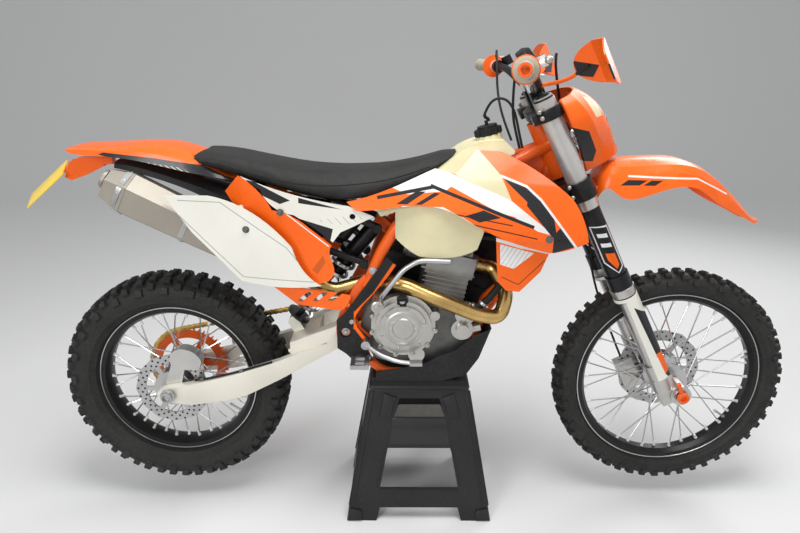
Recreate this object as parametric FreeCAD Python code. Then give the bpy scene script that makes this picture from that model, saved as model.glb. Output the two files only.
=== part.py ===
import FreeCAD, Part
import math
import os

V = FreeCAD.Vector

# An enduro motorcycle on its paddock stand, in millimetres. X points forward, Y to the
# machine's left and Z up. The origin lies on the floor under the middle of the stand.

# Places of the axles, back from the origin and down from the top of the stand's mat
WHEELBASE = 1508.0
REAR_AXLE_BACK = 740.0
REAR_AXLE_DROP = 37.0
FRONT_AXLE_DROP = 35.0

# Clearances and overruns
SEAT_GAP = 0.3
DISC_GAP = 1.2
CUT_OVERRUN = 5.0

# Wheels
REAR_TYRE_RADIUS = 345.0
REAR_TYRE_WIDTH = 136.0
REAR_RIM_RADIUS = 241.0
REAR_RIM_WIDTH = 68.0
FRONT_TYRE_RADIUS = 350.0
FRONT_TYRE_WIDTH = 90.0
FRONT_RIM_RADIUS = 280.0
FRONT_RIM_WIDTH = 52.0
LUG_ROWS = 25
LUG_HEIGHT = 15.0
RIM_WALL = 5.0
RIM_FLANGE = 12.0
RIM_DEPTH = 14.0
SPOKE_RADIUS = 2.0
SPOKES = 36
LACE_DEG = 52.0
HUB_RADIUS = 27.0
HUB_FLANGE_RADIUS = 56.0
HUB_FLANGE_WALL = 6.0
REAR_HUB_WIDTH = 174.0
FRONT_HUB_WIDTH = 120.0
REAR_AXLE_RADIUS = 12.5
FRONT_AXLE_RADIUS = 13.0
AXLE_BORE_RADIUS = 9.0
AXLE_FIT = 0.05
REAR_DISC_RADIUS = 110.0
FRONT_DISC_RADIUS = 130.0
DISC_WALL = 4.0
DISC_WAVE = 4.0
DISC_WAVES = 12

# Chain drive
CHAIN_PITCH = 15.875
CHAIN_HEIGHT = 15.0
CHAIN_PLATE = 2.5
CHAIN_INNER_WIDTH = 8.4
ROLLER_RADIUS = 5.08
REAR_TEETH = 48
DRIVE_TEETH = 13
SPROCKET_WALL = 6.0
TOOTH_HEIGHT = 3.4
TOOTH_GAP = 0.5
DRIVE_X = -132.0
DRIVE_RISE = 173.0
LINKS = 112

# Swingarm
PIVOT_X = -214.0
PIVOT_RISE = 161.0
PIVOT_RADIUS = 20.0
PIVOT_WIDTH = 188.0
ARM_INNER_Y = 99.0
ARM_WALL = 26.0
ARM_LENGTH = 575.0
ARM_HEIGHT = 75.0
CROSS_LENGTH = 104.0

# Steering, measured along and across its axis from the foot of the front axle
RAKE_DEG = 26.5
AXLE_OFFSET = 55.0
FORK_OFFSET = 22.0
FORK_SPACING = 200.0
HEAD_RADIUS = 30.0
STEM_RADIUS = 15.0
LOWER_CLAMP_FOOT = 670.0
LOWER_CLAMP_HEIGHT = 54.0
UPPER_CLAMP_FOOT = 905.0
UPPER_CLAMP_HEIGHT = 30.0
HEAD_GAP = 6.0
CLAMP_RADIUS = 38.0
OUTER_TUBE_RADIUS = 29.0
OUTER_TUBE_FOOT = 362.0
OUTER_TUBE_TOP = 958.0
INNER_TUBE_RADIUS = 24.0
COLLAR_RADIUS = 33.0
COLLAR_HEIGHT = 34.0
SHOE_RADIUS = 30.0
SHOE_HEIGHT = 92.0
SHOE_FOOT = 30.0

# Handlebar
BAR_WIDTH = 806.0
BAR_RADIUS = 11.0
BAR_CLAMP_RADIUS = 14.0
BAR_CLAMP_S = 985.0
BAR_RISE = 91.0
BAR_SWEEP = 60.0
BAR_BEND_SHARE = 0.273
BAR_SHOULDER_SHARE = 0.496
GRIP_LENGTH = 122.0
GRIP_RADIUS = 16.5
GRIP_FLANGE_RADIUS = 27.0
GRIP_FLANGE_WALL = 6.0
BAR_CLAMP_BLOCK = 40.0
BAR_CLAMP_SPACING = 80.0

# Stand
STAND_HEIGHT = 425.0
STAND_LENGTH = 440.0
STAND_WIDTH = 340.0
STAND_TOP_LENGTH = 290.0
STAND_TOP_WIDTH = 200.0
STAND_WALL = 8.0
MAT_HEIGHT = 20.0
MAT_RIM = 9.0

# Frame tubes
SPAR_RADIUS = 16.0
CRADLE_RADIUS = 13.0
SUBFRAME_RADIUS = 10.0
SPAR_Y = 101.0
CRADLE_Y = 84.0
SUBFRAME_Y = 66.0
PLATE_WALL = 12.0

# Engine
CASE_LENGTH = 345.0
CASE_HEIGHT = 205.0
CASE_WIDTH = 168.0
CASE_FOOT_X = -172.0
CASE_FOOT_RISE = 47.0
CLUTCH_X = -49.0
CLUTCH_RISE = 180.0
CLUTCH_RADIUS = 92.0
CLUTCH_DEPTH = 52.0
COVER_SCREWS = 8
SCREW_BOSS_RADIUS = 8.0
CYLINDER_LEAN_DEG = 12.0
CYLINDER_X = 62.0
CYLINDER_WIDTH = 128.0
CYLINDER_LENGTH = 122.0
CYLINDER_HEIGHT = 96.0
HEAD_HEIGHT = 88.0
HEAD_WIDTH = 150.0
HEAD_LENGTH = 138.0

# Bodywork
PANEL_WALL = 4.0
SEAT_HALF_WIDTH = 122.0
TANK_WIDTH = 296.0
CAP_RADIUS = 34.0
CAP_HEIGHT = 26.0
CAP_LEAN_DEG = 14.0
CAP_GRIPS = 12
SIDE_COVER_Y = 134.0
NUMBER_PANEL_Y = 166.0
SHROUD_Y = 208.0
SHROUD_FLARE = 72.0
TAIL_HALF_WIDTH = 108.0
SKID_HALF_WIDTH = 108.0
SKID_WALL = 5.5
PLATE_LENGTH = 152.0
PLATE_HALF = 42.0
PLATE_SLOPE_DEG = 40.0
PLATE_ROLL_DEG = 24.0
RADIATOR_WIDTH = 92.0
RADIATOR_DEPTH = 34.0
RADIATOR_Y = 96.0
FINS = 10
FIN_DEPTH = 5.0

# Exhaust
HEADER_RADIUS = 21.0
SILENCER_HEIGHT = 124.0
SILENCER_WIDTH = 104.0
SILENCER_Y = 108.0

# Shock absorber
SHOCK_BODY_RADIUS = 24.0
SHOCK_SHAFT_RADIUS = 8.0
SHOCK_EYE_HALF = 14.0
SHOCK_PIN_RADIUS = 6.0
SHOCK_CHEEK = 6.0
SPRING_RADIUS = 38.0
SPRING_WIRE_RADIUS = 6.0
SPRING_TURNS = 7

# Feet and foot controls
PIVOT_BOLT_RADIUS = 9.0
PEG_WIDTH = 52.0
PEG_LENGTH = 86.0
PEDAL_RADIUS = 6.5
SIDE_STAND_RADIUS = 10.0
SIDE_STAND_LENGTH = 415.0
SIDE_STAND_BOLT = 5.0
SIDE_STAND_Y = 150.0
SIDE_STAND_SPLAY_DEG = 19.0
SIDE_STAND_DROP_DEG = 5.0

# Lamp, mask, guards and mudguard of the steering
FORK_CAP_HEIGHT = 8.0
CONTROL_LENGTH = 34.0
LEVER_RADIUS = 5.0
GUARD_REACH = 132.0
GUARD_HEIGHT = 104.0
GUARD_DROP = 18.0
MASK_FOOT = 726.0
MASK_HEIGHT = 215.0
MASK_DEPTH = 118.0
MASK_HALF = 138.0
LAMP_HALF = 58.0
LAMP_SHARES = [(-1.0, 0.55), (-0.55, 1.0), (0.55, 1.0), (1.0, 0.55), (0.72, -0.7), (0.3, -1.0),
               (-0.3, -1.0), (-0.72, -0.7)]
FENDER_LENGTH = 565.0
FENDER_HEIGHT = 180.0
FENDER_HALF_WIDTH = 96.0
FENDER_ROOT_BACK = 32.0

# Cables and hoses, as routes chosen by hand
CABLE_RADIUS = 3.5
THROTTLE_ROUTE = [(236, -252, 1352), (232, -222, 1372), (226, -186, 1352), (224, -158, 1312),
                  (225, -143, 1262), (231, -118, 1212), (246, -92, 1166), (262, -68, 1124)]
CLUTCH_ROUTE = [(234, 258, 1356), (230, 228, 1380), (226, 192, 1364), (224, 162, 1322),
                (225, 144, 1270), (232, 119, 1218), (246, 94, 1170), (262, 68, 1128)]
BREATHER_ROUTE = [(172, -6, 1206), (180, -12, 1232), (201, -18, 1252), (230, -24, 1248),
                  (250, -28, 1219), (260, -31, 1182), (268, -33, 1148), (276, -35, 1119)]


def polygon_face(points):
    return Part.Face(Part.makePolygon(points + [points[0]]))


def at_side(place, length, height, share, y=0.0):
    """A point of a side outline, as shares of a length forward and a height above a place."""
    return V(place[0] + share[0] * length, y, place[1] + share[1] * height)


def side_wire(run_shares, place, length, height, y):
    """A closed side outline. The first run is its start. Each later run goes on from there, as
    a straight line to its one point or as a smooth curve through its points."""
    here = at_side(place, length, height, run_shares[0][0], y)
    start, edges = here, []
    for run in run_shares[1:]:
        through = [here] + [at_side(place, length, height, share, y) for share in run]
        edges.append(curve_edge(through))
        here = through[-1]
    if here.distanceToPoint(start) > Part.Vertex(start).Tolerance:
        edges.append(curve_edge([here, start]))
    return Part.Wire(edges)


def curve_edge(points):
    if len(points) == 2:
        return Part.makeLine(points[0], points[1])
    curve = Part.BSplineCurve()
    curve.interpolate(points)
    return curve.toShape()


def slab(run_shares, place, length, height, y_from, y_to):
    """A flat plate between two places in Y, cut to a side outline."""
    face = Part.Face(side_wire(run_shares, place, length, height, y_from))
    return face.extrude(V(0, y_to - y_from, 0))


def box(x_from, x_to, y_from, y_to, z_from, z_to):
    return Part.makeBox(x_to - x_from, y_to - y_from, z_to - z_from, V(x_from, y_from, z_from))


def rod(start, end, radius):
    run = end - start
    return Part.makeCylinder(radius, run.Length, start, run)


def pipe_piece(start, end, outer, inner):
    return rod(start, end, outer).cut(rod(start, end, inner))


def hex_bar(start, end, radius):
    """A six-sided bar."""
    run = end - start
    side = run.cross(V(0, 0, 1) if abs(run.z) < run.Length / 2 else V(1, 0, 0)).normalize()
    up = side.cross(run).normalize()
    corners = [start + side * (radius * math.cos(math.radians(60 * k)))
               + up * (radius * math.sin(math.radians(60 * k))) for k in range(6)]
    return polygon_face(corners).extrude(run)


def bent_path(points, share=0.4):
    """Straight runs through the points, joined by tangent arcs as large as the runs allow."""
    edges, here = [], points[0]
    for before, corner, after in zip(points, points[1:], points[2:]):
        back, ahead = (before - corner), (after - corner)
        reach = share * min(back.Length, ahead.Length)
        start, end = corner + back.normalize() * reach, corner + ahead.normalize() * reach
        middle_line = ((start + end) * 0.5 - corner)
        half_turn = math.asin(min(1.0, (end - start).Length / (2 * reach)))
        radius = reach * math.tan(half_turn)
        centre = corner + middle_line.normalize() * (radius / math.sin(half_turn))
        top = centre + (corner - centre).normalize() * radius
        edges.append(Part.makeLine(here, start))
        edges.append(Part.Arc(start, top, end).toShape())
        here = end
    edges.append(Part.makeLine(here, points[-1]))
    return Part.Wire(edges)


def tube(points, radius, share=0.4):
    """A round tube along straight runs and tangent arcs."""
    if len(points) == 2:
        return rod(points[0], points[1], radius)
    path = bent_path(points, share)
    run = points[1] - points[0]
    ring = Part.Wire(Part.makeCircle(radius, points[0], run))
    return path.makePipeShell([ring], True, False)


def mirrored(shape):
    return shape.mirror(V(0, 0, 0), V(0, 1, 0))


def both_sides(shape):
    return [shape, mirrored(shape)]


def fused(shapes):
    first, rest = shapes[0], shapes[1:]
    return first.multiFuse(rest).removeSplitter() if rest else first


def together(shapes):
    solids = [solid for shape in shapes for solid in shape.Solids]
    return Part.makeCompound(solids)


def turned(section, steps=360.0):
    """A ring about the Y axis from a closed outline of (radius, y) points."""
    points = [V(r, y, 0) for r, y in section]
    return polygon_face(points).revolve(V(0, 0, 0), V(0, 1, 0), steps)


def disc(x, z, radius, y_from, y_to):
    return Part.makeCylinder(radius, y_to - y_from, V(x, y_from, z), V(0, 1, 0))


def loft(wires):
    return Part.makeLoft(wires, True, False)


def strip(plan, thickness, z_from, z_to, lean=0.0):
    """A thin upright wall that follows a curve in plan. The lean shifts its top in Y."""
    inner = curve_edge([V(x, y, z_from) for x, y in plan])
    outer = curve_edge([V(x, y + thickness, z_from) for x, y in plan])
    ends = [Part.makeLine(inner.Vertexes[k].Point, outer.Vertexes[k].Point) for k in (0, -1)]
    face = Part.Face(Part.Wire([inner, ends[1], outer, ends[0]]))
    return face.extrude(V(0, lean, z_to - z_from))


def panel(run_shares, place, length, height, plan, thickness, lean=0.0):
    """A bent panel on the left side: a strip in plan, cut to a side outline."""
    reach = max(abs(y) for _, y in plan) + abs(lean) + thickness + length
    outline = slab(run_shares, place, length, height, 0.0, reach)
    wall = strip(plan, thickness, place[1] - height, place[1] + 2 * height, lean)
    return wall.common(outline)


# Places that the rest follows
STAND_TOP = STAND_HEIGHT + MAT_HEIGHT
PIVOT_Z = STAND_TOP + PIVOT_RISE
DRIVE_Z = STAND_TOP + DRIVE_RISE
CASE_FOOT_Z = STAND_TOP + CASE_FOOT_RISE
CLUTCH_Z = STAND_TOP + CLUTCH_RISE
BAR_BEND_Y = BAR_BEND_SHARE * BAR_WIDTH / 2
BAR_SHOULDER_Y = BAR_SHOULDER_SHARE * BAR_WIDTH / 2
REAR_AXLE = V(-REAR_AXLE_BACK, 0, STAND_TOP - REAR_AXLE_DROP)
FRONT_AXLE = V(WHEELBASE - REAR_AXLE_BACK, 0, STAND_TOP - FRONT_AXLE_DROP)
RAKE = math.radians(RAKE_DEG)
FORWARD = V(math.cos(RAKE), 0, math.sin(RAKE))
UPWARD = V(-math.sin(RAKE), 0, math.cos(RAKE))
FOOT = FRONT_AXLE - FORWARD * AXLE_OFFSET
CHAIN_Y = REAR_HUB_WIDTH / 2 - SPROCKET_WALL / 2
HEAD_FOOT = LOWER_CLAMP_FOOT + LOWER_CLAMP_HEIGHT + HEAD_GAP
HEAD_TOP = UPPER_CLAMP_FOOT - HEAD_GAP
FRAME_LENGTH = (FOOT + UPWARD * HEAD_FOOT).x - PIVOT_X
FRAME_HEIGHT = (FOOT + UPWARD * HEAD_FOOT).z - PIVOT_Z
SKID_SHARE = (STAND_TOP + SEAT_GAP - PIVOT_Z) / FRAME_HEIGHT
SKID_TOP_SHARE = SKID_SHARE + SKID_WALL / FRAME_HEIGHT
CRADLE_SHARE = SKID_TOP_SHARE + (SEAT_GAP + CRADLE_RADIUS) / FRAME_HEIGHT


def raked(forward, y, up):
    """A place given across and along the steering axis."""
    return FOOT + FORWARD * forward + UPWARD * up + V(0, y, 0)


def onto_steering(shape):
    """Carry a shape built upright about the steering axis to its raked place."""
    shape.rotate(V(0, 0, 0), V(0, 1, 0), -RAKE_DEG)
    shape.translate(FOOT)
    return shape


# Wheels, built about the Y axis and then carried to their axles

def lug_band(tip, y_from, y_to, phase):
    """A slice of the tread: lugs and gaps by turns round the axle, from one side to the other."""
    pitch, points = 2 * math.pi / LUG_ROWS, []
    turn_shares = [(-0.27, 0.0), (-0.22, 1.0), (0.22, 1.0), (0.27, 0.0)]
    for row in range(LUG_ROWS):
        for turn, rise in turn_shares:
            angle, r = (row + phase + turn) * pitch, tip - (1 - rise) * LUG_HEIGHT
            points.append(V(r * math.cos(angle), y_from, r * math.sin(angle)))
    return polygon_face(points).extrude(V(0, y_to - y_from, 0))


def flat_sided(section):
    """A ring about the Y axis with a flat side for each row of lugs, from a closed (radius, y) outline."""
    corner = 1 / math.cos(math.pi / LUG_ROWS)
    rings = []
    for row in range(LUG_ROWS):
        angle = 2 * math.pi * row / LUG_ROWS
        rings.append([V(r * corner * math.cos(angle), y, r * corner * math.sin(angle)) for r, y in section])
    faces = []
    for here, there in zip(rings, rings[1:] + rings[:1]):
        for k in range(len(section)):
            faces.append(polygon_face([here[k - 1], here[k], there[k], there[k - 1]]))
    return Part.makeSolid(Part.makeShell(faces))


def tyre(radius, width, rim_radius, rim_width):
    """Three bands of staggered lugs over sidewalls that taper to the rim's seat."""
    bead = rim_radius - RIM_FLANGE + SEAT_GAP
    above = rim_radius + 2 * SEAT_GAP
    seat, half = rim_width / 2 - RIM_WALL - SEAT_GAP, width / 2
    past, middle = half + CUT_OVERRUN, 0.36 * half
    solid = [lug_band(radius, -middle, middle, 0.0)]
    knee = above + 0.55 * (radius - LUG_HEIGHT - above)
    hole = bead - CUT_OVERRUN
    outside = [(hole, seat), (above, seat), (above, seat + 0.18 * half), (knee, half), (knee, past),
               (hole, past)]
    cuts = [flat_sided([(hole / 2, -past), (bead, -past), (bead, past), (hole / 2, past)])]
    for side in (-1, 1):
        y_from, y_to = sorted((side * middle, side * half))
        solid.append(lug_band(radius - 0.75 * LUG_HEIGHT, y_from, y_to, 0.5))
        cuts.append(flat_sided([(r, side * y) for r, y in outside]))
    solid = fused(solid)
    solid = solid.cut(disc(0, 0, hole, -past, past))
    for cut in cuts:
        solid = solid.cut(cut)
    return solid


def rim(radius, width):
    half, bead = width / 2, radius - RIM_FLANGE
    well = bead - RIM_DEPTH
    section = [(radius, half), (radius, half - RIM_WALL), (bead, half - RIM_WALL),
               (bead, RIM_WALL - half), (radius, RIM_WALL - half), (radius, -half),
               (bead - RIM_WALL, -half), (well, -half / 2), (well, half / 2),
               (bead - RIM_WALL, half)]
    return turned(section)


def hub(width, rim_radius, axle_radius):
    """The hub with its laced spokes."""
    half, flange = width / 2, HUB_FLANGE_WALL
    bore = axle_radius + AXLE_FIT
    section = [(bore, -half), (HUB_RADIUS, -half), (HUB_RADIUS, -half / 2 - flange),
               (HUB_FLANGE_RADIUS, -half / 2 - flange), (HUB_FLANGE_RADIUS, -half / 2),
               (HUB_RADIUS, -half / 4), (HUB_RADIUS, half / 4),
               (HUB_FLANGE_RADIUS, half / 2), (HUB_FLANGE_RADIUS, half / 2 + flange),
               (HUB_RADIUS, half / 2 + flange), (HUB_RADIUS, half), (bore, half)]
    well = rim_radius - RIM_FLANGE - RIM_DEPTH - SEAT_GAP - 0.25 * SPOKE_RADIUS
    root = HUB_FLANGE_RADIUS - 2 * SPOKE_RADIUS
    spokes = []
    for index in range(SPOKES):
        side = 1 if index % 2 else -1
        lead = 1 if index % 4 < 2 else -1
        angle = math.radians(360 * index / SPOKES)
        lace = angle + lead * math.radians(LACE_DEG)
        root_y = side * (half / 2 + flange / 2) + lead * flange / 2
        start = V(root * math.cos(lace), root_y, root * math.sin(lace))
        end = V(well * math.cos(angle), side * RIM_WALL, well * math.sin(angle))
        spokes.append(hex_bar(start, end, SPOKE_RADIUS))
    return fused([turned(section)] + spokes)


def brake_disc(radius):
    """A wave disc with a carrier ring bolted to the hub's end."""
    points = []
    steps = 6 * DISC_WAVES
    for step in range(steps):
        angle = 2 * math.pi * step / steps
        wave = radius - DISC_WAVE / 2 * (1 - math.cos(DISC_WAVES * angle))
        points.append(V(wave * math.cos(angle), 0, wave * math.sin(angle)))
    plate = polygon_face(points).extrude(V(0, DISC_WALL, 0))
    track = 0.72 * radius
    spokes, inner = [], 0.5 * radius
    hole = disc(0, 0, track, 0, DISC_WALL)
    ring = disc(0, 0, inner, 0, DISC_WALL).cut(disc(0, 0, HUB_RADIUS + SEAT_GAP, 0, DISC_WALL))
    for index in range(DISC_WAVES // 2):
        angle = 4 * math.pi * index / DISC_WAVES
        start = V(0.9 * inner * math.cos(angle), DISC_WALL / 2, 0.9 * inner * math.sin(angle))
        end = V(1.05 * track * math.cos(angle), DISC_WALL / 2, 1.05 * track * math.sin(angle))
        arm = hex_bar(start, end, 2 * DISC_WALL).common(disc(0, 0, radius, 0, DISC_WALL))
        spokes.append(arm)
    return fused([plate.cut(hole), ring] + spokes)


def pitch_radius(teeth):
    return CHAIN_PITCH / (2 * math.sin(math.pi / teeth))


def toothed_wheel(teeth, hole_radius):
    """A sprocket whose gaps clear the chain's rollers, with a gap at angle zero."""
    pitch, points = pitch_radius(teeth), []
    root = pitch - ROLLER_RADIUS - TOOTH_GAP
    tip = pitch + TOOTH_HEIGHT
    step = 2 * math.pi / teeth
    for tooth in range(teeth):
        for share, radius in ((-0.28, root), (0.28, root), (0.40, tip), (0.60, tip)):
            angle = (tooth + share) * step
            points.append(V(radius * math.cos(angle), 0, radius * math.sin(angle)))
    wheel = polygon_face(points).extrude(V(0, SPROCKET_WALL, 0))
    return wheel.cut(disc(0, 0, hole_radius, 0, SPROCKET_WALL))


def rear_sprocket():
    wheel = toothed_wheel(REAR_TEETH, 0.74 * pitch_radius(REAR_TEETH))
    inner, outer = HUB_RADIUS + SEAT_GAP, 0.78 * pitch_radius(REAR_TEETH)
    ring = disc(0, 0, 2 * HUB_RADIUS, 0, SPROCKET_WALL).cut(disc(0, 0, inner, 0, SPROCKET_WALL))
    arms = []
    for index in range(6):
        angle = math.pi * index / 3
        start = V(1.5 * HUB_RADIUS * math.cos(angle), SPROCKET_WALL / 2, 1.5 * HUB_RADIUS * math.sin(angle))
        end = V(outer * math.cos(angle), SPROCKET_WALL / 2, outer * math.sin(angle))
        arms.append(hex_bar(start, end, 1.6 * SPROCKET_WALL).common(disc(0, 0, outer, 0, SPROCKET_WALL)))
    return fused([wheel, ring] + arms)


def wheel_parts():
    rear, front = {}, {}
    rear["rear_tyre"] = tyre(REAR_TYRE_RADIUS, REAR_TYRE_WIDTH, REAR_RIM_RADIUS, REAR_RIM_WIDTH)
    rear["rear_rim"] = rim(REAR_RIM_RADIUS, REAR_RIM_WIDTH)
    rear["rear_hub"] = hub(REAR_HUB_WIDTH, REAR_RIM_RADIUS, REAR_AXLE_RADIUS)
    rear_disc = brake_disc(REAR_DISC_RADIUS)
    rear_disc.translate(V(0, -REAR_HUB_WIDTH / 2, 0))
    rear["rear_brake_disc"] = rear_disc
    sprocket = rear_sprocket()
    sprocket.translate(V(0, CHAIN_Y - SPROCKET_WALL / 2, 0))
    rear["rear_sprocket"] = sprocket
    front["front_tyre"] = tyre(FRONT_TYRE_RADIUS, FRONT_TYRE_WIDTH, FRONT_RIM_RADIUS, FRONT_RIM_WIDTH)
    front["front_rim"] = rim(FRONT_RIM_RADIUS, FRONT_RIM_WIDTH)
    front["front_hub"] = hub(FRONT_HUB_WIDTH, FRONT_RIM_RADIUS, FRONT_AXLE_RADIUS)
    front_disc = brake_disc(FRONT_DISC_RADIUS)
    front_disc.translate(V(0, FRONT_HUB_WIDTH / 2 - DISC_WALL, 0))
    front["front_brake_disc"] = front_disc
    for shape in rear.values():
        shape.translate(REAR_AXLE)
    for shape in front.values():
        shape.translate(FRONT_AXLE)
    return {**rear, **front}


# Rear drive and swingarm

def belt(rear_radius, drive_radius, y_from, y_to):
    """A solid inside the tangent loop round the two sprockets' centres."""
    rear, drive = V(REAR_AXLE.x, y_from, REAR_AXLE.z), V(DRIVE_X, y_from, DRIVE_Z)
    run = drive - rear
    along = V(run.x, 0, run.z).normalize()
    across = V(-along.z, 0, along.x)
    lean = math.asin((rear_radius - drive_radius) / run.Length)
    up = across * math.cos(lean) + along * math.sin(lean)
    down = across * -math.cos(lean) + along * math.sin(lean)
    edges = [Part.makeLine(rear + up * rear_radius, drive + up * drive_radius),
             Part.Arc(drive + up * drive_radius, drive + along * drive_radius,
                      drive + down * drive_radius).toShape(),
             Part.makeLine(drive + down * drive_radius, rear + down * rear_radius),
             Part.Arc(rear + down * rear_radius, rear - along * rear_radius,
                      rear + up * rear_radius).toShape()]
    return Part.Face(Part.Wire(edges)).extrude(V(0, y_to - y_from, 0))


def chain_pins():
    """The chain's pins, one pitch apart round both sprockets, each as its place and the way outward."""
    rear, drive = pitch_radius(REAR_TEETH), pitch_radius(DRIVE_TEETH)
    hub, nose = V(REAR_AXLE.x, 0, REAR_AXLE.z), V(DRIVE_X, 0, DRIVE_Z)
    run = nose - hub
    lean = math.asin((rear - drive) / run.Length)
    straight, start = run.Length * math.cos(lean), math.atan2(run.z, run.x) + math.pi / 2 - lean
    wrap_rear, wrap_drive = math.pi + 2 * lean, math.pi - 2 * lean
    stages = [(hub, rear, wrap_rear, start), (hub, rear, 0.0, start + wrap_rear),
              (nose, drive, wrap_drive, start + wrap_rear), (nose, drive, 0.0, start + wrap_rear
                                                             + wrap_drive)]
    lengths = [rear * wrap_rear, straight, drive * wrap_drive, straight]
    pins = []
    for link in range(LINKS):
        left, stage = sum(lengths) * link / LINKS, 0
        while left > lengths[stage]:
            left -= lengths[stage]
            stage += 1
        centre, radius, wrap, turn = stages[stage]
        if wrap:
            turn += left / radius
            left = 0.0
        outward = V(math.cos(turn), 0, math.sin(turn))
        pins.append((centre + outward * radius + V(-outward.z, 0, outward.x) * left, outward))
    return pins


def chain():
    """Inner plates as two bands round the sprockets, with the outer plate of every second link on each."""
    pins = chain_pins()
    bent = [pins[k] for k in range(LINKS) if (pins[k - 1][1] - pins[(k + 1) % LINKS][1]).Length > 1e-6]
    sides = []
    for side in (-1, 1):
        root = V(0, CHAIN_Y + side * CHAIN_INNER_WIDTH / 2, 0)
        outer = [place + outward * (CHAIN_HEIGHT / 2) + root for place, outward in bent]
        inner = [place - outward * (CHAIN_HEIGHT / 2) + root for place, outward in bent]
        band = polygon_face(outer).cut(polygon_face(inner)).extrude(V(0, side * CHAIN_PLATE / 2, 0))
        plates = []
        for (start, _), (end, _) in zip(pins[::2], pins[1::2]):
            along = (end - start).normalize()
            tip, across = along * CHAIN_HEIGHT * 0.3, V(-along.z, 0, along.x) * CHAIN_HEIGHT * 0.32
            corners = [start - tip - across, end + tip - across, end + tip + across, start - tip + across]
            plates.append(polygon_face([c + root for c in corners]).extrude(V(0, side * CHAIN_PLATE, 0)))
        sides.append(fused([band] + plates))
    return together(sides)


def drive_sprocket():
    wheel = toothed_wheel(DRIVE_TEETH, AXLE_BORE_RADIUS)
    wheel.translate(V(DRIVE_X, CHAIN_Y - SPROCKET_WALL / 2, DRIVE_Z))
    shaft = disc(DRIVE_X, DRIVE_Z, AXLE_BORE_RADIUS + RIM_WALL, CASE_WIDTH / 2 - 3 * PLATE_WALL,
                 CHAIN_Y + SPROCKET_WALL)
    return fused([wheel, shaft])


def swingarm():
    """Two tapered arms that spread round the wheel, one cross block and the pivot tube."""
    place = (REAR_AXLE.x - ARM_HEIGHT * 0.35, REAR_AXLE.z - ARM_HEIGHT * 0.45)
    rise = PIVOT_Z - REAR_AXLE.z
    run_shares = [[(0.0, 0.05)], [(-0.01, 0.20), (0.03, 0.27)], [(0.12, 0.31)],
            [(0.50, 0.60), (0.74, 0.83), (0.86, 0.94)], [(0.955, 1.06), (1.0, 0.93), (0.955, 0.78)],
            [(0.86, 0.62)], [(0.70, 0.42), (0.45, 0.16), (0.14, 0.0)]]
    outer, pivot_half = ARM_INNER_Y + ARM_WALL, PIVOT_WIDTH / 2
    arm = slab(run_shares, place, ARM_LENGTH, rise, 0.0, outer)
    plan_shares = [(-0.05, 0.0, 0.0), (0.48, 0.0, 0.0), (0.62, -0.1, -0.1), (0.90, -1.2, -1.2),
                   (1.05, -1.2, -1.2)]
    edge = [V(place[0] + a * ARM_LENGTH, outer + w * ARM_WALL, 0) for a, w, _ in plan_shares]
    inner = [V(place[0] + a * ARM_LENGTH, ARM_INNER_Y + w * ARM_WALL, 0) for a, _, w in plan_shares]
    arm = arm.common(polygon_face(edge + inner[::-1]).extrude(V(0, 0, PIVOT_Z + ARM_HEIGHT)))
    tyre_front = REAR_AXLE.x + REAR_TYRE_RADIUS + 3 * CUT_OVERRUN
    cross_half = ARM_HEIGHT * 0.29
    start = V(tyre_front, 0, PIVOT_Z - 0.88 * ARM_HEIGHT)
    corners = [V(start.x, 0, start.z + cross_half), V(PIVOT_X, 0, PIVOT_Z + PIVOT_RADIUS),
               V(PIVOT_X, 0, PIVOT_Z - PIVOT_RADIUS), V(start.x, 0, start.z - cross_half)]
    block = polygon_face([c - V(0, pivot_half, 0) for c in corners]).extrude(V(0, PIVOT_WIDTH, 0))
    barrel = disc(PIVOT_X, PIVOT_Z, PIVOT_RADIUS, -pivot_half, pivot_half)
    hollow = box(PIVOT_X - CROSS_LENGTH * 0.8, PIVOT_X - PIVOT_RADIUS, -PIVOT_WIDTH * 0.3, PIVOT_WIDTH * 0.3,
                 PIVOT_Z - ARM_HEIGHT * 2, PIVOT_Z + ARM_HEIGHT)
    chain_room = belt(pitch_radius(REAR_TEETH) - CHAIN_HEIGHT, pitch_radius(DRIVE_TEETH) - CHAIN_HEIGHT,
                      -PIVOT_WIDTH, PIVOT_WIDTH)
    arms = [piece.common(chain_room) for piece in both_sides(arm)]
    cheeks = clevis(SHOCK_LOW, (start.x + CROSS_LENGTH * 0.3, start.z))
    solid = fused(arms + [block.cut(hollow), barrel] + cheeks)
    solid = solid.cut(disc(PIVOT_X, PIVOT_Z, PIVOT_BOLT_RADIUS, -PIVOT_WIDTH, PIVOT_WIDTH))
    return solid.cut(disc(REAR_AXLE.x, REAR_AXLE.z, REAR_AXLE_RADIUS + AXLE_FIT, -PIVOT_WIDTH, PIVOT_WIDTH))


def clevis(eye, root):
    """Two cheeks and a pin that hold an eye of the damper, from a root of (x, z)."""
    y = SHOCK_EYE_HALF + SEAT_GAP
    radius = 2 * SHOCK_SHAFT_RADIUS
    run = V(root[0] - eye.x, 0, root[1] - eye.z)
    side = V(-run.z, 0, run.x).normalize() * radius
    shapes = []
    for start in (-y - SHOCK_CHEEK, y):
        foot = V(eye.x, start, eye.z)
        plate = polygon_face([foot + side, foot - side, foot - side + run, foot + side + run])
        shapes.append(fused([plate.extrude(V(0, SHOCK_CHEEK, 0)),
                             disc(eye.x, eye.z, radius, start, start + SHOCK_CHEEK)]))
    shapes.append(disc(eye.x, eye.z, SHOCK_PIN_RADIUS, -y - SHOCK_CHEEK, y + SHOCK_CHEEK))
    return shapes


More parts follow.
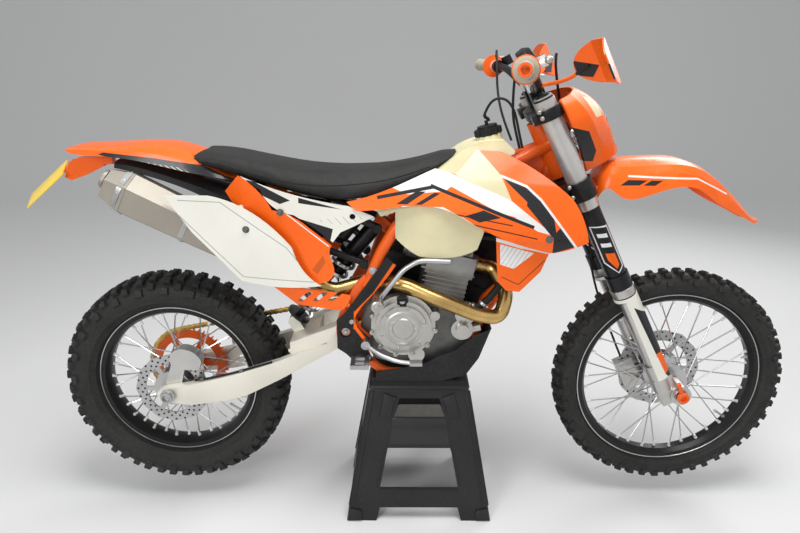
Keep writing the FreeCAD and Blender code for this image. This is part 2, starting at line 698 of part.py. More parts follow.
def axle(place, radius, half_width, nut_wall):
    """A hollow axle with a nut at one end and a head at the other."""
    ends = [disc(place.x, place.z, 1.5 * radius, -half_width - nut_wall, -half_width),
            disc(place.x, place.z, 1.3 * radius, half_width, half_width + nut_wall)]
    bar = disc(place.x, place.z, radius, -half_width, half_width)
    bore = disc(place.x, place.z, AXLE_BORE_RADIUS, -2 * half_width, 2 * half_width)
    return fused([bar] + ends).cut(bore)


def rear_axle():
    half = ARM_INNER_Y + ARM_WALL + SEAT_GAP
    spacers = [pipe_piece(REAR_AXLE + V(0, side * (REAR_HUB_WIDTH / 2 + DISC_GAP), 0),
                          REAR_AXLE + V(0, side * (ARM_INNER_Y - SEAT_GAP), 0),
                          HUB_RADIUS * 0.7, REAR_AXLE_RADIUS + SEAT_GAP) for side in (-1, 1)]
    return together([axle(REAR_AXLE, REAR_AXLE_RADIUS, half, RIM_WALL * 2)] + spacers)


def rear_caliper():
    """A two-piston caliper straddling the disc, on a bracket from the axle."""
    y = -REAR_HUB_WIDTH / 2 + DISC_WALL / 2
    place = (REAR_AXLE.x + 0.08 * REAR_DISC_RADIUS, REAR_AXLE.z + 0.62 * REAR_DISC_RADIUS)
    length, height = 0.82 * REAR_DISC_RADIUS, 0.62 * REAR_DISC_RADIUS
    run_shares = [[(0.0, 0.25)], [(0.05, 0.8), (0.35, 1.0)], [(0.75, 0.85), (1.0, 0.4)], [(0.9, 0.05)],
            [(0.5, 0.02), (0.15, 0.1)]]
    half = REAR_AXLE_RADIUS * 1.5
    body = slab(run_shares, place, length, height, y - half, y + half)
    slot = disc(REAR_AXLE.x, REAR_AXLE.z, REAR_DISC_RADIUS + DISC_GAP, y - DISC_WALL / 2 - DISC_GAP,
                y + DISC_WALL / 2 + DISC_GAP)
    ring_radius, bore = HUB_RADIUS, HUB_RADIUS * 0.7 + SEAT_GAP
    y_from, y_to = SEAT_GAP - ARM_INNER_Y, -REAR_HUB_WIDTH / 2 - 2 * DISC_GAP
    arm_shares = [(-0.22, 0.0), (0.24, 0.0), (0.5, 0.95), (0.14, 0.95)]
    arm = slab([[share] for share in arm_shares], (REAR_AXLE.x, REAR_AXLE.z), REAR_DISC_RADIUS,
               REAR_DISC_RADIUS,
               y_from, y_to)
    ring = disc(REAR_AXLE.x, REAR_AXLE.z, ring_radius, y_from, y_to)
    return fused([body.cut(slot), arm, ring]).cut(disc(REAR_AXLE.x, REAR_AXLE.z, bore, -ARM_INNER_Y, 0.0))


def shock():
    """The damper: an upper eye, a body and its reservoir, and the shaft to the lower eye."""
    top, low = SHOCK_TOP, SHOCK_LOW
    run = (low - top)
    axis = V(run.x, run.y, run.z).normalize()
    side = V(axis.z, 0, -axis.x)
    shaft_radius = SHOCK_SHAFT_RADIUS
    body_end = top + axis * (0.52 * run.Length)
    shank = rod(top, top + axis * (4 * shaft_radius), 1.5 * shaft_radius)
    body = rod(top + axis * (2.7 * shaft_radius), body_end, SHOCK_BODY_RADIUS)
    shaft = rod(body_end - axis * shaft_radius, low, shaft_radius)
    eyes = [disc(p.x, p.z, shaft_radius * 2, -SHOCK_EYE_HALF, SHOCK_EYE_HALF) for p in (top, low)]
    seat = rod(low - axis * (3.2 * shaft_radius), low - axis * (2.2 * shaft_radius), SPRING_RADIUS)
    collar = rod(top + axis * (0.30 * run.Length), top + axis * (0.34 * run.Length), SPRING_RADIUS)
    can_top = top + axis * (0.10 * run.Length) + side * (2.3 * SHOCK_BODY_RADIUS)
    can = rod(can_top, can_top + axis * (0.17 * run.Length), 0.92 * SHOCK_BODY_RADIUS)
    neck = rod(top + axis * (0.18 * run.Length), top + axis * (0.18 * run.Length)
               + side * (2 * SHOCK_BODY_RADIUS),
               1.2 * shaft_radius)
    solid = fused([shank, body, shaft, seat, collar, can, neck] + eyes)
    for place in (top, low):
        solid = solid.cut(disc(place.x, place.z, SHOCK_PIN_RADIUS + SEAT_GAP, -SPRING_RADIUS, SPRING_RADIUS))
    return solid


def shock_spring():
    """A coil spring between the collar and the lower seat, its turns ground flat."""
    run = SHOCK_LOW - SHOCK_TOP
    axis = V(run.x, run.y, run.z).normalize()
    start = SHOCK_TOP + axis * (0.34 * run.Length + SEAT_GAP)
    length = 0.66 * run.Length - 3.2 * SHOCK_SHAFT_RADIUS - 2 * SEAT_GAP
    wire, pitch = SPRING_WIRE_RADIUS, length / SPRING_TURNS
    coil_radius = SPRING_RADIUS - wire
    helix = Part.makeHelix(pitch, length - 2 * wire, coil_radius)
    corners = [V(coil_radius + wire * math.cos(math.pi * k / 3), 0, wire * math.sin(math.pi * k / 3))
               for k in range(6)]
    ring = Part.makePolygon(corners + [corners[0]])
    coil = Part.Wire(helix).makePipeShell([ring], True, True)
    coil.translate(V(0, 0, wire))
    coil.rotate(V(0, 0, 0), V(0, 1, 0), math.degrees(math.atan2(axis.x, axis.z)))
    coil.translate(start)
    return coil


# The chassis, in shares of the frame from the swingarm pivot to the foot of the head tube

def at_body(along, up, y=0.0):
    return V(PIVOT_X + along * FRAME_LENGTH, y, PIVOT_Z + up * FRAME_HEIGHT)


def body_slab(run_shares, y_from, y_to):
    return slab(run_shares, (PIVOT_X, PIVOT_Z), FRAME_LENGTH, FRAME_HEIGHT, y_from, y_to)


def body_panel(run_shares, plan_shares, half_width, wall, lean=0.0):
    """A bent side panel. Its plan is in shares of the frame's length and of a half width."""
    plan = [(PIVOT_X + a * FRAME_LENGTH, w * half_width) for a, w in plan_shares]
    return panel(run_shares, (PIVOT_X, PIVOT_Z), FRAME_LENGTH, FRAME_HEIGHT, plan, wall, lean)


def spar_points(side=1):
    spar_shares = [(0.93, 1.20, 0.22), (0.49, 0.92, 0.80), (0.25, 0.74, 1.0), (0.16, 0.52, 1.0),
                   (0.105, 0.31, 1.0)]
    return [at_body(a, b, side * w * SPAR_Y) for a, b, w in spar_shares]


def frame():
    """Head tube, two spars, a down tube that splits into the cradle, and the pivot plates."""
    head = pipe_piece(raked(0, 0, HEAD_FOOT), raked(0, 0, HEAD_TOP), HEAD_RADIUS,
                      STEM_RADIUS + HEAD_GAP / 2)
    core = rod(raked(0, 0, HEAD_FOOT), raked(0, 0, HEAD_TOP), HEAD_RADIUS * 0.9)
    spars = [tube(spar_points(side), SPAR_RADIUS, 0.3) for side in (-1, 1)]
    down = tube([raked(-0.4 * HEAD_RADIUS, 0, HEAD_FOOT + 1.6 * HEAD_RADIUS), at_body(0.776, 0.25)],
                SPAR_RADIUS)
    cradle_shares = [(0.785, 0.28, 0.08), (0.65, 0.06, 0.66), (0.585, -0.18, 0.98), (0.505, -0.285, 1.0),
                     (0.40, CRADLE_SHARE, 1.0), (0.18, CRADLE_SHARE, 1.0), (0.05, -0.16, 1.07)]
    cradles = [tube([at_body(a, b, side * w * CRADLE_Y) for a, b, w in cradle_shares],
                    CRADLE_RADIUS, 0.3) for side in (-1, 1)]
    gusset = body_slab([[(0.93, 1.19)], [(0.975, 1.07)], [(0.87, 0.72)], [(0.74, 1.06)]],
                       -PLATE_WALL / 2, PLATE_WALL / 2)
    plate_shares = [[(0.09, 0.39)], [(0.135, 0.33)], [(0.085, 0.19), (0.045, 0.10)], [(0.075, 0.01)],
                  [(0.115, -0.04)], [(0.10, -0.14)], [(0.115, -0.20), (0.03, -0.21)], [(-0.035, -0.10)],
                  [(-0.045, 0.02), (-0.03, 0.12)], [(0.05, 0.33)]]
    plate = body_slab(plate_shares, SPAR_Y - PLATE_WALL / 2 + SEAT_GAP, SPAR_Y + PLATE_WALL / 2)
    plate = plate.cut(disc(PIVOT_X, PIVOT_Z, PIVOT_BOLT_RADIUS, 0, 2 * SPAR_Y))
    brace = rod(at_body(0.209, 0.64, -SPAR_Y), at_body(0.209, 0.64, SPAR_Y), CRADLE_RADIUS)
    brace_place = at_body(0.209, 0.64)
    lower_brace = rod(at_body(0.06, -0.19, -SPAR_Y), at_body(0.06, -0.19, SPAR_Y), CRADLE_RADIUS)
    solids = [core, down, gusset, brace, lower_brace] + spars + cradles + both_sides(plate)
    solids += clevis(SHOCK_TOP, (brace_place.x, brace_place.z))
    inner = RADIATOR_Y - RADIATOR_WIDTH / 2 - SEAT_GAP
    for side in (-1, 1):
        for (a, b), (core_a, core_b) in (((0.835, 0.50), (0.814, 0.52)), ((0.90, 0.80), (0.792, 0.80))):
            start, end = at_body(a, b), at_body(core_a, core_b, side * inner)
            between = box(end.x - FRAME_LENGTH, end.x + FRAME_LENGTH, -inner, inner,
                          end.z - FRAME_HEIGHT, end.z + FRAME_HEIGHT)
            solids.append(rod(start, end, PEDAL_RADIUS).common(between))
    whole = fused(solids)
    bore = rod(raked(0, 0, HEAD_FOOT - HEAD_RADIUS * 2), raked(0, 0, HEAD_TOP + HEAD_RADIUS * 2),
               STEM_RADIUS + HEAD_GAP / 2)
    return fused([whole.cut(bore), head])


def swingarm_pivot():
    """The pivot bolt through the frame's plates and the swingarm's barrel."""
    half = SPAR_Y + PLATE_WALL
    bolt = disc(PIVOT_X, PIVOT_Z, PIVOT_BOLT_RADIUS - AXLE_FIT, -half, half)
    heads = [disc(PIVOT_X, PIVOT_Z, 1.5 * PIVOT_BOLT_RADIUS, y, y + PLATE_WALL / 2)
             for y in (-half, half - PLATE_WALL / 2)]
    return fused([bolt] + heads)


def subframe():
    """Rear rails under the seat, with a brace on each side and two cross tubes."""
    top_shares = [(0.165, 0.68), (-0.12, 0.84), (-0.46, 0.955), (-0.62, 1.02)]
    low_shares = [(0.10, 0.44), (-0.14, 0.56), (-0.44, 0.93)]
    cross_shares = [(-0.60, 1.012), (-0.14, 0.565)]
    rails = []
    for side in (-1, 1):
        y = side * SUBFRAME_Y
        rails.append(tube([at_body(a, b, y) for a, b in top_shares], SUBFRAME_RADIUS))
        rails.append(tube([at_body(a, b, y) for a, b in low_shares], SUBFRAME_RADIUS))
    for a, b in cross_shares:
        rails.append(rod(at_body(a, b, -SUBFRAME_Y), at_body(a, b, SUBFRAME_Y), 0.85 * SUBFRAME_RADIUS))
    for side in (-1, 1):
        for a, b in (top_shares[0], low_shares[0]):
            rails.append(rod(at_body(a - 0.012, b, side * (SUBFRAME_Y - 0.5 * SUBFRAME_RADIUS)),
                             at_body(a - 0.012, b, side * (SPAR_Y - SPAR_RADIUS - SEAT_GAP)),
                             1.2 * SUBFRAME_RADIUS))
    return fused(rails)


def crankcase():
    """The cases as one block in outline, with the covers' seats and the foot of the cylinder."""
    half = CASE_WIDTH / 2
    run_shares = [[(0.03, 0.30)], [(0.0, 0.55), (0.04, 0.80)], [(0.12, 0.99), (0.28, 1.0)], [(0.60, 0.96)],
            [(0.82, 0.90)], [(0.92, 0.62), (0.88, 0.30)], [(0.74, 0.10), (0.54, 0.0)],
            [(0.30, 0.0)], [(0.12, 0.08)]]
    place = (CASE_FOOT_X, CASE_FOOT_Z)
    block = slab(run_shares, place, CASE_LENGTH, CASE_HEIGHT, -half, half)
    notch = belt(pitch_radius(REAR_TEETH) + CHAIN_HEIGHT, pitch_radius(DRIVE_TEETH) + CHAIN_HEIGHT,
                 half - PLATE_WALL, half)
    barrel_room = disc(PIVOT_X, PIVOT_Z, PIVOT_RADIUS + DISC_GAP, -CASE_WIDTH, CASE_WIDTH)
    return block.cut(notch).cut(barrel_room)


def round_cover(x, z, radius, depth, side, ridge_share=0.72):
    """A stepped round cover standing out from the cases on one side."""
    root = CASE_WIDTH / 2 + SEAT_GAP
    tiers = ((1.0, 0.0, 0.55), (0.86, 0.5, 0.85), (ridge_share, 0.8, 1.0))
    shapes = []
    for share, start, end in tiers:
        y_from, y_to = sorted((side * (root + start * depth), side * (root + end * depth)))
        shapes.append(disc(x, z, radius * share, y_from, y_to))
    return fused(shapes)


def cover_bosses(x, z, radius, depth, side):
    """Six-sided screw bosses round the lower part of a cover's edge."""
    root, bosses = CASE_WIDTH / 2 + SEAT_GAP, []
    for index in range(COVER_SCREWS):
        angle = math.pi * (0.9 + 1.22 * index / (COVER_SCREWS - 1))
        place = V(x + radius * math.cos(angle), side * root, z + radius * math.sin(angle))
        bosses.append(hex_bar(place, place + V(0, side * depth, 0), SCREW_BOSS_RADIUS))
    return bosses


def clutch_cover():
    """The right side: the clutch's round cover, the kick shaft's boss and the oil filter's cap."""
    root = CASE_WIDTH / 2 + SEAT_GAP
    main = round_cover(CLUTCH_X, CLUTCH_Z, CLUTCH_RADIUS, CLUTCH_DEPTH, -1)
    boss_place = at_body(0.155, 0.24)
    boss = disc(boss_place.x, boss_place.z, 0.16 * CLUTCH_RADIUS, -root - 0.9 * CLUTCH_DEPTH, -root)
    cap_place = at_body(0.335, -0.17)
    cap = disc(cap_place.x, cap_place.z, 0.26 * CLUTCH_RADIUS, -root - 0.5 * CLUTCH_DEPTH, -root)
    filler_place = at_body(0.42, 0.12)
    filler = disc(filler_place.x, filler_place.z, 0.15 * CLUTCH_RADIUS, -root - 0.75 * CLUTCH_DEPTH, -root)
    bosses = cover_bosses(CLUTCH_X, CLUTCH_Z, CLUTCH_RADIUS, 0.62 * CLUTCH_DEPTH, -1)
    return fused([main, boss, cap, filler] + bosses)


def water_pump():
    """The pump's scroll at the front of the right side, with its outlet."""
    root = CASE_WIDTH / 2 + SEAT_GAP
    place = at_body(0.548, 0.025)
    scroll = disc(place.x, place.z, 0.34 * CLUTCH_RADIUS, -root - 0.75 * CLUTCH_DEPTH, -root)
    nose = disc(place.x, place.z, 0.20 * CLUTCH_RADIUS, -root - CLUTCH_DEPTH, -root)
    start = place + V(0.1 * CLUTCH_RADIUS, -root - 0.35 * CLUTCH_DEPTH, -0.1 * CLUTCH_RADIUS)
    spout = rod(start, start + V(0.48 * CLUTCH_RADIUS, 0, 0.12 * CLUTCH_RADIUS), 0.14 * CLUTCH_RADIUS)
    return fused([scroll, nose, spout])


def ignition_cover():
    """The left side: the generator's round cover."""
    place = at_body(0.44, 0.02)
    cover = round_cover(place.x, place.z, 0.86 * CLUTCH_RADIUS, 0.8 * CLUTCH_DEPTH, 1, 0.5)
    return fused([cover] + cover_bosses(place.x, place.z, 0.80 * CLUTCH_RADIUS, 0.5 * CLUTCH_DEPTH, 1))


def along_cylinder(up, forward=0.0, y=0.0):
    """A place up the cylinder's leaning axis from the top of the cases."""
    lean = math.radians(CYLINDER_LEAN_DEG)
    foot_z = CASE_FOOT_Z + 0.93 * CASE_HEIGHT
    return V(CYLINDER_X + up * math.sin(lean) + forward * math.cos(lean), y,
             foot_z + up * math.cos(lean) - forward * math.sin(lean))


def leaning_block(up_from, up_to, length, width, flare=1.0):
    corners = []
    for up, grow in ((up_from, 1.0), (up_to, flare)):
        half, deep = grow * width / 2, grow * length / 2
        ring = [along_cylinder(up, -deep, -half), along_cylinder(up, deep, -half),
                along_cylinder(up, deep, half), along_cylinder(up, -deep, half)]
        corners.append(Part.makePolygon(ring + [ring[0]]))
    return Part.makeLoft(corners, True, True)


def cylinder():
    """The barrel, the head over it, the narrower valve cover, and the intake behind."""
    barrel = leaning_block(-0.1 * CYLINDER_HEIGHT, CYLINDER_HEIGHT, CYLINDER_LENGTH, CYLINDER_WIDTH)
    skirt = leaning_block(0.86 * CYLINDER_HEIGHT, CYLINDER_HEIGHT + 0.55 * HEAD_HEIGHT, HEAD_LENGTH,
                          HEAD_WIDTH)
    cover = leaning_block(CYLINDER_HEIGHT + 0.5 * HEAD_HEIGHT, CYLINDER_HEIGHT + HEAD_HEIGHT,
                          0.86 * HEAD_LENGTH, 0.8 * HEAD_WIDTH, 0.86)
    port_up = CYLINDER_HEIGHT + 0.25 * HEAD_HEIGHT
    intake = rod(along_cylinder(port_up, -0.4 * HEAD_LENGTH), along_cylinder(port_up + 0.2 * HEAD_HEIGHT,
                 -0.95 * HEAD_LENGTH), 0.2 * HEAD_WIDTH)
    outlet = rod(along_cylinder(port_up, 0.4 * HEAD_LENGTH, -0.12 * HEAD_WIDTH),
                 along_cylinder(port_up, 0.58 * HEAD_LENGTH, -0.12 * HEAD_WIDTH), 1.15 * HEADER_RADIUS)
    whole = fused([barrel, skirt, cover, intake, outlet])
    cases = slab([[(0.0, 0.0)], [(0.0, 1.0)], [(0.28, 1.0)], [(0.60, 0.96)], [(0.84, 0.90)], [(1.0, 0.7)],
                  [(1.0, 0.0)]], (CASE_FOOT_X, CASE_FOOT_Z), CASE_LENGTH, CASE_HEIGHT + SEAT_GAP,
                 -CASE_WIDTH, CASE_WIDTH)
    return whole.cut(cases)


def header():
    """The exhaust pipe: down and round the right of the engine, then back to the silencer."""
    port_up = CYLINDER_HEIGHT + 0.25 * HEAD_HEIGHT
    ahead = [along_cylinder(port_up, 0.58 * HEAD_LENGTH + SEAT_GAP + step * HEADER_RADIUS, -0.12 * HEAD_WIDTH)
             for step in (0.0, 2.2)]
    route_shares = [(0.765, 0.25, 0.74), (0.725, 0.10, 1.12), (0.62, 0.13, 1.24),
                    (0.43, 0.24, 1.24), (0.28, 0.322, 0.98), (0.14, 0.325, 0.56)]
    axis = (SILENCER_MOUTH - SILENCER_END)
    straight = SILENCER_MOUTH + axis.normalize() * (2.5 * HEADER_RADIUS)
    route = ahead + [at_body(a, b, -w * SPAR_Y) for a, b, w in route_shares] + [straight, SILENCER_MOUTH]
    return tube(route, HEADER_RADIUS, 0.42)


def silencer_ring(share, half_height, half_width):
    """A six-cornered section of the silencer across its axis, its side towards the wheel flat."""
    axis = (SILENCER_MOUTH - SILENCER_END)
    run = V(axis.x, 0, axis.z).normalize()
    up = V(-run.z, 0, run.x)
    middle = SILENCER_END + axis * share
    corners = ((-0.75, -0.55), (0.0, -1.0), (0.9, -0.65), (1.0, 0.45), (0.25, 1.0), (-0.75, 0.85))
    points = [middle + V(0, -w * half_width, 0) + up * (h * half_height) for w, h in corners]
    return Part.makePolygon(points + [points[0]])


def silencer_sleeve(gap):
    """The tapered sleeve, grown by a gap to cut its room."""
    half, width = SILENCER_HEIGHT / 2, SILENCER_WIDTH / 2
    sections = ((0.10, 1.0, 1.0), (0.60, 0.92, 1.0), (0.86, 0.66, 0.7))
    return Part.makeLoft([silencer_ring(at, half * tall + gap, width * wide + gap)
                          for at, tall, wide in sections], True, True)


def silencer():
    """A tapered sleeve with an end cap, a tail pipe and a conical mouth."""
    half, width = SILENCER_HEIGHT / 2, SILENCER_WIDTH / 2
    sleeve = silencer_sleeve(0.0)
    cap = Part.makeLoft([silencer_ring(0.0, half * 0.72, width * 0.74),
                         silencer_ring(0.10, half * 1.03, width * 1.03)], True, True)
    run = SILENCER_MOUTH - SILENCER_END
    axis = V(run.x, run.y, run.z).normalize()
    mouth = rod(SILENCER_END + run * 0.84, SILENCER_MOUTH - axis * SEAT_GAP, HEADER_RADIUS * 1.12)
    outlet = rod(SILENCER_END - axis * (0.5 * HEADER_RADIUS), SILENCER_END + run * 0.08, 0.72 * HEADER_RADIUS)
    bore = rod(SILENCER_END - axis * HEADER_RADIUS, SILENCER_END + run * 0.06, 0.6 * HEADER_RADIUS)
    return fused([sleeve, cap, mouth, outlet]).cut(bore)


# Tank, seat and bodywork

def front_outline(half_shares, half_width, z_foot, z_height, x_from, x_to):
    """A prism along X from the right half of a front view, given from the foot up."""
    right = [V(x_from, -w * half_width, z_foot + h * z_height) for w, h in half_shares]
    left = [V(p.x, -p.y, p.z) for p in reversed(right)]
    points = right + left
    return polygon_face(points).extrude(V(x_to - x_from, 0, 0))


def fuel_tank():
    """A saddle tank: its lobes hang outside the spars and its neck rises to the filler."""
    run_shares = [[(0.15, 0.82)], [(0.30, 0.94), (0.42, 1.06), (0.53, 1.18)], [(0.60, 1.225), (0.72, 1.24)],
            [(0.765, 1.18)], [(0.74, 1.04), (0.70, 0.88), (0.63, 0.72)], [(0.60, 0.59)],
            [(0.54, 0.55), (0.44, 0.53), (0.34, 0.54)], [(0.24, 0.64), (0.19, 0.74)]]
    reach = TANK_WIDTH / 2
    side = body_slab(run_shares, -reach, reach)
    z_foot, z_height = PIVOT_Z + 0.5 * FRAME_HEIGHT, 0.78 * FRAME_HEIGHT
    half_shares = [(0.93, 0.0), (1.0, 0.20), (0.97, 0.42), (0.86, 0.55), (0.62, 0.74), (0.46, 0.9),
                   (0.42, 1.0)]
    hull = front_outline(half_shares, reach, z_foot, z_height, side.BoundBox.XMin - CUT_OVERRUN,
                         side.BoundBox.XMax + CUT_OVERRUN)
    plan = plan_prism([(0.10, 0.72), (0.24, 0.80), (0.40, 1.0), (0.60, 1.02), (0.80, 0.90)], reach)
    inside = SPAR_Y + SPAR_RADIUS + 3 * SEAT_GAP
    tunnel = body_slab([[(-0.1, 0.3)], [(-0.1, 0.66)], [(0.22, 0.805)], [(0.49, 0.99)], [(0.66, 1.105)],
                        [(0.90, 1.24)], [(0.90, 0.3)]], -inside, inside)
    tunnel = tunnel.common(plan_prism([(-0.1, 1.0), (0.25, 1.02), (0.49, 0.88), (0.90, 0.55)], inside))
    neck = rod(tank_cap_place(-CAP_HEIGHT), tank_cap_place(0.0), CAP_RADIUS * 1.05)
    return fused([side.common(hull).common(plan).cut(tunnel), neck])


def plan_prism(plan_shares, half_width):
    """A tall prism whose half width follows shares along the frame."""
    right = [at_body(a, 0.0, -w * half_width) for a, w in plan_shares]
    left = [V(p.x, -p.y, p.z) for p in reversed(right)]
    foot = [p - V(0, 0, FRAME_HEIGHT) for p in right + left]
    return polygon_face(foot).extrude(V(0, 0, 3 * FRAME_HEIGHT))


def tank_cap_place(up):
    lean = math.radians(CAP_LEAN_DEG)
    foot = at_body(0.660, 1.262)
    return foot + V(-math.sin(lean) * up, 0, math.cos(lean) * up)


def fuel_cap():
    """A knurled cap over the filler neck, with its vent nipple."""
    lower = rod(tank_cap_place(SEAT_GAP), tank_cap_place(0.72 * CAP_HEIGHT), CAP_RADIUS)
    upper = rod(tank_cap_place(0.6 * CAP_HEIGHT), tank_cap_place(CAP_HEIGHT), 0.82 * CAP_RADIUS)
    grips = []
    for index in range(CAP_GRIPS):
        angle = 2 * math.pi * index / CAP_GRIPS
        lean = math.radians(CAP_LEAN_DEG)
        out = V(math.cos(angle) * math.cos(lean), math.sin(angle), math.cos(angle) * math.sin(lean))
        grips.append(rod(tank_cap_place(SEAT_GAP) + out * CAP_RADIUS,
                         tank_cap_place(0.66 * CAP_HEIGHT) + out * CAP_RADIUS, 0.14 * CAP_RADIUS))
    nipple = rod(tank_cap_place(0.9 * CAP_HEIGHT), tank_cap_place(1.5 * CAP_HEIGHT), 0.14 * CAP_RADIUS)
    return fused([lower, upper, nipple] + grips)


def seat_section(x_share, top, foot, half_share, crown_share):
    """A cross section of the seat: flat below, rounded above."""
    half = half_share * SEAT_HALF_WIDTH
    crown = crown_share * half
    low = at_body(x_share, foot)
    high = PIVOT_Z + top * FRAME_HEIGHT
    rise = high - low.z
    right = [V(low.x, -half, low.z), V(low.x, -half, low.z + 0.40 * rise),
             V(low.x, -0.5 * (half + crown), low.z + 0.80 * rise), V(low.x, -crown, low.z + 0.94 * rise),
             V(low.x, -0.4 * crown, high)]
    left = [V(p.x, -p.y, p.z) for p in reversed(right)]
    return Part.makePolygon(right + left + [right[0]])


def seat():
    """One long saddle that narrows over the tank."""
    section_shares = [(-0.70, 1.155, 1.125, 0.72, 0.72), (-0.50, 1.145, 1.06, 0.90, 0.72),
                      (-0.25, 1.075, 0.955, 1.0, 0.72), (0.04, 1.05, 0.885, 0.98, 0.66),
                      (0.25, 1.075, 0.96, 0.80, 0.62), (0.40, 1.125, 1.065, 0.62, 0.6),
                      (0.53, 1.19, 1.18, 0.50, 0.6)]
    body = loft([seat_section(*share) for share in section_shares])
    tank_room = body_slab([[(0.15, 0.5)], [(0.15, 0.82 + 0.012)],
                           [(0.30, 0.952), (0.42, 1.072), (0.53, 1.192)],
                           [(0.60, 1.30)], [(0.9, 1.30)], [(0.9, 0.5)]], -2 * SEAT_HALF_WIDTH,
                          2 * SEAT_HALF_WIDTH)
    tail_room = arch(TAIL_SHARES, TAIL_HALF_WIDTH, TAIL_HALF_WIDTH / 3)
    tail_room.translate(V(0, 0, SEAT_GAP))
    return body.cut(tank_room).cut(tail_room)


def side_cover():
    """The coloured cover under the seat's rear, on the left side."""
    run_shares = [[(-0.455, 1.04)], [(-0.37, 0.95), (-0.31, 0.83)], [(-0.22, 0.79), (-0.17, 0.745)],
            [(-0.05, 0.605)], [(-0.06, 0.54), (-0.045, 0.47), (-0.07, 0.37)], [(-0.12, 0.35)],
            [(-0.30, 0.45)], [(-0.52, 0.94)]]
    plan_shares = [(-0.56, 0.70), (-0.35, 0.93), (-0.2, 0.98), (0.1, 0.93)]
    return body_panel(run_shares, plan_shares, SIDE_COVER_Y, PANEL_WALL)


def air_cover():
    """The pale cover between the seat and the spar, on the left side."""
    run_shares = [[(-0.445, 1.035)], [(-0.09, 0.885), (0.03, 0.855)], [(0.14, 0.79)],
                  [(0.06, 0.735), (-0.01, 0.69)],
            [(-0.045, 0.625)], [(-0.165, 0.755), (-0.215, 0.80)], [(-0.295, 0.84), (-0.36, 0.955)]]
    plan_shares = [(-0.5, 0.78), (-0.35, 0.90), (-0.15, 0.95), (0.2, 0.93)]
    cover = body_panel(run_shares, plan_shares, SIDE_COVER_Y, PANEL_WALL)
    hole = at_body(0.045, 0.79)
    return cover.cut(disc(hole.x, hole.z, 2 * PANEL_WALL, 0, 2 * SIDE_COVER_Y))


def number_panel():
    """The bare number panel that stands out over the silencer, on the left side."""
    run_shares = [[(-0.76, 0.94)], [(-0.57, 0.94)], [(-0.49, 0.91), (-0.38, 0.83), (-0.28, 0.71),
                                                     (-0.22, 0.61)],
            [(-0.195, 0.51), (-0.16, 0.43), (-0.10, 0.355)], [(-0.32, 0.365), (-0.45, 0.405)],
            [(-0.55, 0.56), (-0.65, 0.71)]]
    plan_shares = [(-0.9, 0.93), (-0.6, 1.0), (-0.3, 1.0), (0.0, 0.84)]
    panel_shape = body_panel(run_shares, plan_shares, NUMBER_PANEL_Y, PANEL_WALL)
    cover = side_cover()
    near = cover.copy()
    near.translate(V(0, SEAT_GAP, 0))
    pegs = []
    for a, b, depth in ((-0.45, 0.84, 0.83), (-0.24, 0.55, 0.97)):
        place = at_body(a, b)
        peg = disc(place.x, place.z, 2 * PANEL_WALL, depth * SIDE_COVER_Y + PANEL_WALL / 2,
                   NUMBER_PANEL_Y * 1.03)
        outside = peg.cut(cover).cut(near)
        pegs += [solid for solid in outside.Solids if solid.CenterOfMass.y > SIDE_COVER_Y * depth
                 + PANEL_WALL]
    trimmed = [peg.cut(beyond(panel_shape)) for peg in pegs]
    return fused([panel_shape] + trimmed)


def beyond(wall):
    """The room outside a side panel, to trim what reaches through it."""
    room = wall.copy()
    shapes = []
    for step in range(1, 4):
        layer = room.copy()
        layer.translate(V(0, step * PANEL_WALL, 0))
        shapes.append(layer)
    return fused(shapes)


def airbox():
    """The closed box that carries the air filter, between the rails."""
    run_shares = [[(-0.46, 0.90)], [(-0.08, 0.80)], [(-0.08, 0.66)], [(-0.17, 0.49)], [(-0.28, 0.49)],
            [(-0.46, 0.62)]]
    half = SUBFRAME_Y - SUBFRAME_RADIUS - 2 * SEAT_GAP
    tube_room = rod(at_body(-0.14, 0.565, -half), at_body(-0.14, 0.565, half), SUBFRAME_RADIUS + SEAT_GAP)
    return body_slab(run_shares, -half, half).cut(tube_room)


def arch_section(x, z_edge, z_crown, half_width, wall):
    """A thin creased arch across the machine, open below."""
    arch_shares = [(1.0, 0.0), (0.94, 0.55), (0.76, 0.86), (0.34, 1.0)]

    def over(half, low, high):
        right = [V(x, -w * half, low + h * (high - low)) for w, h in arch_shares]
        return right + [V(p.x, -p.y, p.z) for p in reversed(right)]
    outer = over(half_width, z_edge, z_crown)
    inner = over(half_width - wall, z_edge, z_crown - wall)
    return Part.makePolygon(outer + inner[::-1] + [outer[0]])


def arch(section_shares, half_width, wall):
    """A mudguard lofted through arches, in shares of the frame and of a half width."""
    wires = []
    for a, edge, crown, half in section_shares:
        x = PIVOT_X + a * FRAME_LENGTH
        wires.append(arch_section(x, PIVOT_Z + edge * FRAME_HEIGHT, PIVOT_Z + crown * FRAME_HEIGHT,
                                  half * half_width, wall))
    return loft(wires)


TAIL_SHARES = [(-1.245, 1.165, 1.185, 0.50), (-1.12, 1.15, 1.205, 0.78), (-0.95, 1.135, 1.215, 0.92),
               (-0.78, 1.09, 1.21, 1.0), (-0.60, 1.035, 1.10, 1.0), (-0.46, 0.99, 1.015, 0.88)]


def rear_fender():
    """The tail: a long arched blade behind the seat."""
    return arch(TAIL_SHARES, TAIL_HALF_WIDTH, PANEL_WALL)


def inner_fender():
    """The black liner over the rear wheel, from the airbox to the tail."""
    section_shares = [(-1.02, 1.07, 1.115, 0.70), (-0.86, 1.02, 1.085, 0.80), (-0.70, 0.94, 1.015, 0.80),
                      (-0.56, 0.83, 0.955, 0.76), (-0.475, 0.72, 0.90, 0.70)]
    return arch(section_shares, TAIL_HALF_WIDTH, PANEL_WALL)


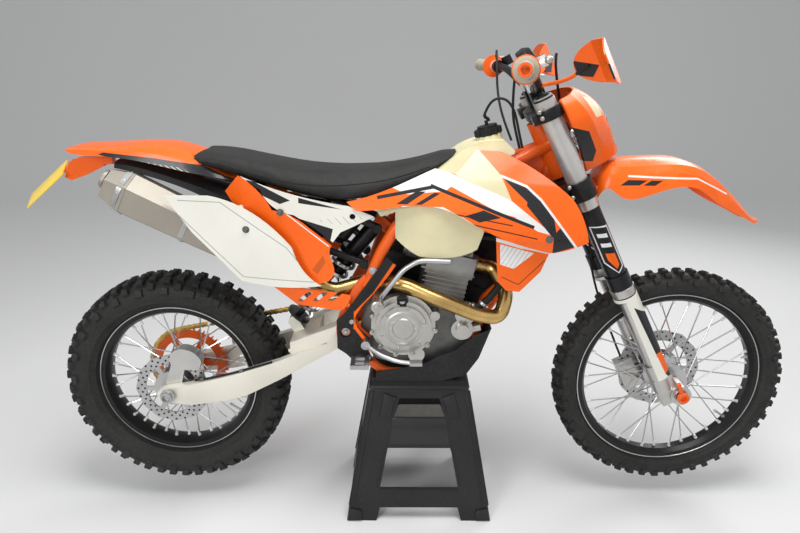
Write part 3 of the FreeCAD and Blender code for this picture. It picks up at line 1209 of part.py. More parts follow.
def plate_arm():
    """The bracket under the tail, with the lamp's housing."""
    run_shares = [[(-1.27, 1.085)], [(-1.22, 1.115)], [(-1.11, 1.115)], [(-1.11, 1.06)], [(-1.20, 1.00)],
            [(-1.27, 0.965)], [(-1.30, 0.985)]]
    arm = body_slab(run_shares, -PLATE_HALF * 0.32, PLATE_HALF * 0.32)
    stem = box(at_body(-1.12, 0).x, at_body(-1.07, 0).x, -PLATE_HALF * 0.3, PLATE_HALF * 0.3,
               at_body(0, 1.07).z, at_body(0, 1.198).z)
    tongue = box(-0.25 * PLATE_LENGTH, 0.2 * PLATE_LENGTH, -PLATE_HALF * 0.3, PLATE_HALF * 0.3,
                 -PLATE_WALL / 2 - SEAT_GAP, -SEAT_GAP)
    return fused([arm, stem, hung(tongue)])


def hung(shape):
    """Carry a shape to the number plate's place, tipped down behind and rolled to the right."""
    shape.rotate(V(0, 0, 0), V(1, 0, 0), PLATE_ROLL_DEG)
    shape.rotate(V(0, 0, 0), V(0, 1, 0), -PLATE_SLOPE_DEG)
    shape.translate(at_body(-1.30, 1.045))
    return shape


def number_plate():
    """A bare plate hung from the bracket."""
    return hung(box(-PLATE_LENGTH, 0, -PLATE_HALF, PLATE_HALF, 0, PLATE_WALL / 4))


def shroud():
    """The wing beside the radiator, on the left side."""
    run_shares = [[(0.59, 1.185)], [(0.70, 1.18)], [(0.80, 1.115), (0.93, 1.0), (0.99, 0.93)],
            [(1.03, 0.83), (1.06, 0.68)], [(0.99, 0.63), (0.91, 0.60)], [(0.69, 0.69), (0.52, 0.81)],
            [(0.40, 0.865), (0.26, 0.86), (0.06, 0.83)], [(0.02, 0.88)], [(0.14, 0.925), (0.31, 1.02),
                                                                          (0.41, 1.08)],
            [(0.50, 1.05)]]
    curve_shares = [(0.92, 0.52), (1.0, 0.68), (0.97, 0.84), (0.84, 0.98), (0.66, 1.10), (0.48, 1.20)]
    return long_panel(run_shares, curve_shares, SHROUD_Y, PANEL_WALL)


def long_panel(run_shares, curve_shares, half_width, wall):
    """A panel on the left side whose front view is a curve, flaring outward to the front."""
    front = PIVOT_X + FRAME_LENGTH
    curve = [V(front, w * half_width, PIVOT_Z + h * FRAME_HEIGHT) for w, h in curve_shares]
    inner = [p - V(0, wall, 0) for p in curve]
    face = polygon_face(curve + inner[::-1])
    run = V(-1.1 * FRAME_LENGTH, -1.1 * SHROUD_FLARE, 0)
    sheet = face.extrude(run).fuse(face.extrude(run * -0.15)).removeSplitter()
    return sheet.common(body_slab(run_shares, 0.0, 2 * half_width))


def radiator_guard():
    """The louvred guard before the radiator's lower half, on the left side."""
    run_shares = [[(0.675, 0.685)], [(0.915, 0.585)], [(0.88, 0.46)], [(0.79, 0.33)], [(0.73, 0.34)],
            [(0.69, 0.40)]]
    plan_shares = [(0.5, 0.78), (0.7, 0.80), (0.95, 0.76)]
    y_core = RADIATOR_Y + 0.525 * RADIATOR_WIDTH + SEAT_GAP
    pegs = []
    for a, b in ((0.815, 0.52), (0.835, 0.44)):
        place = at_body(a, b)
        pegs.append(disc(place.x, place.z, PEDAL_RADIUS, y_core, 0.79 * SHROUD_Y))
    return fused([body_panel(run_shares, plan_shares, SHROUD_Y, PANEL_WALL)] + pegs)


def radiator():
    """One cooler core with its end tanks, leaning with the fork, on the left side."""
    foot, top = at_body(0.82, 0.42), at_body(0.772, 0.96)
    half, deep = RADIATOR_WIDTH / 2, RADIATOR_DEPTH / 2
    middle = RADIATOR_Y
    run = top - foot
    corners = [foot - V(deep, half - middle, 0), foot + V(deep, middle - half, 0),
               foot + V(deep, middle + half, 0), foot + V(-deep, middle + half, 0)]
    core = polygon_face(corners).extrude(run)
    caps = []
    for at_share in (-0.02, 0.9):
        grown = [c + run * at_share + V(0, (c.y - middle) * 0.05, 0) for c in corners]
        caps.append(polygon_face(grown).extrude(run * 0.12))
    fins = []
    for row in range(FINS):
        low = run * (0.14 + 0.72 * row / (FINS - 1))
        fin = [corners[1] + low, corners[1] + low + V(FIN_DEPTH, 0, 0), corners[2] + low + V(FIN_DEPTH, 0, 0),
               corners[2] + low]
        fins.append(polygon_face(fin).extrude(run * 0.022))
    return fused([core] + caps + fins)


def skid_plate():
    """The plate under the cradle, bent up before the engine."""
    outer = [(0.12, -0.345), (0.12, SKID_SHARE), (0.46, SKID_SHARE), (0.575, -0.325), (0.635, -0.20),
             (0.69, 0.02)]
    inner = [(0.681, 0.02), (0.625, -0.20), (0.565, -0.315), (0.45, SKID_TOP_SHARE), (0.14, SKID_TOP_SHARE),
             (0.14, -0.345)]
    y = SKID_HALF_WIDTH
    floor = body_slab([[share] for share in outer + inner], -y, y)
    wing_shares = [[(0.14, SKID_TOP_SHARE)], [(0.46, SKID_TOP_SHARE)], [(0.573, -0.32)], [(0.632, -0.20)],
                   [(0.686, 0.01)],
                 [(0.61, -0.03)], [(0.52, -0.145)], [(0.44, -0.185)], [(0.38, -0.235)], [(0.26, -0.275)],
                 [(0.14, -0.30)]]
    wing = body_slab(wing_shares, y - PANEL_WALL, y)
    return fused([floor] + both_sides(wing))


def frame_guard():
    """The moulded guard over the pivot plate, on the left side, open round the peg's hanger."""
    run_shares = [[(0.195, 0.52)], [(0.24, 0.47)], [(0.165, 0.33), (0.112, 0.24)],
                  [(0.07, 0.17), (0.04, 0.09)],
            [(0.075, 0.01), (0.115, -0.04)], [(0.10, -0.13)], [(0.13, -0.20)], [(0.05, -0.22)],
            [(0.0, -0.15)], [(-0.04, -0.11)], [(-0.04, 0.09)], [(0.0, 0.14)]]
    y = SPAR_Y + SPAR_RADIUS + SEAT_GAP
    guard = body_slab(run_shares, y, y + PANEL_WALL * 1.5)
    pivot_hole = disc(PIVOT_X, PIVOT_Z, 1.7 * PIVOT_BOLT_RADIUS, 0, 2 * y)
    inner = body_slab([[(-0.03, -0.09)], [(-0.03, 0.08)], [(0.03, 0.08)], [(0.06, 0.0)], [(0.07, -0.09)]],
                      SPAR_Y + PLATE_WALL / 2 + SEAT_GAP, y)
    solid = fused([guard, inner]).cut(pivot_hole)
    solid = solid.cut(disc(PEDAL_ROOT.x, PEDAL_ROOT.z, 2 * PEDAL_RADIUS + DISC_GAP, 0, 2 * y))
    return solid.cut(peg_hanger(DISC_GAP))


def lower_guard():
    """The slotted guard ahead of the rear wheel on the right side."""
    run_shares = [[(-0.34, 0.34)], [(-0.06, 0.285)], [(0.03, 0.26)], [(0.02, 0.22), (-0.005, 0.165)],
            [(-0.04, 0.16)], [(-0.22, 0.20)]]
    y = SPAR_Y + SPAR_RADIUS
    peg = at_body(0.013, 0.195)
    guard = fused([body_slab(run_shares, y, y + PANEL_WALL),
                   disc(peg.x, peg.z, PEDAL_RADIUS, SPAR_Y + PLATE_WALL / 2 + SEAT_GAP, y + PANEL_WALL / 2)])
    slots = []
    for start in (-0.22, -0.15, -0.08):
        slot_shares = [[(start, 0.225)], [(start + 0.05, 0.285)], [(start + 0.075, 0.28)],
                       [(start + 0.025, 0.22)]]
        slots.append(body_slab(slot_shares, y - PANEL_WALL, y + 2 * PANEL_WALL))
    guard = guard.cut(Part.makeCompound(slots))
    return mirrored(guard)


def peg_hanger(gap):
    """The block that holds a peg out from the frame's plate, grown by a gap to cut its room."""
    root, deep = PEG_ROOT, PEG_WIDTH / 4
    return box(root.x - deep - gap, root.x + deep + gap, root.y, root.y + PEG_LENGTH * 0.4 + gap,
               root.z - deep - gap, root.z + deep + gap)


def footpeg():
    """A folding peg: two rails with teeth, and its hanger, on the left side."""
    root = PEG_ROOT
    half, deep = PEG_WIDTH / 2, PEG_WIDTH / 4
    rail_y, end_y = root.y + PEG_LENGTH * 0.33, root.y + PEG_LENGTH
    rails = [box(root.x - half, root.x - half + deep, rail_y, end_y, root.z, root.z + deep),
             box(root.x + half - deep, root.x + half, rail_y, end_y, root.z, root.z + deep)]
    ends = [box(root.x - half, root.x + half, root.y + PEG_LENGTH * s, root.y + PEG_LENGTH * s + deep / 2,
                root.z, root.z + deep) for s in (0.33, 0.64, 0.95)]
    return fused(rails + ends + [peg_hanger(0.0)])


def brake_pedal():
    """The rear brake lever on the right side."""
    y = -(SPAR_Y + SPAR_RADIUS + PEG_WIDTH * 0.6)
    route = [V(PEDAL_ROOT.x, y * 0.93, PEDAL_ROOT.z), at_body(0.16, -0.13, y),
             at_body(0.24, -0.165, y * 1.08),
             at_body(0.33, -0.16, y * 1.2)]
    lever = tube(route, PEDAL_RADIUS)
    boss = disc(route[0].x, route[0].z, 2 * PEDAL_RADIUS, route[0].y - PEDAL_RADIUS,
                -(SPAR_Y + PLATE_WALL / 2 + SEAT_GAP))
    tip = box(route[-1].x - PEG_WIDTH / 3, route[-1].x + PEG_WIDTH / 3, route[-1].y - PEG_WIDTH / 3,
              route[-1].y + PEDAL_RADIUS, route[-1].z, route[-1].z + 1.4 * PEDAL_RADIUS)
    return fused([lever, boss, tip])


def shift_lever():
    """The gear lever on the left side."""
    root = CASE_WIDTH / 2 + SEAT_GAP
    shaft = at_body(0.20, -0.08)
    y = root + PEG_WIDTH * 0.75
    lever = tube([at_body(0.20, -0.08, y), at_body(0.30, -0.11, y), at_body(0.40, -0.09, y * 1.05)],
                 PEDAL_RADIUS)
    boss = disc(shaft.x, shaft.z, 1.7 * PEDAL_RADIUS, root, y + 1.3 * PEDAL_RADIUS)
    end = at_body(0.40, -0.09, y * 1.05)
    tip = disc(end.x, end.z, 1.3 * PEDAL_RADIUS, end.y - 1.3 * PEDAL_RADIUS, end.y + PEG_WIDTH * 0.6)
    return fused([lever, boss, tip])


def kick_starter():
    """The folded kick lever on the right side."""
    y = -(CASE_WIDTH / 2 + SEAT_GAP + CLUTCH_DEPTH)
    route = [at_body(0.155, 0.24, y - PEDAL_RADIUS), at_body(0.20, 0.33, y - 2 * PEDAL_RADIUS),
             at_body(0.27, 0.46, y - 2 * PEDAL_RADIUS), at_body(0.34, 0.52, y - 2 * PEDAL_RADIUS),
             at_body(0.48, 0.51, y - 1.5 * PEDAL_RADIUS)]
    lever = tube(route, 1.1 * PEDAL_RADIUS)
    boss_y = -(CASE_WIDTH / 2 + SEAT_GAP + 0.9 * CLUTCH_DEPTH + SEAT_GAP)
    boss = disc(route[0].x, route[0].z, 2.4 * PEDAL_RADIUS, y - 2.6 * PEDAL_RADIUS, boss_y)
    return fused([lever, boss])


def side_stand_bolt_line():
    """The way its bolt points: out to the left and up, so that the prop swings down and outward."""
    splay = math.radians(SIDE_STAND_SPLAY_DEG)
    return V(0, math.cos(splay), math.sin(splay))


def side_stand_leg_line():
    """The way the folded prop points from its hinge: back along the swingarm."""
    splay, drop = math.radians(SIDE_STAND_SPLAY_DEG), math.radians(SIDE_STAND_DROP_DEG)
    return V(-math.cos(drop), math.sin(drop) * math.sin(splay), -math.sin(drop) * math.cos(splay))


def side_stand():
    """The prop on the left side, folded back along the swingarm, with its foot."""
    hinge, bolt, along = SIDE_STAND_HINGE, side_stand_bolt_line(), side_stand_leg_line()
    radius = SIDE_STAND_RADIUS
    tip = hinge + along * SIDE_STAND_LENGTH
    eye = rod(hinge - bolt * radius, hinge + bolt * radius, 1.4 * radius)
    foot = rod(tip - along * (0.4 * radius), tip + along * (0.4 * radius), 2.4 * radius)
    hole = rod(hinge - bolt * (2 * radius), hinge + bolt * (2 * radius), SIDE_STAND_BOLT + AXLE_FIT)
    return fused([rod(hinge, tip, radius), eye, foot]).cut(hole)


def side_stand_bracket():
    """The lug under the left peg that the prop turns on, with its bolt and the bolt's head."""
    hinge, bolt, radius = SIDE_STAND_HINGE, side_stand_bolt_line(), SIDE_STAND_RADIUS
    inner, outer = SPAR_Y, SPAR_Y + SPAR_RADIUS - SEAT_GAP
    root = hinge - bolt * ((hinge.y - outer + SEAT_GAP) / bolt.y)
    barrel = rod(root, hinge - bolt * (radius + SEAT_GAP), 1.2 * radius)
    plate = box(hinge.x - 1.6 * radius, hinge.x + 0.9 * radius, inner, outer, root.z - 1.2 * radius,
                hinge.z + 3 * radius)
    shank = rod(root, hinge + bolt * (1.4 * radius), SIDE_STAND_BOLT)
    head = rod(hinge + bolt * (radius + SEAT_GAP), hinge + bolt * (1.5 * radius), 1.8 * SIDE_STAND_BOLT)
    return fused([barrel, plate, shank, head])


def paddock_stand():
    """A moulded trestle: a hollow frustum with windows in its walls and a slot for the hand."""
    def frustum(inset):
        wires = []
        for length, width, z in ((STAND_LENGTH, STAND_WIDTH, 0.0), (STAND_TOP_LENGTH, STAND_TOP_WIDTH,
                                                                    STAND_HEIGHT)):
            x, y = length / 2 - inset, width / 2 - inset
            rise = z - inset if z else z
            ring = [V(-x, -y, rise), V(x, -y, rise), V(x, y, rise), V(-x, y, rise)]
            wires.append(Part.makePolygon(ring + [ring[0]]))
        return Part.makeLoft(wires, True, True)
    shell = frustum(0.0).cut(frustum(STAND_WALL))
    place, height = (0.0, 0.0), STAND_HEIGHT
    length, width = STAND_LENGTH / 2, STAND_WIDTH / 2
    window_shares = [(-0.54, 0.245), (-0.43, 0.55), (0.43, 0.55), (0.54, 0.245)]
    arch_shares = [(-0.60, -0.02), (-0.54, 0.10), (0.54, 0.10), (0.60, -0.02)]
    slot_shares = [(-0.30, 0.86), (-0.27, 0.91), (0.27, 0.91), (0.30, 0.86)]
    for shares in (window_shares, arch_shares, slot_shares):
        run_shares = [[share] for share in shares]
        shell = shell.cut(slab(run_shares, place, length, height, -STAND_WIDTH, STAND_WIDTH))
        points = [V(-STAND_LENGTH, a * width, b * height) for a, b in shares]
        shell = shell.cut(polygon_face(points).extrude(V(2 * STAND_LENGTH, 0, 0)))
    hand_hole = box(-0.3 * STAND_TOP_LENGTH, 0.3 * STAND_TOP_LENGTH, -0.2 * STAND_TOP_WIDTH,
                    0.2 * STAND_TOP_WIDTH, STAND_HEIGHT - 2 * STAND_WALL, STAND_HEIGHT + STAND_WALL)
    return shell.cut(hand_hole)


def stand_mat():
    """The rubber mat on the stand's top, bevelled round its upper edge."""
    x, y = STAND_TOP_LENGTH / 2, STAND_TOP_WIDTH / 2
    wires = []
    for inset, rise in ((0.0, 0.0), (0.0, MAT_HEIGHT - MAT_RIM / 2), (MAT_RIM / 2, MAT_HEIGHT)):
        z = STAND_HEIGHT + rise
        ring = [V(inset - x, inset - y, z), V(x - inset, inset - y, z), V(x - inset, y - inset, z),
                V(inset - x, y - inset, z)]
        wires.append(Part.makePolygon(ring + [ring[0]]))
    return Part.makeLoft(wires, True, True)


# Steering, built upright about its axis and then raked

def fork_both(build):
    return both_sides(build(FORK_SPACING / 2))


def lower_clamp():
    """The lower yoke with its split clamps and the stem."""
    foot, top = LOWER_CLAMP_FOOT, LOWER_CLAMP_FOOT + LOWER_CLAMP_HEIGHT
    return yoke(foot, top, 0.62) + [rod(V(0, 0, foot), V(0, 0, UPPER_CLAMP_FOOT + UPPER_CLAMP_HEIGHT),
                                        STEM_RADIUS)]


def yoke(foot, top, waist):
    """Two rings round the fork tubes, joined by a waisted bridge."""
    y = FORK_SPACING / 2
    wide = CLAMP_RADIUS * waist
    shapes = []
    for side in (-1, 1):
        ring = rod(V(FORK_OFFSET, side * y, foot), V(FORK_OFFSET, side * y, top), CLAMP_RADIUS)
        ear = box(FORK_OFFSET - CLAMP_RADIUS * 1.25, FORK_OFFSET, side * y - CLAMP_RADIUS * 0.4,
                  side * y + CLAMP_RADIUS * 0.4, foot, top)
        shapes += [ring, ear]
    bridge = polygon_face([V(-wide, -y * 0.24, foot), V(FORK_OFFSET - wide * 0.5, -y, foot),
                           V(FORK_OFFSET + wide * 0.7, -y, foot), V(wide, 0, foot),
                           V(FORK_OFFSET + wide * 0.7, y, foot), V(FORK_OFFSET - wide * 0.5, y, foot),
                           V(-wide, y * 0.24, foot)]).extrude(V(0, 0, top - foot))
    return shapes + [bridge]


def triple_clamps():
    """Both yokes and the stem, bored for the fork tubes."""
    upper_top = UPPER_CLAMP_FOOT + UPPER_CLAMP_HEIGHT
    solid = fused(lower_clamp() + yoke(UPPER_CLAMP_FOOT, upper_top, 0.6))
    for side in (-1, 1):
        bore = rod(V(FORK_OFFSET, side * FORK_SPACING / 2, LOWER_CLAMP_FOOT - CUT_OVERRUN),
                   V(FORK_OFFSET, side * FORK_SPACING / 2, upper_top + CUT_OVERRUN), OUTER_TUBE_RADIUS)
        solid = solid.cut(bore)
    return solid


def fork_outer_tubes():
    """The upper, outer tubes with their caps and the seal collars at their feet."""
    def build(y):
        body = rod(V(FORK_OFFSET, y, OUTER_TUBE_FOOT), V(FORK_OFFSET, y, OUTER_TUBE_TOP),
                   OUTER_TUBE_RADIUS - SEAT_GAP)
        lower = rod(V(FORK_OFFSET, y, OUTER_TUBE_FOOT), V(FORK_OFFSET, y, OUTER_TUBE_FOOT
                                                          + 2 * COLLAR_HEIGHT),
                    COLLAR_RADIUS)
        cap = rod(V(FORK_OFFSET, y, OUTER_TUBE_TOP), V(FORK_OFFSET, y, OUTER_TUBE_TOP + FORK_CAP_HEIGHT),
                  INNER_TUBE_RADIUS)
        bore = rod(V(FORK_OFFSET, y, OUTER_TUBE_FOOT), V(FORK_OFFSET, y, OUTER_TUBE_TOP - COLLAR_HEIGHT),
                   INNER_TUBE_RADIUS + SEAT_GAP)
        return fused([body, lower, cap]).cut(bore)
    return together(fork_both(build))


def shoe_neck(y, gap):
    """The block that joins a shoe to its axle clamp, grown by a gap to cut its room."""
    half = SHOE_RADIUS * 0.8
    return box(FORK_OFFSET - half - gap, AXLE_OFFSET + gap, y - half - gap, y + half + gap,
               -SHOE_RADIUS * 0.5 - gap, SHOE_FOOT + SHOE_HEIGHT * 0.5 + gap)


def fork_legs():
    """The inner tubes and the shoes that clamp the axle ahead of them."""
    def build(y):
        tube_body = rod(V(FORK_OFFSET, y, SHOE_FOOT), V(FORK_OFFSET, y, OUTER_TUBE_FOOT + 5 * COLLAR_HEIGHT),
                        INNER_TUBE_RADIUS)
        shoe = rod(V(FORK_OFFSET, y, SHOE_FOOT), V(FORK_OFFSET, y, SHOE_FOOT + SHOE_HEIGHT), SHOE_RADIUS)
        ring = Part.makeCylinder(SHOE_RADIUS, 2 * SHOE_RADIUS, V(AXLE_OFFSET, y - SHOE_RADIUS, 0), V(0, 1, 0))
        neck = shoe_neck(y, 0.0)
        axle_bore = Part.makeCylinder(FRONT_AXLE_RADIUS + AXLE_FIT, 4 * SHOE_RADIUS,
                                      V(AXLE_OFFSET, y - 2 * SHOE_RADIUS, 0), V(0, 1, 0))
        return fused([tube_body, shoe, ring, neck]).cut(axle_bore)
    return together(fork_both(build))


def fork_guards():
    """The slim guards before the inner tubes, from the collar down to the shoe."""
    def build(y):
        radius = SHOE_RADIUS + SEAT_GAP
        foot, top = 0.0, OUTER_TUBE_FOOT - COLLAR_HEIGHT * 0.4
        middle = V(FORK_OFFSET, y, SHOE_FOOT + SHOE_HEIGHT * 0.5 + SEAT_GAP)
        shell = pipe_piece(middle, V(FORK_OFFSET, y, top), radius + PANEL_WALL, radius)
        front = box(FORK_OFFSET - radius * 0.35, FORK_OFFSET + 2 * radius, y - 2 * radius, y + 2 * radius,
                    foot, top)
        inner_y = y - radius * 0.75 if y > 0 else y + radius * 0.75
        keep = front.cut(box(FORK_OFFSET - 2 * radius, FORK_OFFSET + 2 * radius,
                             inner_y - 2 * radius, inner_y, foot, top)) if y > 0 else front
        band = pipe_piece(V(FORK_OFFSET, y, top), V(FORK_OFFSET, y, top + COLLAR_HEIGHT * 0.3),
                          radius + PANEL_WALL, INNER_TUBE_RADIUS + SEAT_GAP)
        return fused([shell.common(keep), band])
    return together(fork_both(build))


def bar_route():
    """Half of the handlebar's line, from its clamp to the left grip's end."""
    top = BAR_CLAMP_S + BAR_RISE
    return [V(FORK_OFFSET, 0, BAR_CLAMP_S), V(FORK_OFFSET, BAR_BEND_Y, BAR_CLAMP_S),
            V(FORK_OFFSET - 0.25 * BAR_SWEEP, BAR_SHOULDER_Y, top - 0.3 * BAR_RISE),
            V(FORK_OFFSET - BAR_SWEEP, BAR_WIDTH / 2, top)]


def handlebar():
    """A bulged bar that tapers to its grips, with its rise and sweep."""
    half = bar_route()
    far = [V(p.x, -p.y, p.z) for p in half]
    bar = tube(far[:0:-1] + half[1:], BAR_RADIUS)
    middle = rod(V(FORK_OFFSET, -BAR_BEND_Y * 0.75, BAR_CLAMP_S),
                 V(FORK_OFFSET, BAR_BEND_Y * 0.75, BAR_CLAMP_S),
                 BAR_CLAMP_RADIUS)
    return fused([bar, middle])


def bar_mounts():
    """The two split clamps that hold the bar on the upper yoke."""
    half, shapes = BAR_CLAMP_BLOCK / 2, []
    for side in (-1, 1):
        y = side * BAR_CLAMP_SPACING / 2
        block = box(FORK_OFFSET - half, FORK_OFFSET + half, y - half * 0.6, y + half * 0.6,
                    UPPER_CLAMP_FOOT + UPPER_CLAMP_HEIGHT / 2, BAR_CLAMP_S + half * 1.1)
        shapes.append(block.cut(Part.makeCylinder(BAR_CLAMP_RADIUS + SEAT_GAP, 4 * half,
                                                  V(FORK_OFFSET, y - 2 * half, BAR_CLAMP_S), V(0, 1, 0))))
    return together(shapes)


def bar_end(back):
    """A place on the left grip's line, at a distance in from the bar's end."""
    route = bar_route()
    run = route[2] - route[3]
    return route[3] + run.normalize() * back


def grips():
    """Both grips with their inner flanges, slid over the bar's ends."""
    def build():
        sleeve = rod(bar_end(-PANEL_WALL), bar_end(GRIP_LENGTH), GRIP_RADIUS)
        flange = rod(bar_end(GRIP_LENGTH - GRIP_FLANGE_WALL), bar_end(GRIP_LENGTH), GRIP_FLANGE_RADIUS)
        bore = rod(bar_end(0.0), bar_end(2 * GRIP_LENGTH), BAR_RADIUS + SEAT_GAP)
        return fused([sleeve, flange]).cut(bore)
    return together(both_sides(build()))


def bar_controls():
    """Both lever perches with their reservoirs and the levers, and the throttle's housing."""
    shapes = []
    for side in (1, -1):
        inner, outer = bar_end(GRIP_LENGTH + SEAT_GAP * 2), bar_end(GRIP_LENGTH + CONTROL_LENGTH)
        ring = pipe_piece(inner, outer, GRIP_RADIUS * 1.15, BAR_RADIUS + SEAT_GAP)
        lift = V(GRIP_RADIUS, 0, 0)
        perch = tube([inner + (outer - inner) * 0.5 + lift * 0.9, inner + (outer - inner) * 0.5 + lift * 2.6],
                     GRIP_RADIUS * 0.6)
        reservoir = rod(outer + lift * 1.8 + V(0, 0, -GRIP_RADIUS * 0.4), outer + lift * 1.8
                        + V(0, 0, GRIP_RADIUS * 1.2),
                        GRIP_RADIUS * 0.95)
        pivot = inner + (outer - inner) * 0.5 + lift * 2.6
        blade = tube([pivot, bar_end(0.55 * GRIP_LENGTH) + lift * 3.4, bar_end(0.15 * GRIP_LENGTH)
                      + lift * 2.9],
                     LEVER_RADIUS)
        whole = fused([ring, perch, reservoir, blade]).cut(tube(bar_route()[1:], BAR_RADIUS + SEAT_GAP))
        shapes.append(whole if side > 0 else mirrored(whole))
    return together(shapes)


def hand_guards():
    """The open shields before the grips, each on an arm from the bar."""
    def build():
        start, foot = FORK_OFFSET, BAR_CLAMP_S + GUARD_DROP - 0.5 * GUARD_HEIGHT
        plan_shares = [(0.62, 0.49), (0.96, 0.62), (1.0, 0.82), (0.80, 0.98)]
        front = [V(start + a * GUARD_REACH, w * BAR_WIDTH / 2, foot) for a, w in plan_shares]
        back = [p - V(PANEL_WALL, 0, 0) for p in front]
        wall = polygon_face(front + back[::-1]).extrude(V(0, 0, GUARD_HEIGHT))
        edge_shares = [(0.50, 0.35), (0.60, 0.03), (0.85, 0.0), (0.98, 0.25), (0.99, 0.70), (0.86, 1.0),
                       (0.62, 0.98), (0.51, 0.75)]
        points = [V(0, w * BAR_WIDTH / 2, foot + h * GUARD_HEIGHT) for w, h in edge_shares]
        edge = Part.BSplineCurve()
        edge.interpolate(points, PeriodicFlag=True)
        shield = wall.common(Part.Face(Part.Wire(edge.toShape())).extrude(V(3 * GUARD_REACH, 0, 0)))
        arm = tube([V(start, BAR_BEND_Y * 1.2, BAR_CLAMP_S + BAR_RISE * 0.14),
                    V(start + 0.45 * GUARD_REACH, BAR_SHOULDER_Y * 0.86, BAR_CLAMP_S),
                    V(start + 0.80 * GUARD_REACH, BAR_SHOULDER_Y * 1.15, BAR_CLAMP_S
                      + GUARD_DROP)], LEVER_RADIUS)
        bar_room = tube(bar_route()[1:], BAR_RADIUS + SEAT_GAP)
        return fused([shield, arm]).cut(bar_room)
    return together(both_sides(build()))


def mask_ring(z, forward_share, wide_share, inset):
    """One level of the mask's wall in plan, from its left edge round the front to its right."""
    plan_shares = [(0.04, 1.0), (0.50, 0.92), (0.87, 0.56), (1.0, 0.16)]
    start = FORK_OFFSET + OUTER_TUBE_RADIUS + CUT_OVERRUN
    left = [V(start + a * MASK_DEPTH * forward_share - inset * (a > 0), w * MASK_HALF * wide_share - inset, z)
            for a, w in plan_shares]
    return left + [V(p.x, -p.y, p.z) for p in reversed(left)]


def headlight_mask():
    """The front mask: a wall bent round the fork, open behind, with the lamp's window."""
    level_shares = [(0.0, 0.95, 0.50), (0.35, 1.0, 0.80), (0.75, 0.84, 1.0), (1.0, 0.52, 0.86)]
    wires = []
    for level, forward_share, wide_share in level_shares:
        z = MASK_FOOT + level * MASK_HEIGHT
        outer = mask_ring(z, forward_share, wide_share, 0.0)
        inner = mask_ring(z, forward_share, wide_share, PANEL_WALL)
        wires.append(Part.makePolygon(outer + inner[::-1] + [outer[0]]))
    shell = loft(wires)
    lamp_z = MASK_FOOT + 0.36 * MASK_HEIGHT
    points = [V(0, y * LAMP_HALF, lamp_z + z * LAMP_HALF) for y, z in LAMP_SHARES]
    return shell.cut(polygon_face(points).extrude(V(4 * MASK_DEPTH, 0, 0)))


def headlight():
    """The lamp's body behind the window, with its domed glass."""
    lamp_z = MASK_FOOT + 0.36 * MASK_HEIGHT
    front = FORK_OFFSET + OUTER_TUBE_RADIUS + CUT_OVERRUN + MASK_DEPTH - 2 * PANEL_WALL
    bowl = Part.makeCone(LAMP_HALF * 0.5, LAMP_HALF * 0.84, MASK_DEPTH * 0.7,
                         V(front - MASK_DEPTH * 0.78, 0, lamp_z),
                         V(1, 0, 0))
    inside = LAMP_HALF - PANEL_WALL / 2
    points = [V(front - MASK_DEPTH * 0.2, y * inside, lamp_z + z * inside) for y, z in LAMP_SHARES]
    glass = polygon_face(points).extrude(V(MASK_DEPTH * 0.2 - PANEL_WALL, 0, 0))
    bracket = box(FORK_OFFSET + STEM_RADIUS, front - MASK_DEPTH * 0.7, -LAMP_HALF * 0.3, LAMP_HALF * 0.3,
                  lamp_z - LAMP_HALF * 0.2, lamp_z + LAMP_HALF * 0.2)
    return fused([bowl, glass, bracket])


def front_fender():
    """The long front blade and the flat root that bolts it under the lower yoke."""
    section_shares = [(0.165, 0.09, 0.36, 0.64), (0.26, 0.16, 0.66, 0.84), (0.46, 0.255, 0.69, 1.0),
                      (0.62, 0.29, 0.63, 1.0), (0.72, 0.10, 0.46, 0.92), (0.83, -0.10, 0.18, 0.77),
                      (0.93, -0.255, -0.13, 0.55), (1.0, -0.31, -0.27, 0.32)]
    root = raked(-FENDER_ROOT_BACK, 0, LOWER_CLAMP_FOOT - PANEL_WALL)
    wires = []
    for a, edge, crown, half in section_shares:
        wires.append(arch_section(root.x + a * FENDER_LENGTH, root.z + edge * FENDER_HEIGHT,
                                  root.z + crown * FENDER_HEIGHT, half * FENDER_HALF_WIDTH, PANEL_WALL))
    half_root = 0.6 * FENDER_HALF_WIDTH
    plate = box(-FENDER_ROOT_BACK, 2.9 * FENDER_ROOT_BACK, -half_root, half_root,
                LOWER_CLAMP_FOOT - PANEL_WALL - SEAT_GAP, LOWER_CLAMP_FOOT - SEAT_GAP)
    return fused([loft(wires), onto_steering(plate)])


def front_axle():
    return axle(FRONT_AXLE, FRONT_AXLE_RADIUS, FORK_SPACING / 2 + SHOE_RADIUS + SEAT_GAP, RIM_WALL)


def front_caliper():
    """A caliper on the left fork shoe's rear, straddling the disc."""
    y = FRONT_HUB_WIDTH / 2 - DISC_WALL / 2
    middle = V(-0.72 * FRONT_DISC_RADIUS + AXLE_OFFSET, y, 0.22 * FRONT_DISC_RADIUS)
    length, height, half = 0.42 * FRONT_DISC_RADIUS, 0.78 * FRONT_DISC_RADIUS, FRONT_AXLE_RADIUS * 1.5
    body = box(middle.x - length / 2, middle.x + length / 2, y - half, y + half, middle.z - height / 2,
               middle.z + height / 2)
    slot = Part.makeCylinder(FRONT_DISC_RADIUS + DISC_GAP, DISC_WALL + 2 * DISC_GAP,
                             V(AXLE_OFFSET, y - DISC_WALL / 2 - DISC_GAP, 0), V(0, 1, 0))
    fork_y = FORK_SPACING / 2
    lug = box(middle.x, FORK_OFFSET - INNER_TUBE_RADIUS * 0.5, y + half * 0.5, fork_y,
              middle.z - height * 0.2,
              middle.z + height * 0.1)
    room = rod(V(FORK_OFFSET, fork_y, -FORK_SPACING), V(FORK_OFFSET, fork_y, FORK_SPACING), SHOE_RADIUS
               + SEAT_GAP)
    return fused([body.cut(slot), lug]).cut(room).cut(shoe_neck(fork_y, SEAT_GAP))


# Cables and hoses

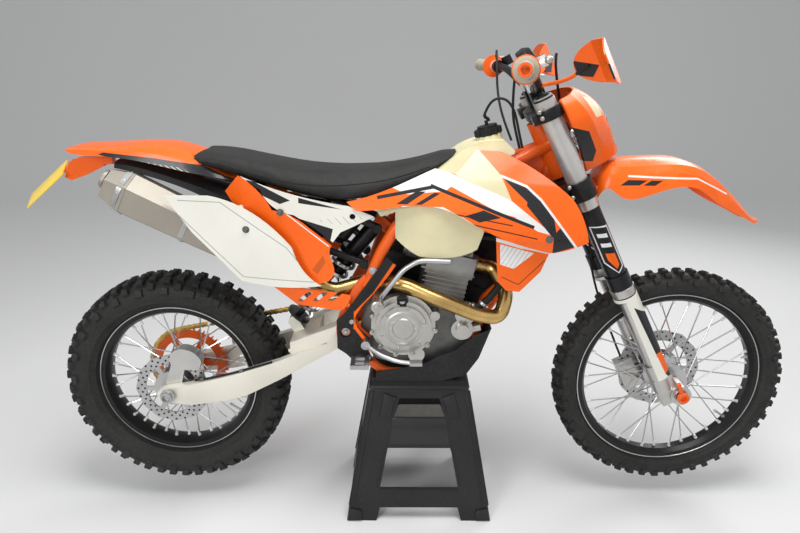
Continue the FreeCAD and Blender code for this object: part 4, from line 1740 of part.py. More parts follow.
def cord(route, radius, name):
    """A round cord along straight runs and tangent arcs, with its radii printed."""
    points = [V(*point) for point in route]
    radii = []
    for before, corner, after in zip(points, points[1:], points[2:]):
        back, ahead = before - corner, after - corner
        reach = 0.45 * min(back.Length, ahead.Length)
        radii.append(round(reach * math.tan(back.getAngle(ahead) / 2)))
    print(name, "bend radii", radii)
    return tube(points, radius, 0.45)


def front_brake_hose():
    """From the right lever down behind the mask and inside the left fork to the caliper."""
    start = bar_end(GRIP_LENGTH + CONTROL_LENGTH)
    y, top = FORK_SPACING / 2, BAR_CLAMP_S + BAR_RISE
    route_shares = [(0.66, -1.98, 0.985), (0.76, -1.50, 0.965), (0.74, -1.05, 0.93), (0.72, -0.55, 0.885),
                    (0.70, 0.0, 0.83), (0.65, 0.40, 0.765), (0.62, 0.60, 0.695), (0.60, 0.655, 0.625),
                    (0.48, 0.66, 0.55), (0.18, 0.635, 0.465), (-0.14, 0.625, 0.375), (-0.28, 0.635, 0.28),
                    (-0.34, 0.66, 0.185), (-0.37, 0.685, 0.0745)]
    points = [(f * y, w * y, s * top) for f, w, s in route_shares]
    points[0] = (points[0][0], GRIP_RADIUS - start.y, points[0][2])
    return cord(points, CABLE_RADIUS, "front brake hose")


# Places worked out from the sizes above
SHOCK_TOP = at_body(0.16, 0.70)
SHOCK_LOW = at_body(-0.27, -0.02)
SILENCER_END = at_body(-1.035, 0.985, -SILENCER_Y)
SILENCER_MOUTH = at_body(-0.13, 0.32, -0.86 * SPAR_Y)
SIDE_STAND_HINGE = at_body(0.03, -0.255, SIDE_STAND_Y)
PEG_ROOT = at_body(0.07, -0.185, SPAR_Y + PLATE_WALL / 2 + SEAT_GAP)
PEDAL_ROOT = at_body(0.095, -0.07)


def chassis_parts():
    return {
        "paddock_stand": paddock_stand(),
        "stand_mat": stand_mat(),
        "frame": fused([frame(), swingarm_pivot(), side_stand_bracket()]),
        "subframe": subframe(),
        "crankcase": fused([crankcase(), drive_sprocket()]),
        "engine_covers": together([clutch_cover(), water_pump(), ignition_cover()]),
        "cylinder": cylinder(),
        "exhaust_header": header(),
        "silencer": silencer(),
        "radiators": together(both_sides(radiator())),
        "fuel_tank": fuel_tank(),
        "fuel_cap": fuel_cap(),
        "seat": seat(),
        "side_covers": together([side_cover(), mirrored(side_cover()).cut(silencer_sleeve(DISC_GAP)),
                                 lower_guard()]),
        "number_panels": together(both_sides(number_panel()) + both_sides(air_cover())),
        "airbox": together([airbox(), inner_fender()]),
        "rear_fender": fused([rear_fender(), plate_arm()]),
        "number_plate": number_plate(),
        "shrouds": together(both_sides(shroud()) + both_sides(radiator_guard())),
        "skid_plate": skid_plate(),
        "frame_guards": together(both_sides(frame_guard())),
        "foot_controls": together(both_sides(footpeg()) + [brake_pedal(), shift_lever(), kick_starter()]),
        "swingarm": swingarm(),
        "chain": chain(),
        "rear_axle": rear_axle(),
        "rear_caliper": rear_caliper(),
        "shock_absorber": shock(),
        "shock_spring": shock_spring(),
        "breather_hose": cord(BREATHER_ROUTE, CABLE_RADIUS, "breather hose"),
        "control_cables": together([cord(THROTTLE_ROUTE, CABLE_RADIUS, "throttle cable"),
                                    cord(CLUTCH_ROUTE, CABLE_RADIUS, "clutch hose")]),
    }


def steering_parts():
    upright = {
        "triple_clamps": fused([triple_clamps()] + bar_mounts().Solids),
        "fork_outer_tubes": fork_outer_tubes(),
        "fork_legs": fork_legs(),
        "fork_guards": fork_guards(),
        "handlebar": handlebar(),
        "grips": grips(),
        "bar_controls": bar_controls(),
        "hand_guards": hand_guards(),
        "headlight_mask": headlight_mask(),
        "headlight": headlight(),
        "front_caliper": front_caliper(),
        "front_brake_hose": front_brake_hose(),
    }
    parts = {name: onto_steering(shape) for name, shape in upright.items()}
    parts["front_fender"] = front_fender()
    parts["front_axle"] = front_axle()
    return parts


def main():
    os.makedirs("parts", exist_ok=True)
    parts = {**chassis_parts(), **steering_parts(), **wheel_parts(), "side_stand": side_stand()}
    for name, shape in parts.items():
        shape.exportStep(f"parts/{name}.step")


main()
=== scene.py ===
# %% [markdown]
# This file dresses an off-road motorcycle that stands on a plastic paddock stand.
# The solid shapes come from a CAD model, which is loaded first and is never moved.
# Blender adds what the eye needs: rubber lugs, chain links, bolts, seams, stripes and real finishes.

# %% Load the model
import math

import bmesh
import bpy
from mathutils import Matrix, Vector


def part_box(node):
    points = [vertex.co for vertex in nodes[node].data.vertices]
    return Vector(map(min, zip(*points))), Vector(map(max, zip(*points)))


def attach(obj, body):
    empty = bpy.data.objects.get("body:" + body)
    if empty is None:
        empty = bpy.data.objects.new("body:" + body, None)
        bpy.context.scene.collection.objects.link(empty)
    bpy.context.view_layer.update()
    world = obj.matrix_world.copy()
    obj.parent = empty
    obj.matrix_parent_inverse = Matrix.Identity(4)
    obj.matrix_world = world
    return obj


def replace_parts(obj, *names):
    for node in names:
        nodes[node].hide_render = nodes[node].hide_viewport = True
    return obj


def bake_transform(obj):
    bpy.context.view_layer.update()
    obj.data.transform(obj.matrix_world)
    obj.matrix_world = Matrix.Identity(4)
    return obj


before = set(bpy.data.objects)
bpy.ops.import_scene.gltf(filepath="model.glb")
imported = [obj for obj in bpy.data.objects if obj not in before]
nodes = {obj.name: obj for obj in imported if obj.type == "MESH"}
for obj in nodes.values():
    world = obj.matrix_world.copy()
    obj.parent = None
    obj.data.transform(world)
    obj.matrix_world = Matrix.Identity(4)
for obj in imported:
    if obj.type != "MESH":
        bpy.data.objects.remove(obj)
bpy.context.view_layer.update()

# %% [markdown]
# The camera stands beside the machine, at eye height, tipped a little down.
# A camera could be aimed by a constraint, but written angles are easier to read and to keep.

# %% Camera
CAMERA_PLACE = (-0.057, -1.833, 1.360)
CAMERA_TURN = (72.043, -0.10, 0.09)
SENSOR = 36.0
LENS = 29.3

eye = bpy.data.cameras.new("photo_camera")
eye.sensor_width = SENSOR
eye.lens = LENS
camera = bpy.data.objects.new("photo_camera", eye)
camera.location = CAMERA_PLACE
camera.rotation_euler = [math.radians(angle) for angle in CAMERA_TURN]
bpy.context.scene.collection.objects.link(camera)
bpy.context.scene.camera = camera
bpy.context.scene.view_settings.view_transform = "Standard"
print("camera at", CAMERA_PLACE, "lens", LENS)

# %% [markdown]
# Every step below starts with nothing selected, because an operator acts on all that is selected.
# These few helpers do what a modeller does by hand: clear the selection, pick corners, apply a modifier.
# A piece is finished when its object sits at the origin and its place is in its mesh.

# %% Helpers for one piece
def clear():
    if bpy.context.object and bpy.context.object.mode != "OBJECT":
        bpy.ops.object.mode_set(mode="OBJECT")
    bpy.ops.object.select_all(action="DESELECT")


def shown(thing):
    """Puts a new object into the scene."""
    bpy.context.scene.collection.objects.link(thing)
    return thing


def take(piece):
    """Makes this the one selected and active piece."""
    clear()
    bpy.context.view_layer.objects.active = piece
    piece.select_set(True)
    return piece


def settle(piece):
    """Puts the piece's place, turn and size into its mesh."""
    take(piece)
    bpy.ops.object.transform_apply(location=True, rotation=True, scale=True)
    return piece


def edit(piece):
    take(piece)
    bpy.ops.object.mode_set(mode="EDIT")
    bpy.ops.mesh.select_mode(type="VERT")
    bpy.ops.mesh.select_all(action="SELECT")


def pick(piece, test):
    """In edit mode, selects the corners for which the test of their place holds."""
    bpy.ops.mesh.select_all(action="DESELECT")
    shape = bmesh.from_edit_mesh(piece.data)
    for corner in shape.verts:
        corner.select_set(test(corner.co))
    shape.select_flush(True)
    bmesh.update_edit_mesh(piece.data)


def done(piece):
    bpy.ops.object.mode_set(mode="OBJECT")
    return piece


def face_out(piece):
    """Turns all faces outward and leaves edit mode."""
    bpy.ops.mesh.select_all(action="SELECT")
    bpy.ops.mesh.normals_make_consistent(inside=False)
    return done(piece)


def modify(piece, kind, **settings):
    """Adds a modifier, sets it and applies it."""
    take(piece)
    added = piece.modifiers.new(kind.lower(), kind)
    for key, value in settings.items():
        setattr(added, key, value)
    bpy.ops.object.modifier_apply(modifier=added.name)
    return piece


def soft_edges(piece, width, steps=2, angle=40.0):
    modify(piece, "BEVEL", width=width, segments=steps, limit_method="ANGLE", angle_limit=math.radians(angle))
    return smooth(piece)


def smooth(piece, angle=35.0):
    take(piece)
    bpy.ops.object.shade_smooth_by_angle(angle=math.radians(angle))
    return piece


# %% [markdown]
# What the machine has many of is made once: copies go round an axle or over to the other side, and become one mesh.

# %% Helpers for copies
def join(pieces, name):
    """Makes one mesh of several."""
    clear()
    for piece in pieces:
        piece.select_set(True)
    bpy.context.view_layer.objects.active = pieces[0]
    if len(pieces) > 1:
        bpy.ops.object.join()
    pieces[0].name = name
    return pieces[0]


def copied(piece, move):
    """A copy of a piece, with a mesh of its own that is moved by a matrix."""
    twin = piece.copy()
    twin.data = piece.data.copy()
    twin.data.transform(move)
    if move.determinant() < 0:
        twin.data.flip_normals()
    return shown(twin)


def turned(angle, axle):
    """The matrix of a turn about an axle through a point."""
    axle = Vector(axle)
    return Matrix.Translation(axle) @ Matrix.Rotation(angle, 4, "Y") @ Matrix.Translation(-axle)


def ring_of(piece, count, axle, name):
    """Copies of a piece all round an axle, as one mesh."""
    copies = [copied(piece, turned(math.tau * k / count, axle)) for k in range(1, count)]
    return join([piece] + copies, name)


def mirrored(piece, name):
    """The same piece on the machine's other side."""
    twin = copied(piece, Matrix.Scale(-1.0, 4, (0, 1, 0)))
    twin.name = name
    return twin


# %% [markdown]
# A drawn outline is the start of plates, stripes and tyre sections.
# A circle already has its corners in order, so each is taken to its place on the drawing.
# From there it is filled, pushed out to a thickness, or spun round an axle.

# %% Helpers for outlines
LEFT = Vector((0, 1, 0))
RIGHT = Vector((0, -1, 0))
UP = Vector((0, 0, 1))
DOWN = Vector((0, 0, -1))
FORWARD = Vector((1, 0, 0))


def outline(name, points):
    """A closed line through these points, made from a circle with as many corners."""
    clear()
    bpy.ops.mesh.primitive_circle_add(vertices=len(points), fill_type="NOTHING")
    piece = bpy.context.object
    piece.name = name
    for corner, point in zip(piece.data.vertices, points):
        corner.co = point
    return piece


def plate(name, points, push, bevel=0.0):
    """A flat piece: the outline is filled and pushed out by a vector."""
    piece = outline(name, points)
    edit(piece)
    bpy.ops.mesh.edge_face_add()
    bpy.ops.mesh.extrude_region_move(TRANSFORM_OT_translate={"value": push})
    face_out(piece)
    return soft_edges(piece, bevel) if bevel else piece


def spun(name, section, axle, steps=96):
    """A ring: a closed section is spun all round an axle."""
    piece = outline(name, section)
    edit(piece)
    bpy.ops.mesh.spin(steps=steps, angle=math.tau, center=axle, axis=LEFT)
    bpy.ops.mesh.select_all(action="SELECT")
    bpy.ops.mesh.remove_doubles(threshold=0.00002)
    return smooth(face_out(piece))


# %% [markdown]
# Bolts, bushes, caps and hose ends are turned pieces. A ring of corners is pushed along a line and scaled at each
# step, as a lathe tool would follow the profile.

# %% Helpers for turned pieces
def drum(name, a, b, radius, sides=32):
    """A round bar from point a to point b."""
    a, b = Vector(a), Vector(b)
    clear()
    bpy.ops.mesh.primitive_cylinder_add(vertices=sides, radius=radius, depth=(b - a).length, location=(a + b) / 2,
        rotation=(b - a).to_track_quat("Z", "Y").to_euler())
    piece = bpy.context.object
    piece.name = name
    return settle(piece)


def lathe(name, a, toward, shares, sides=32):
    """A turned piece: rings of (distance along, radius) from point a, closed at both ends."""
    a, toward = Vector(a), Vector(toward).normalized()
    clear()
    bpy.ops.mesh.primitive_circle_add(vertices=sides, radius=1.0, fill_type="NGON", location=a,
        rotation=toward.to_track_quat("Z", "Y").to_euler())
    piece = bpy.context.object
    piece.name = name
    settle(piece)
    edit(piece)
    along, radius = shares[0]
    bpy.ops.transform.translate(value=toward * along)
    bpy.ops.transform.resize(value=(radius,) * 3, center_override=a + toward * along)
    for next_along, next_radius in shares[1:]:
        bpy.ops.mesh.extrude_region_move(TRANSFORM_OT_translate={"value": toward * (next_along - along)})
        scale = next_radius / radius
        bpy.ops.transform.resize(value=(scale,) * 3, center_override=a + toward * next_along)
        along, radius = next_along, next_radius
    return smooth(face_out(piece))


def bolt(name, place, toward, radius=0.005, height=0.004):
    """A button-head screw with a hexagon socket, standing out of a surface."""
    rings = [(0.0, radius), (0.35 * height, radius), (0.8 * height, 0.82 * radius), (height, 0.55 * radius)]
    return lathe(name, place, toward, rings + [(height, 0.5 * radius), (0.45 * height, 0.45 * radius)], 12)


def hex_head(name, place, toward, radius=0.006, height=0.005):
    """A hexagon nut or bolt head with a washer under it."""
    washer = lathe(name, place, toward, [(0.0, 1.45 * radius), (0.2 * height, 1.45 * radius)], 16)
    head = lathe(name, place, toward, [(0.2 * height, radius), (0.85 * height, radius), (height, 0.85 * radius)], 6)
    take(head)
    bpy.ops.object.shade_flat()
    return join([washer, head], name)


# %% [markdown]
# Cables and hoses follow one smooth spline through a few control points, and are round in section.
# Places on the steered parts are counted along the fork's line, so that drawings of the fork stay upright.

# %% Helpers for lines and places
FORK_FOOT_X = 718.78
FORK_FOOT_Z = 385.46
RAKE = math.radians(26.5)


def tube(name, points, radius):
    """A curve of one smooth spline with these points as its controls, round in section."""
    line = bpy.data.curves.new(name, "CURVE")
    line.dimensions = "3D"
    line.bevel_depth = radius
    line.bevel_resolution = 3
    line.resolution_u = 8
    spline = line.splines.new("NURBS")
    spline.points.add(len(points) - 1)
    for point, place in zip(spline.points, points):
        point.co = (*place, 1.0)
    spline.order_u = 3
    spline.use_endpoint_u = True
    return shown(bpy.data.objects.new(name, line))


def pipe(name, points, radius, capped=True):
    """A tube as a mesh, open or closed at its ends."""
    piece = tube(name, points, radius)
    piece.data.use_fill_caps = capped
    take(piece)
    bpy.ops.object.convert(target="MESH")
    return bpy.context.object


def mm(x, y, z):
    return Vector((x, y, z)) / 1000.0


def at_fork(forward, y, up):
    """A place on the steered parts, from millimetres ahead of and up the fork's line over the front axle."""
    return mm(FORK_FOOT_X + forward * math.cos(RAKE) - up * math.sin(RAKE), y,
        FORK_FOOT_Z + forward * math.sin(RAKE) + up * math.cos(RAKE))


FORK_UP = (at_fork(0, 0, 1) - at_fork(0, 0, 0)).normalized()
FORK_AHEAD = (at_fork(1, 0, 0) - at_fork(0, 0, 0)).normalized()
print("fork line leans", round(math.degrees(FORK_UP.angle(UP)), 1), "degrees")

# %% [markdown]
# Finishes are built from a few shader nodes, always wired the same way: a noise, a change of range, a mix of colours.
# One function makes any node, sets or wires its sockets and hands back its result.

# %% Helpers for shader nodes
def shader_node(tree, kind, result, sockets, **settings):
    """A new node, with each input set to a value or wired to another node's output."""
    made = tree.nodes.new("ShaderNode" + kind)
    for key, value in settings.items():
        setattr(made, key, value)
    for socket, value in sockets.items():
        if isinstance(value, bpy.types.NodeSocket):
            tree.links.new(value, made.inputs[socket])
        else:
            made.inputs[socket].default_value = value
    return made.outputs[result]


def maths(tree, operation, one, other=0.0):
    return shader_node(tree, "Math", 0, {0: one, 1: other}, operation=operation)


def noise(tree, place, scale, detail=3.0, stretch=None):
    """A noise in object coordinates: scale is in waves per metre, stretch squeezes it along x, y or z."""
    if stretch:
        place = shader_node(tree, "Mapping", "Vector", {"Scale": stretch, "Vector": place})
    return shader_node(tree, "TexNoise", "Fac", {"Scale": scale, "Detail": detail, "Vector": place})


def between(tree, value, low, high, start=0.3, end=0.7):
    """Maps a value from start..end to low..high."""
    limits = {"From Min": start, "From Max": end, "To Min": low, "To Max": high, "Value": value}
    return shader_node(tree, "MapRange", "Result", limits)


def mixed(tree, share, one, other):
    """A colour between two others, each a colour or a socket."""
    one, other = [(*tone, 1.0) if isinstance(tone, tuple) else tone for tone in (one, other)]
    return shader_node(tree, "Mix", 2, {0: share, 6: one, 7: other}, data_type="RGBA")


# %% [markdown]
# The machine stands in a plain pale studio, lit by one broad lamp overhead and two weaker ones from the sides.
# The world is white only where the camera, a mirror or a glass sees it, so it brightens no paint.

# %% Studio
FLOOR = 14.0
LAMP_AIM = Vector((0.0, 0.0, 0.7))

clear()
bpy.ops.mesh.primitive_plane_add(size=FLOOR)
floor = settle(bpy.context.object)
floor.name = "studio_floor"
edit(floor)
pick(floor, lambda place: place.y > 0.49 * FLOOR)
bpy.ops.mesh.extrude_region_move(TRANSFORM_OT_translate={"value": (0.0, 0.0, FLOOR / 2)})
done(floor)
modify(floor, "BEVEL", width=2.5, segments=12, limit_method="ANGLE", angle_limit=1.0)
smooth(floor, 60.0)


def lamp(name, place, size, power):
    light = bpy.data.lights.new(name, "AREA")
    light.shape = "DISK"
    light.size = size
    light.energy = power
    holder = shown(bpy.data.objects.new(name, light))
    holder.location = place
    holder.rotation_euler = (LAMP_AIM - Vector(place)).to_track_quat("-Z", "Y").to_euler()


lamp("overhead", (0.2, -0.7, 3.4), 1.9, 78.0)
lamp("near_side", (-1.8, -3.2, 2.0), 1.2, 46.0)
lamp("far_side", (2.2, 2.6, 2.4), 1.6, 34.0)

world = bpy.data.worlds.new("studio")
bpy.context.scene.world = world
world.use_nodes = True
sky = world.node_tree
seen = sky.nodes.new("ShaderNodeLightPath").outputs
background = sky.nodes["Background"].inputs
background["Color"].default_value = (0.93, 0.94, 0.95, 1.0)
direct = seen["Is Camera Ray"]
for kind in ("Is Glossy Ray", "Is Transmission Ray"):
    direct = maths(sky, "MAXIMUM", direct, seen[kind])
sky.links.new(between(sky, direct, 0.42, 0.95, 0.0, 1.0), background["Strength"])
print("studio with", len(bpy.data.lights), "lamps")

# %% [markdown]
# A real finish is never one flat colour. Paint has clouds of slightly lighter and darker tone, plastic has a
# moulded grain, metal has brush lines or a cast skin, and dust sits on all of it.
# One recipe makes them: a broad noise for the clouds, a fine noise for the bump, and the shader's own sockets for
# what is the same all over. The noise reads Object coordinates, so that it stays on the piece as it moves.

# %% The recipe for a finish
DUST = (0.42, 0.38, 0.32)


def finish(name, colour, rough, metal=0.0, cloud=8.0, contrast=0.10, grain=700.0, depth=0.00006, stretch=None,
        dust=0.0, sockets=()):
    """A finish with clouds of tone, a fine bump and a little dust."""
    made = bpy.data.materials.new(name)
    made.use_nodes = True
    tree = made.node_tree
    place = tree.nodes.new("ShaderNodeTexCoord").outputs["Object"]
    dark = tuple(channel * (1.0 - contrast) for channel in colour)
    light = tuple(min(1.0, channel * (1.0 + contrast) + 0.004) for channel in colour)
    tone = mixed(tree, between(tree, noise(tree, place, cloud, 5.0), 0.0, 1.0), dark, light)
    if dust:
        specks = between(tree, noise(tree, place, 110.0, 6.0), 0.0, dust, 0.45, 0.80)
        tone = mixed(tree, specks, tone, DUST)
    fine = noise(tree, place, grain, 2.0, stretch)
    roughness = between(tree, fine, max(0.02, rough - 0.06), min(1.0, rough + 0.08))
    bump = shader_node(tree, "Bump", "Normal", {"Strength": 0.9, "Distance": depth, "Height": fine})
    shader = tree.nodes["Principled BSDF"].inputs
    for socket, value in (("Base Color", tone), ("Roughness", roughness), ("Normal", bump)):
        tree.links.new(value, shader[socket])
    for socket, value in (("Metallic", metal), *sockets):
        shader[socket].default_value = value
    return made


def repaint(material, layers):
    """Lays painted areas over a finish: each is (share socket maker, colour), the last on top."""
    tree = material.node_tree
    base = tree.nodes["Principled BSDF"].inputs["Base Color"]
    place = next(n for n in tree.nodes if n.type == "TEX_COORD").outputs["Object"]
    tone = base.links[0].from_socket
    for share, colour in layers:
        tone = mixed(tree, share(tree, place), tone, colour)
    tree.links.new(tone, base)
    return material


# %% [markdown]
# The plastics, rubbers and paints come first. Their roughness runs from a glossy moulding (0.30) to the dull
# rubber of a tyre (0.62), and a low specular level keeps the dark ones dark.

# %% Plastics, rubbers and paints
MATT = ("Specular IOR Level", 0.22)
SATIN = ("Specular IOR Level", 0.32)
black_plastic = finish("black moulded plastic", (0.012, 0.012, 0.013), 0.52, cloud=14.0, grain=1400.0,
    depth=0.00009, dust=0.03, sockets=(MATT,))
stand_plastic = finish("stand plastic", (0.011, 0.011, 0.012), 0.44, cloud=6.0, grain=1100.0, depth=0.00012,
    dust=0.02, sockets=(SATIN,))
black_rubber = finish("hose rubber", (0.010, 0.010, 0.010), 0.56, cloud=30.0, grain=1600.0, depth=0.00005,
    sockets=(MATT,))
tyre_rubber = finish("tyre rubber", (0.014, 0.0135, 0.013), 0.62, cloud=16.0, contrast=0.16, grain=900.0,
    depth=0.00010, dust=0.035, sockets=(SATIN,))
orange_plastic = finish("orange plastic", (0.95, 0.135, 0.004), 0.30, cloud=5.0, contrast=0.04, grain=260.0,
    depth=0.00003, sockets=(SATIN, ("Coat Weight", 0.10), ("Coat Roughness", 0.10)))
orange_paint = finish("orange frame paint", (0.86, 0.115, 0.004), 0.34, cloud=10.0, contrast=0.08, grain=420.0,
    depth=0.00005, dust=0.02, sockets=(SATIN, ("Coat Weight", 0.2), ("Coat Roughness", 0.15)))
white_plastic = finish("white plastic", (0.79, 0.775, 0.70), 0.34, cloud=7.0, contrast=0.04, grain=300.0,
    depth=0.00003, sockets=(SATIN, ("Coat Weight", 0.10)))
cream_plastic = finish("cream tank plastic", (0.70, 0.64, 0.40), 0.42, cloud=9.0, contrast=0.12, grain=500.0,
    depth=0.00004, sockets=(("Subsurface Weight", 0.25), ("Subsurface Scale", 0.02)))
print(len(bpy.data.materials), "plastics, rubbers and paints")

# %% [markdown]
# Metals are told apart by their skin: cast, turned, brushed, anodised, or tinted by heat.
# The plate's film, the lamp's glass and the seat's vinyl follow them.

# %% Metals, glass and vinyl
cast_alloy = finish("cast engine alloy", (0.32, 0.32, 0.31), 0.46, 0.85, cloud=18.0, contrast=0.12, grain=1100.0,
    depth=0.00016, dust=0.08)
swingarm_alloy = finish("swingarm alloy", (0.74, 0.71, 0.62), 0.40, 0.35, cloud=8.0, contrast=0.06, grain=900.0,
    depth=0.00005, dust=0.04)
black_alloy = finish("black anodised alloy", (0.012, 0.012, 0.013), 0.32, 0.35, cloud=16.0, grain=1200.0,
    depth=0.00003, dust=0.015, sockets=(SATIN,))
silver_alloy = finish("silver alloy", (0.52, 0.51, 0.49), 0.32, 0.95, cloud=14.0, contrast=0.08, grain=1000.0,
    depth=0.00004, dust=0.03)
spoke_steel = finish("bright spoke steel", (0.50, 0.50, 0.50), 0.26, 1.0, cloud=20.0, grain=900.0, depth=0.00002)
brushed_steel = finish("brushed steel", (0.44, 0.44, 0.44), 0.34, 1.0, cloud=12.0, grain=500.0, depth=0.00005,
    stretch=(1.0, 1.0, 9.0))
header_steel = finish("heat-tinted header steel", (0.50, 0.33, 0.12), 0.28, 1.0, cloud=13.0, contrast=0.30,
    grain=700.0, depth=0.00004)
titanium = finish("titanium sheet", (0.34, 0.31, 0.265), 0.56, 0.85, cloud=5.0, contrast=0.10, grain=420.0,
    depth=0.00004, stretch=(0.6, 6.0, 6.0))
chain_gold = finish("gold chain plates", (0.58, 0.38, 0.10), 0.34, 1.0, cloud=40.0, contrast=0.18, grain=900.0,
    depth=0.00004, dust=0.12)
yellow_plate = finish("reflective yellow plate", (0.90, 0.62, 0.02), 0.36, cloud=6.0, contrast=0.04, grain=900.0,
    depth=0.00003)
lamp_glass = finish("lamp glass", (0.80, 0.84, 0.86), 0.08, cloud=6.0, contrast=0.02, grain=200.0, depth=0.00002,
    sockets=(("Transmission Weight", 0.85), ("IOR", 1.49)))
bright_alloy = finish("machined cover alloy", (0.46, 0.45, 0.42), 0.32, 0.95, cloud=22.0, contrast=0.08, grain=900.0,
    depth=0.00005, dust=0.03)
dark_alloy = finish("dark sand-cast alloy", (0.13, 0.13, 0.125), 0.48, 0.75, cloud=24.0, contrast=0.20, grain=800.0,
    depth=0.00020, dust=0.10)
seat_vinyl = finish("seat vinyl", (0.016, 0.0155, 0.015), 0.58, cloud=11.0, contrast=0.14, grain=1500.0,
    depth=0.00020, dust=0.02, sockets=(MATT,))
print(len(bpy.data.materials), "finishes")

# %% [markdown]
# Each CAD node now gets its finish. The table names a finish and all the nodes that wear it.
# Their faces are sewn together by live modifiers, so that gentle bends shade as curves and sharp ones stay sharp.

# %% Dress the CAD nodes
WORN_BY = (
    (stand_plastic, "paddock_stand"),
    (black_plastic, "fuel_cap airbox skid_plate frame_guards"),
    (black_rubber, "stand_mat breather_hose control_cables grips front_brake_hose"),
    (tyre_rubber, "rear_tyre front_tyre"),
    (orange_paint, "frame rear_sprocket"),
    (orange_plastic, "side_covers rear_fender shrouds hand_guards headlight_mask front_fender"),
    (white_plastic, "number_panels fork_guards"),
    (cream_plastic, "fuel_tank"),
    (yellow_plate, "number_plate"),
    (seat_vinyl, "seat"),
    (lamp_glass, "headlight"),
    (cast_alloy, "cylinder"),
    (dark_alloy, "crankcase"),
    (bright_alloy, "engine_covers"),
    (black_alloy, "subframe radiators shock_absorber triple_clamps handlebar bar_controls rear_rim front_rim"),
    (silver_alloy, "rear_caliper fork_outer_tubes fork_legs front_caliper"),
    (swingarm_alloy, "swingarm"),
    (spoke_steel, "shock_spring rear_hub front_hub"),
    (brushed_steel, "foot_controls rear_axle front_axle rear_brake_disc front_brake_disc side_stand"),
    (header_steel, "exhaust_header"),
    (titanium, "silencer"),
    (chain_gold, "chain"),
)
EASED = {"paddock_stand": 0.003, "swingarm": 0.003, "crankcase": 0.003, "triple_clamps": 0.0015,
    "cylinder": 0.003, "number_plate": 0.0005, "skid_plate": 0.001}
SHARP = math.radians(30.0)


def dress(piece, material):
    piece.data.materials.clear()
    piece.data.materials.append(material)
    return piece


def to_body(pieces, name, material, body="chassis"):
    """Joins pieces, gives them a finish and lets them ride on a body."""
    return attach(dress(join(pieces, name), material), body)


def round_over(piece, width):
    """Live modifiers: sewn faces, eased edges where a width is given, and sharp edges past an angle."""
    piece.modifiers.new("sewn", "WELD").merge_threshold = 0.00003
    if width:
        eased = piece.modifiers.new("eased edges", "BEVEL")
        eased.width = width
        eased.segments = 2
        eased.limit_method = "ANGLE"
        eased.angle_limit = SHARP
    piece.modifiers.new("sharp edges", "EDGE_SPLIT").split_angle = SHARP


for material, names in WORN_BY:
    for name in names.split():
        for face in dress(nodes[name], material).data.polygons:
            face.use_smooth = True
        round_over(nodes[name], EASED.get(name, 0.0))
clear()
print("dressed all", len(nodes), "nodes")

# %% [markdown]
# A knobbly tyre is a thin round carcass with hard rubber knobs moulded on it in rows that repeat.
# It could be carved from one ring, but the real mould repeats one pitch, and so does this: one carcass is spun
# from its section, one set of knobs is shaped at the top of the tyre, and copies of the set go all the way round.

# %% Helpers for knobbly tyres
REAR_AXLE = Vector((-0.740, 0.0, 0.408))
FRONT_AXLE = Vector((0.768, 0.0, 0.410))


def knob(axle, radius, y, tilt, length, width, tall, ahead=0.0):
    """One rubber knob whose foot is at a radius over the axle, tilted outward, narrower at its tip."""
    clear()
    bpy.ops.mesh.primitive_cube_add(size=1.0, location=(0.0, 0.0, tall / 2 - 0.002))
    block = bpy.context.object
    block.scale = (length, width, tall + 0.004)
    settle(block)
    edit(block)
    pick(block, lambda place: place.z > tall / 2)
    bpy.ops.transform.resize(value=(0.86, 0.86, 1.0), center_override=(0.0, 0.0, tall))
    done(block)
    soft_edges(block, 0.0012, 1)
    block.data.transform(Matrix.Rotation(-tilt, 4, "X"))
    block.data.transform(Matrix.Translation(axle + Vector((0.0, y, radius))))
    block.data.transform(turned(ahead, axle))
    return block


def knobbly_tyre(name, axle, section, knobs, count):
    """The section is (radius, y) from bead to crown; each knob is (radius, y, tilt, length, width, tall, ahead)."""
    half = [axle + Vector((0.0, y, r)) for r, y in section]
    other = [axle + Vector((0.0, -y, r)) for r, y in reversed(section[:-1])]
    carcass = spun(name, half + other, axle, 100)
    row = []
    for radius, y, tilt, length, width, tall, ahead in knobs:
        for side in ((1, -1) if y else (1,)):
            turn = ahead * math.tau / count
            row.append(knob(axle, radius, side * y, side * math.radians(tilt), length, width, tall, turn))
    tread = ring_of(join(row, name), count, axle, name)
    return dress(join([carcass, tread], name), tyre_rubber)


print("the wheels turn about", tuple(REAR_AXLE), "and", tuple(FRONT_AXLE))

# %% [markdown]
# The rear tyre is wide and low, the front one narrow and tall. Both sections run from the bead to the crown, and
# both sets of knobs stand in staggered rows.

# %% Rear and front tyre
rear_section = [(0.2296, 0.0284), (0.2418, 0.0286), (0.2429, 0.0350), (0.2476, 0.0470), (0.2494, 0.0480),
    (0.2513, 0.0505), (0.2624, 0.0585), (0.2634, 0.0600), (0.2671, 0.0605), (0.2680, 0.0600),
    (0.2820, 0.0645), (0.2959, 0.0650), (0.3071, 0.0620), (0.3164, 0.0540), (0.3220, 0.0400),
    (0.3243, 0.0220), (0.3248, 0.0)]
rear_knobs = [(0.3238, 0.0150, 4, 0.022, 0.022, 0.015, 0.0), (0.3201, 0.0410, 24, 0.023, 0.022, 0.015, 0.06),
    (0.3015, 0.0620, 66, 0.024, 0.024, 0.009, 0.0),
    (0.3243, 0.0, 0, 0.020, 0.030, 0.0145, 0.5), (0.3224, 0.0310, 16, 0.022, 0.020, 0.015, 0.5),
    (0.3117, 0.0560, 44, 0.022, 0.021, 0.013, 0.5)]
rear_tyre = knobbly_tyre("rear_knobbly_tyre", REAR_AXLE, rear_section, rear_knobs, 25)
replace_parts(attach(rear_tyre, "rear_wheel"), "rear_tyre")

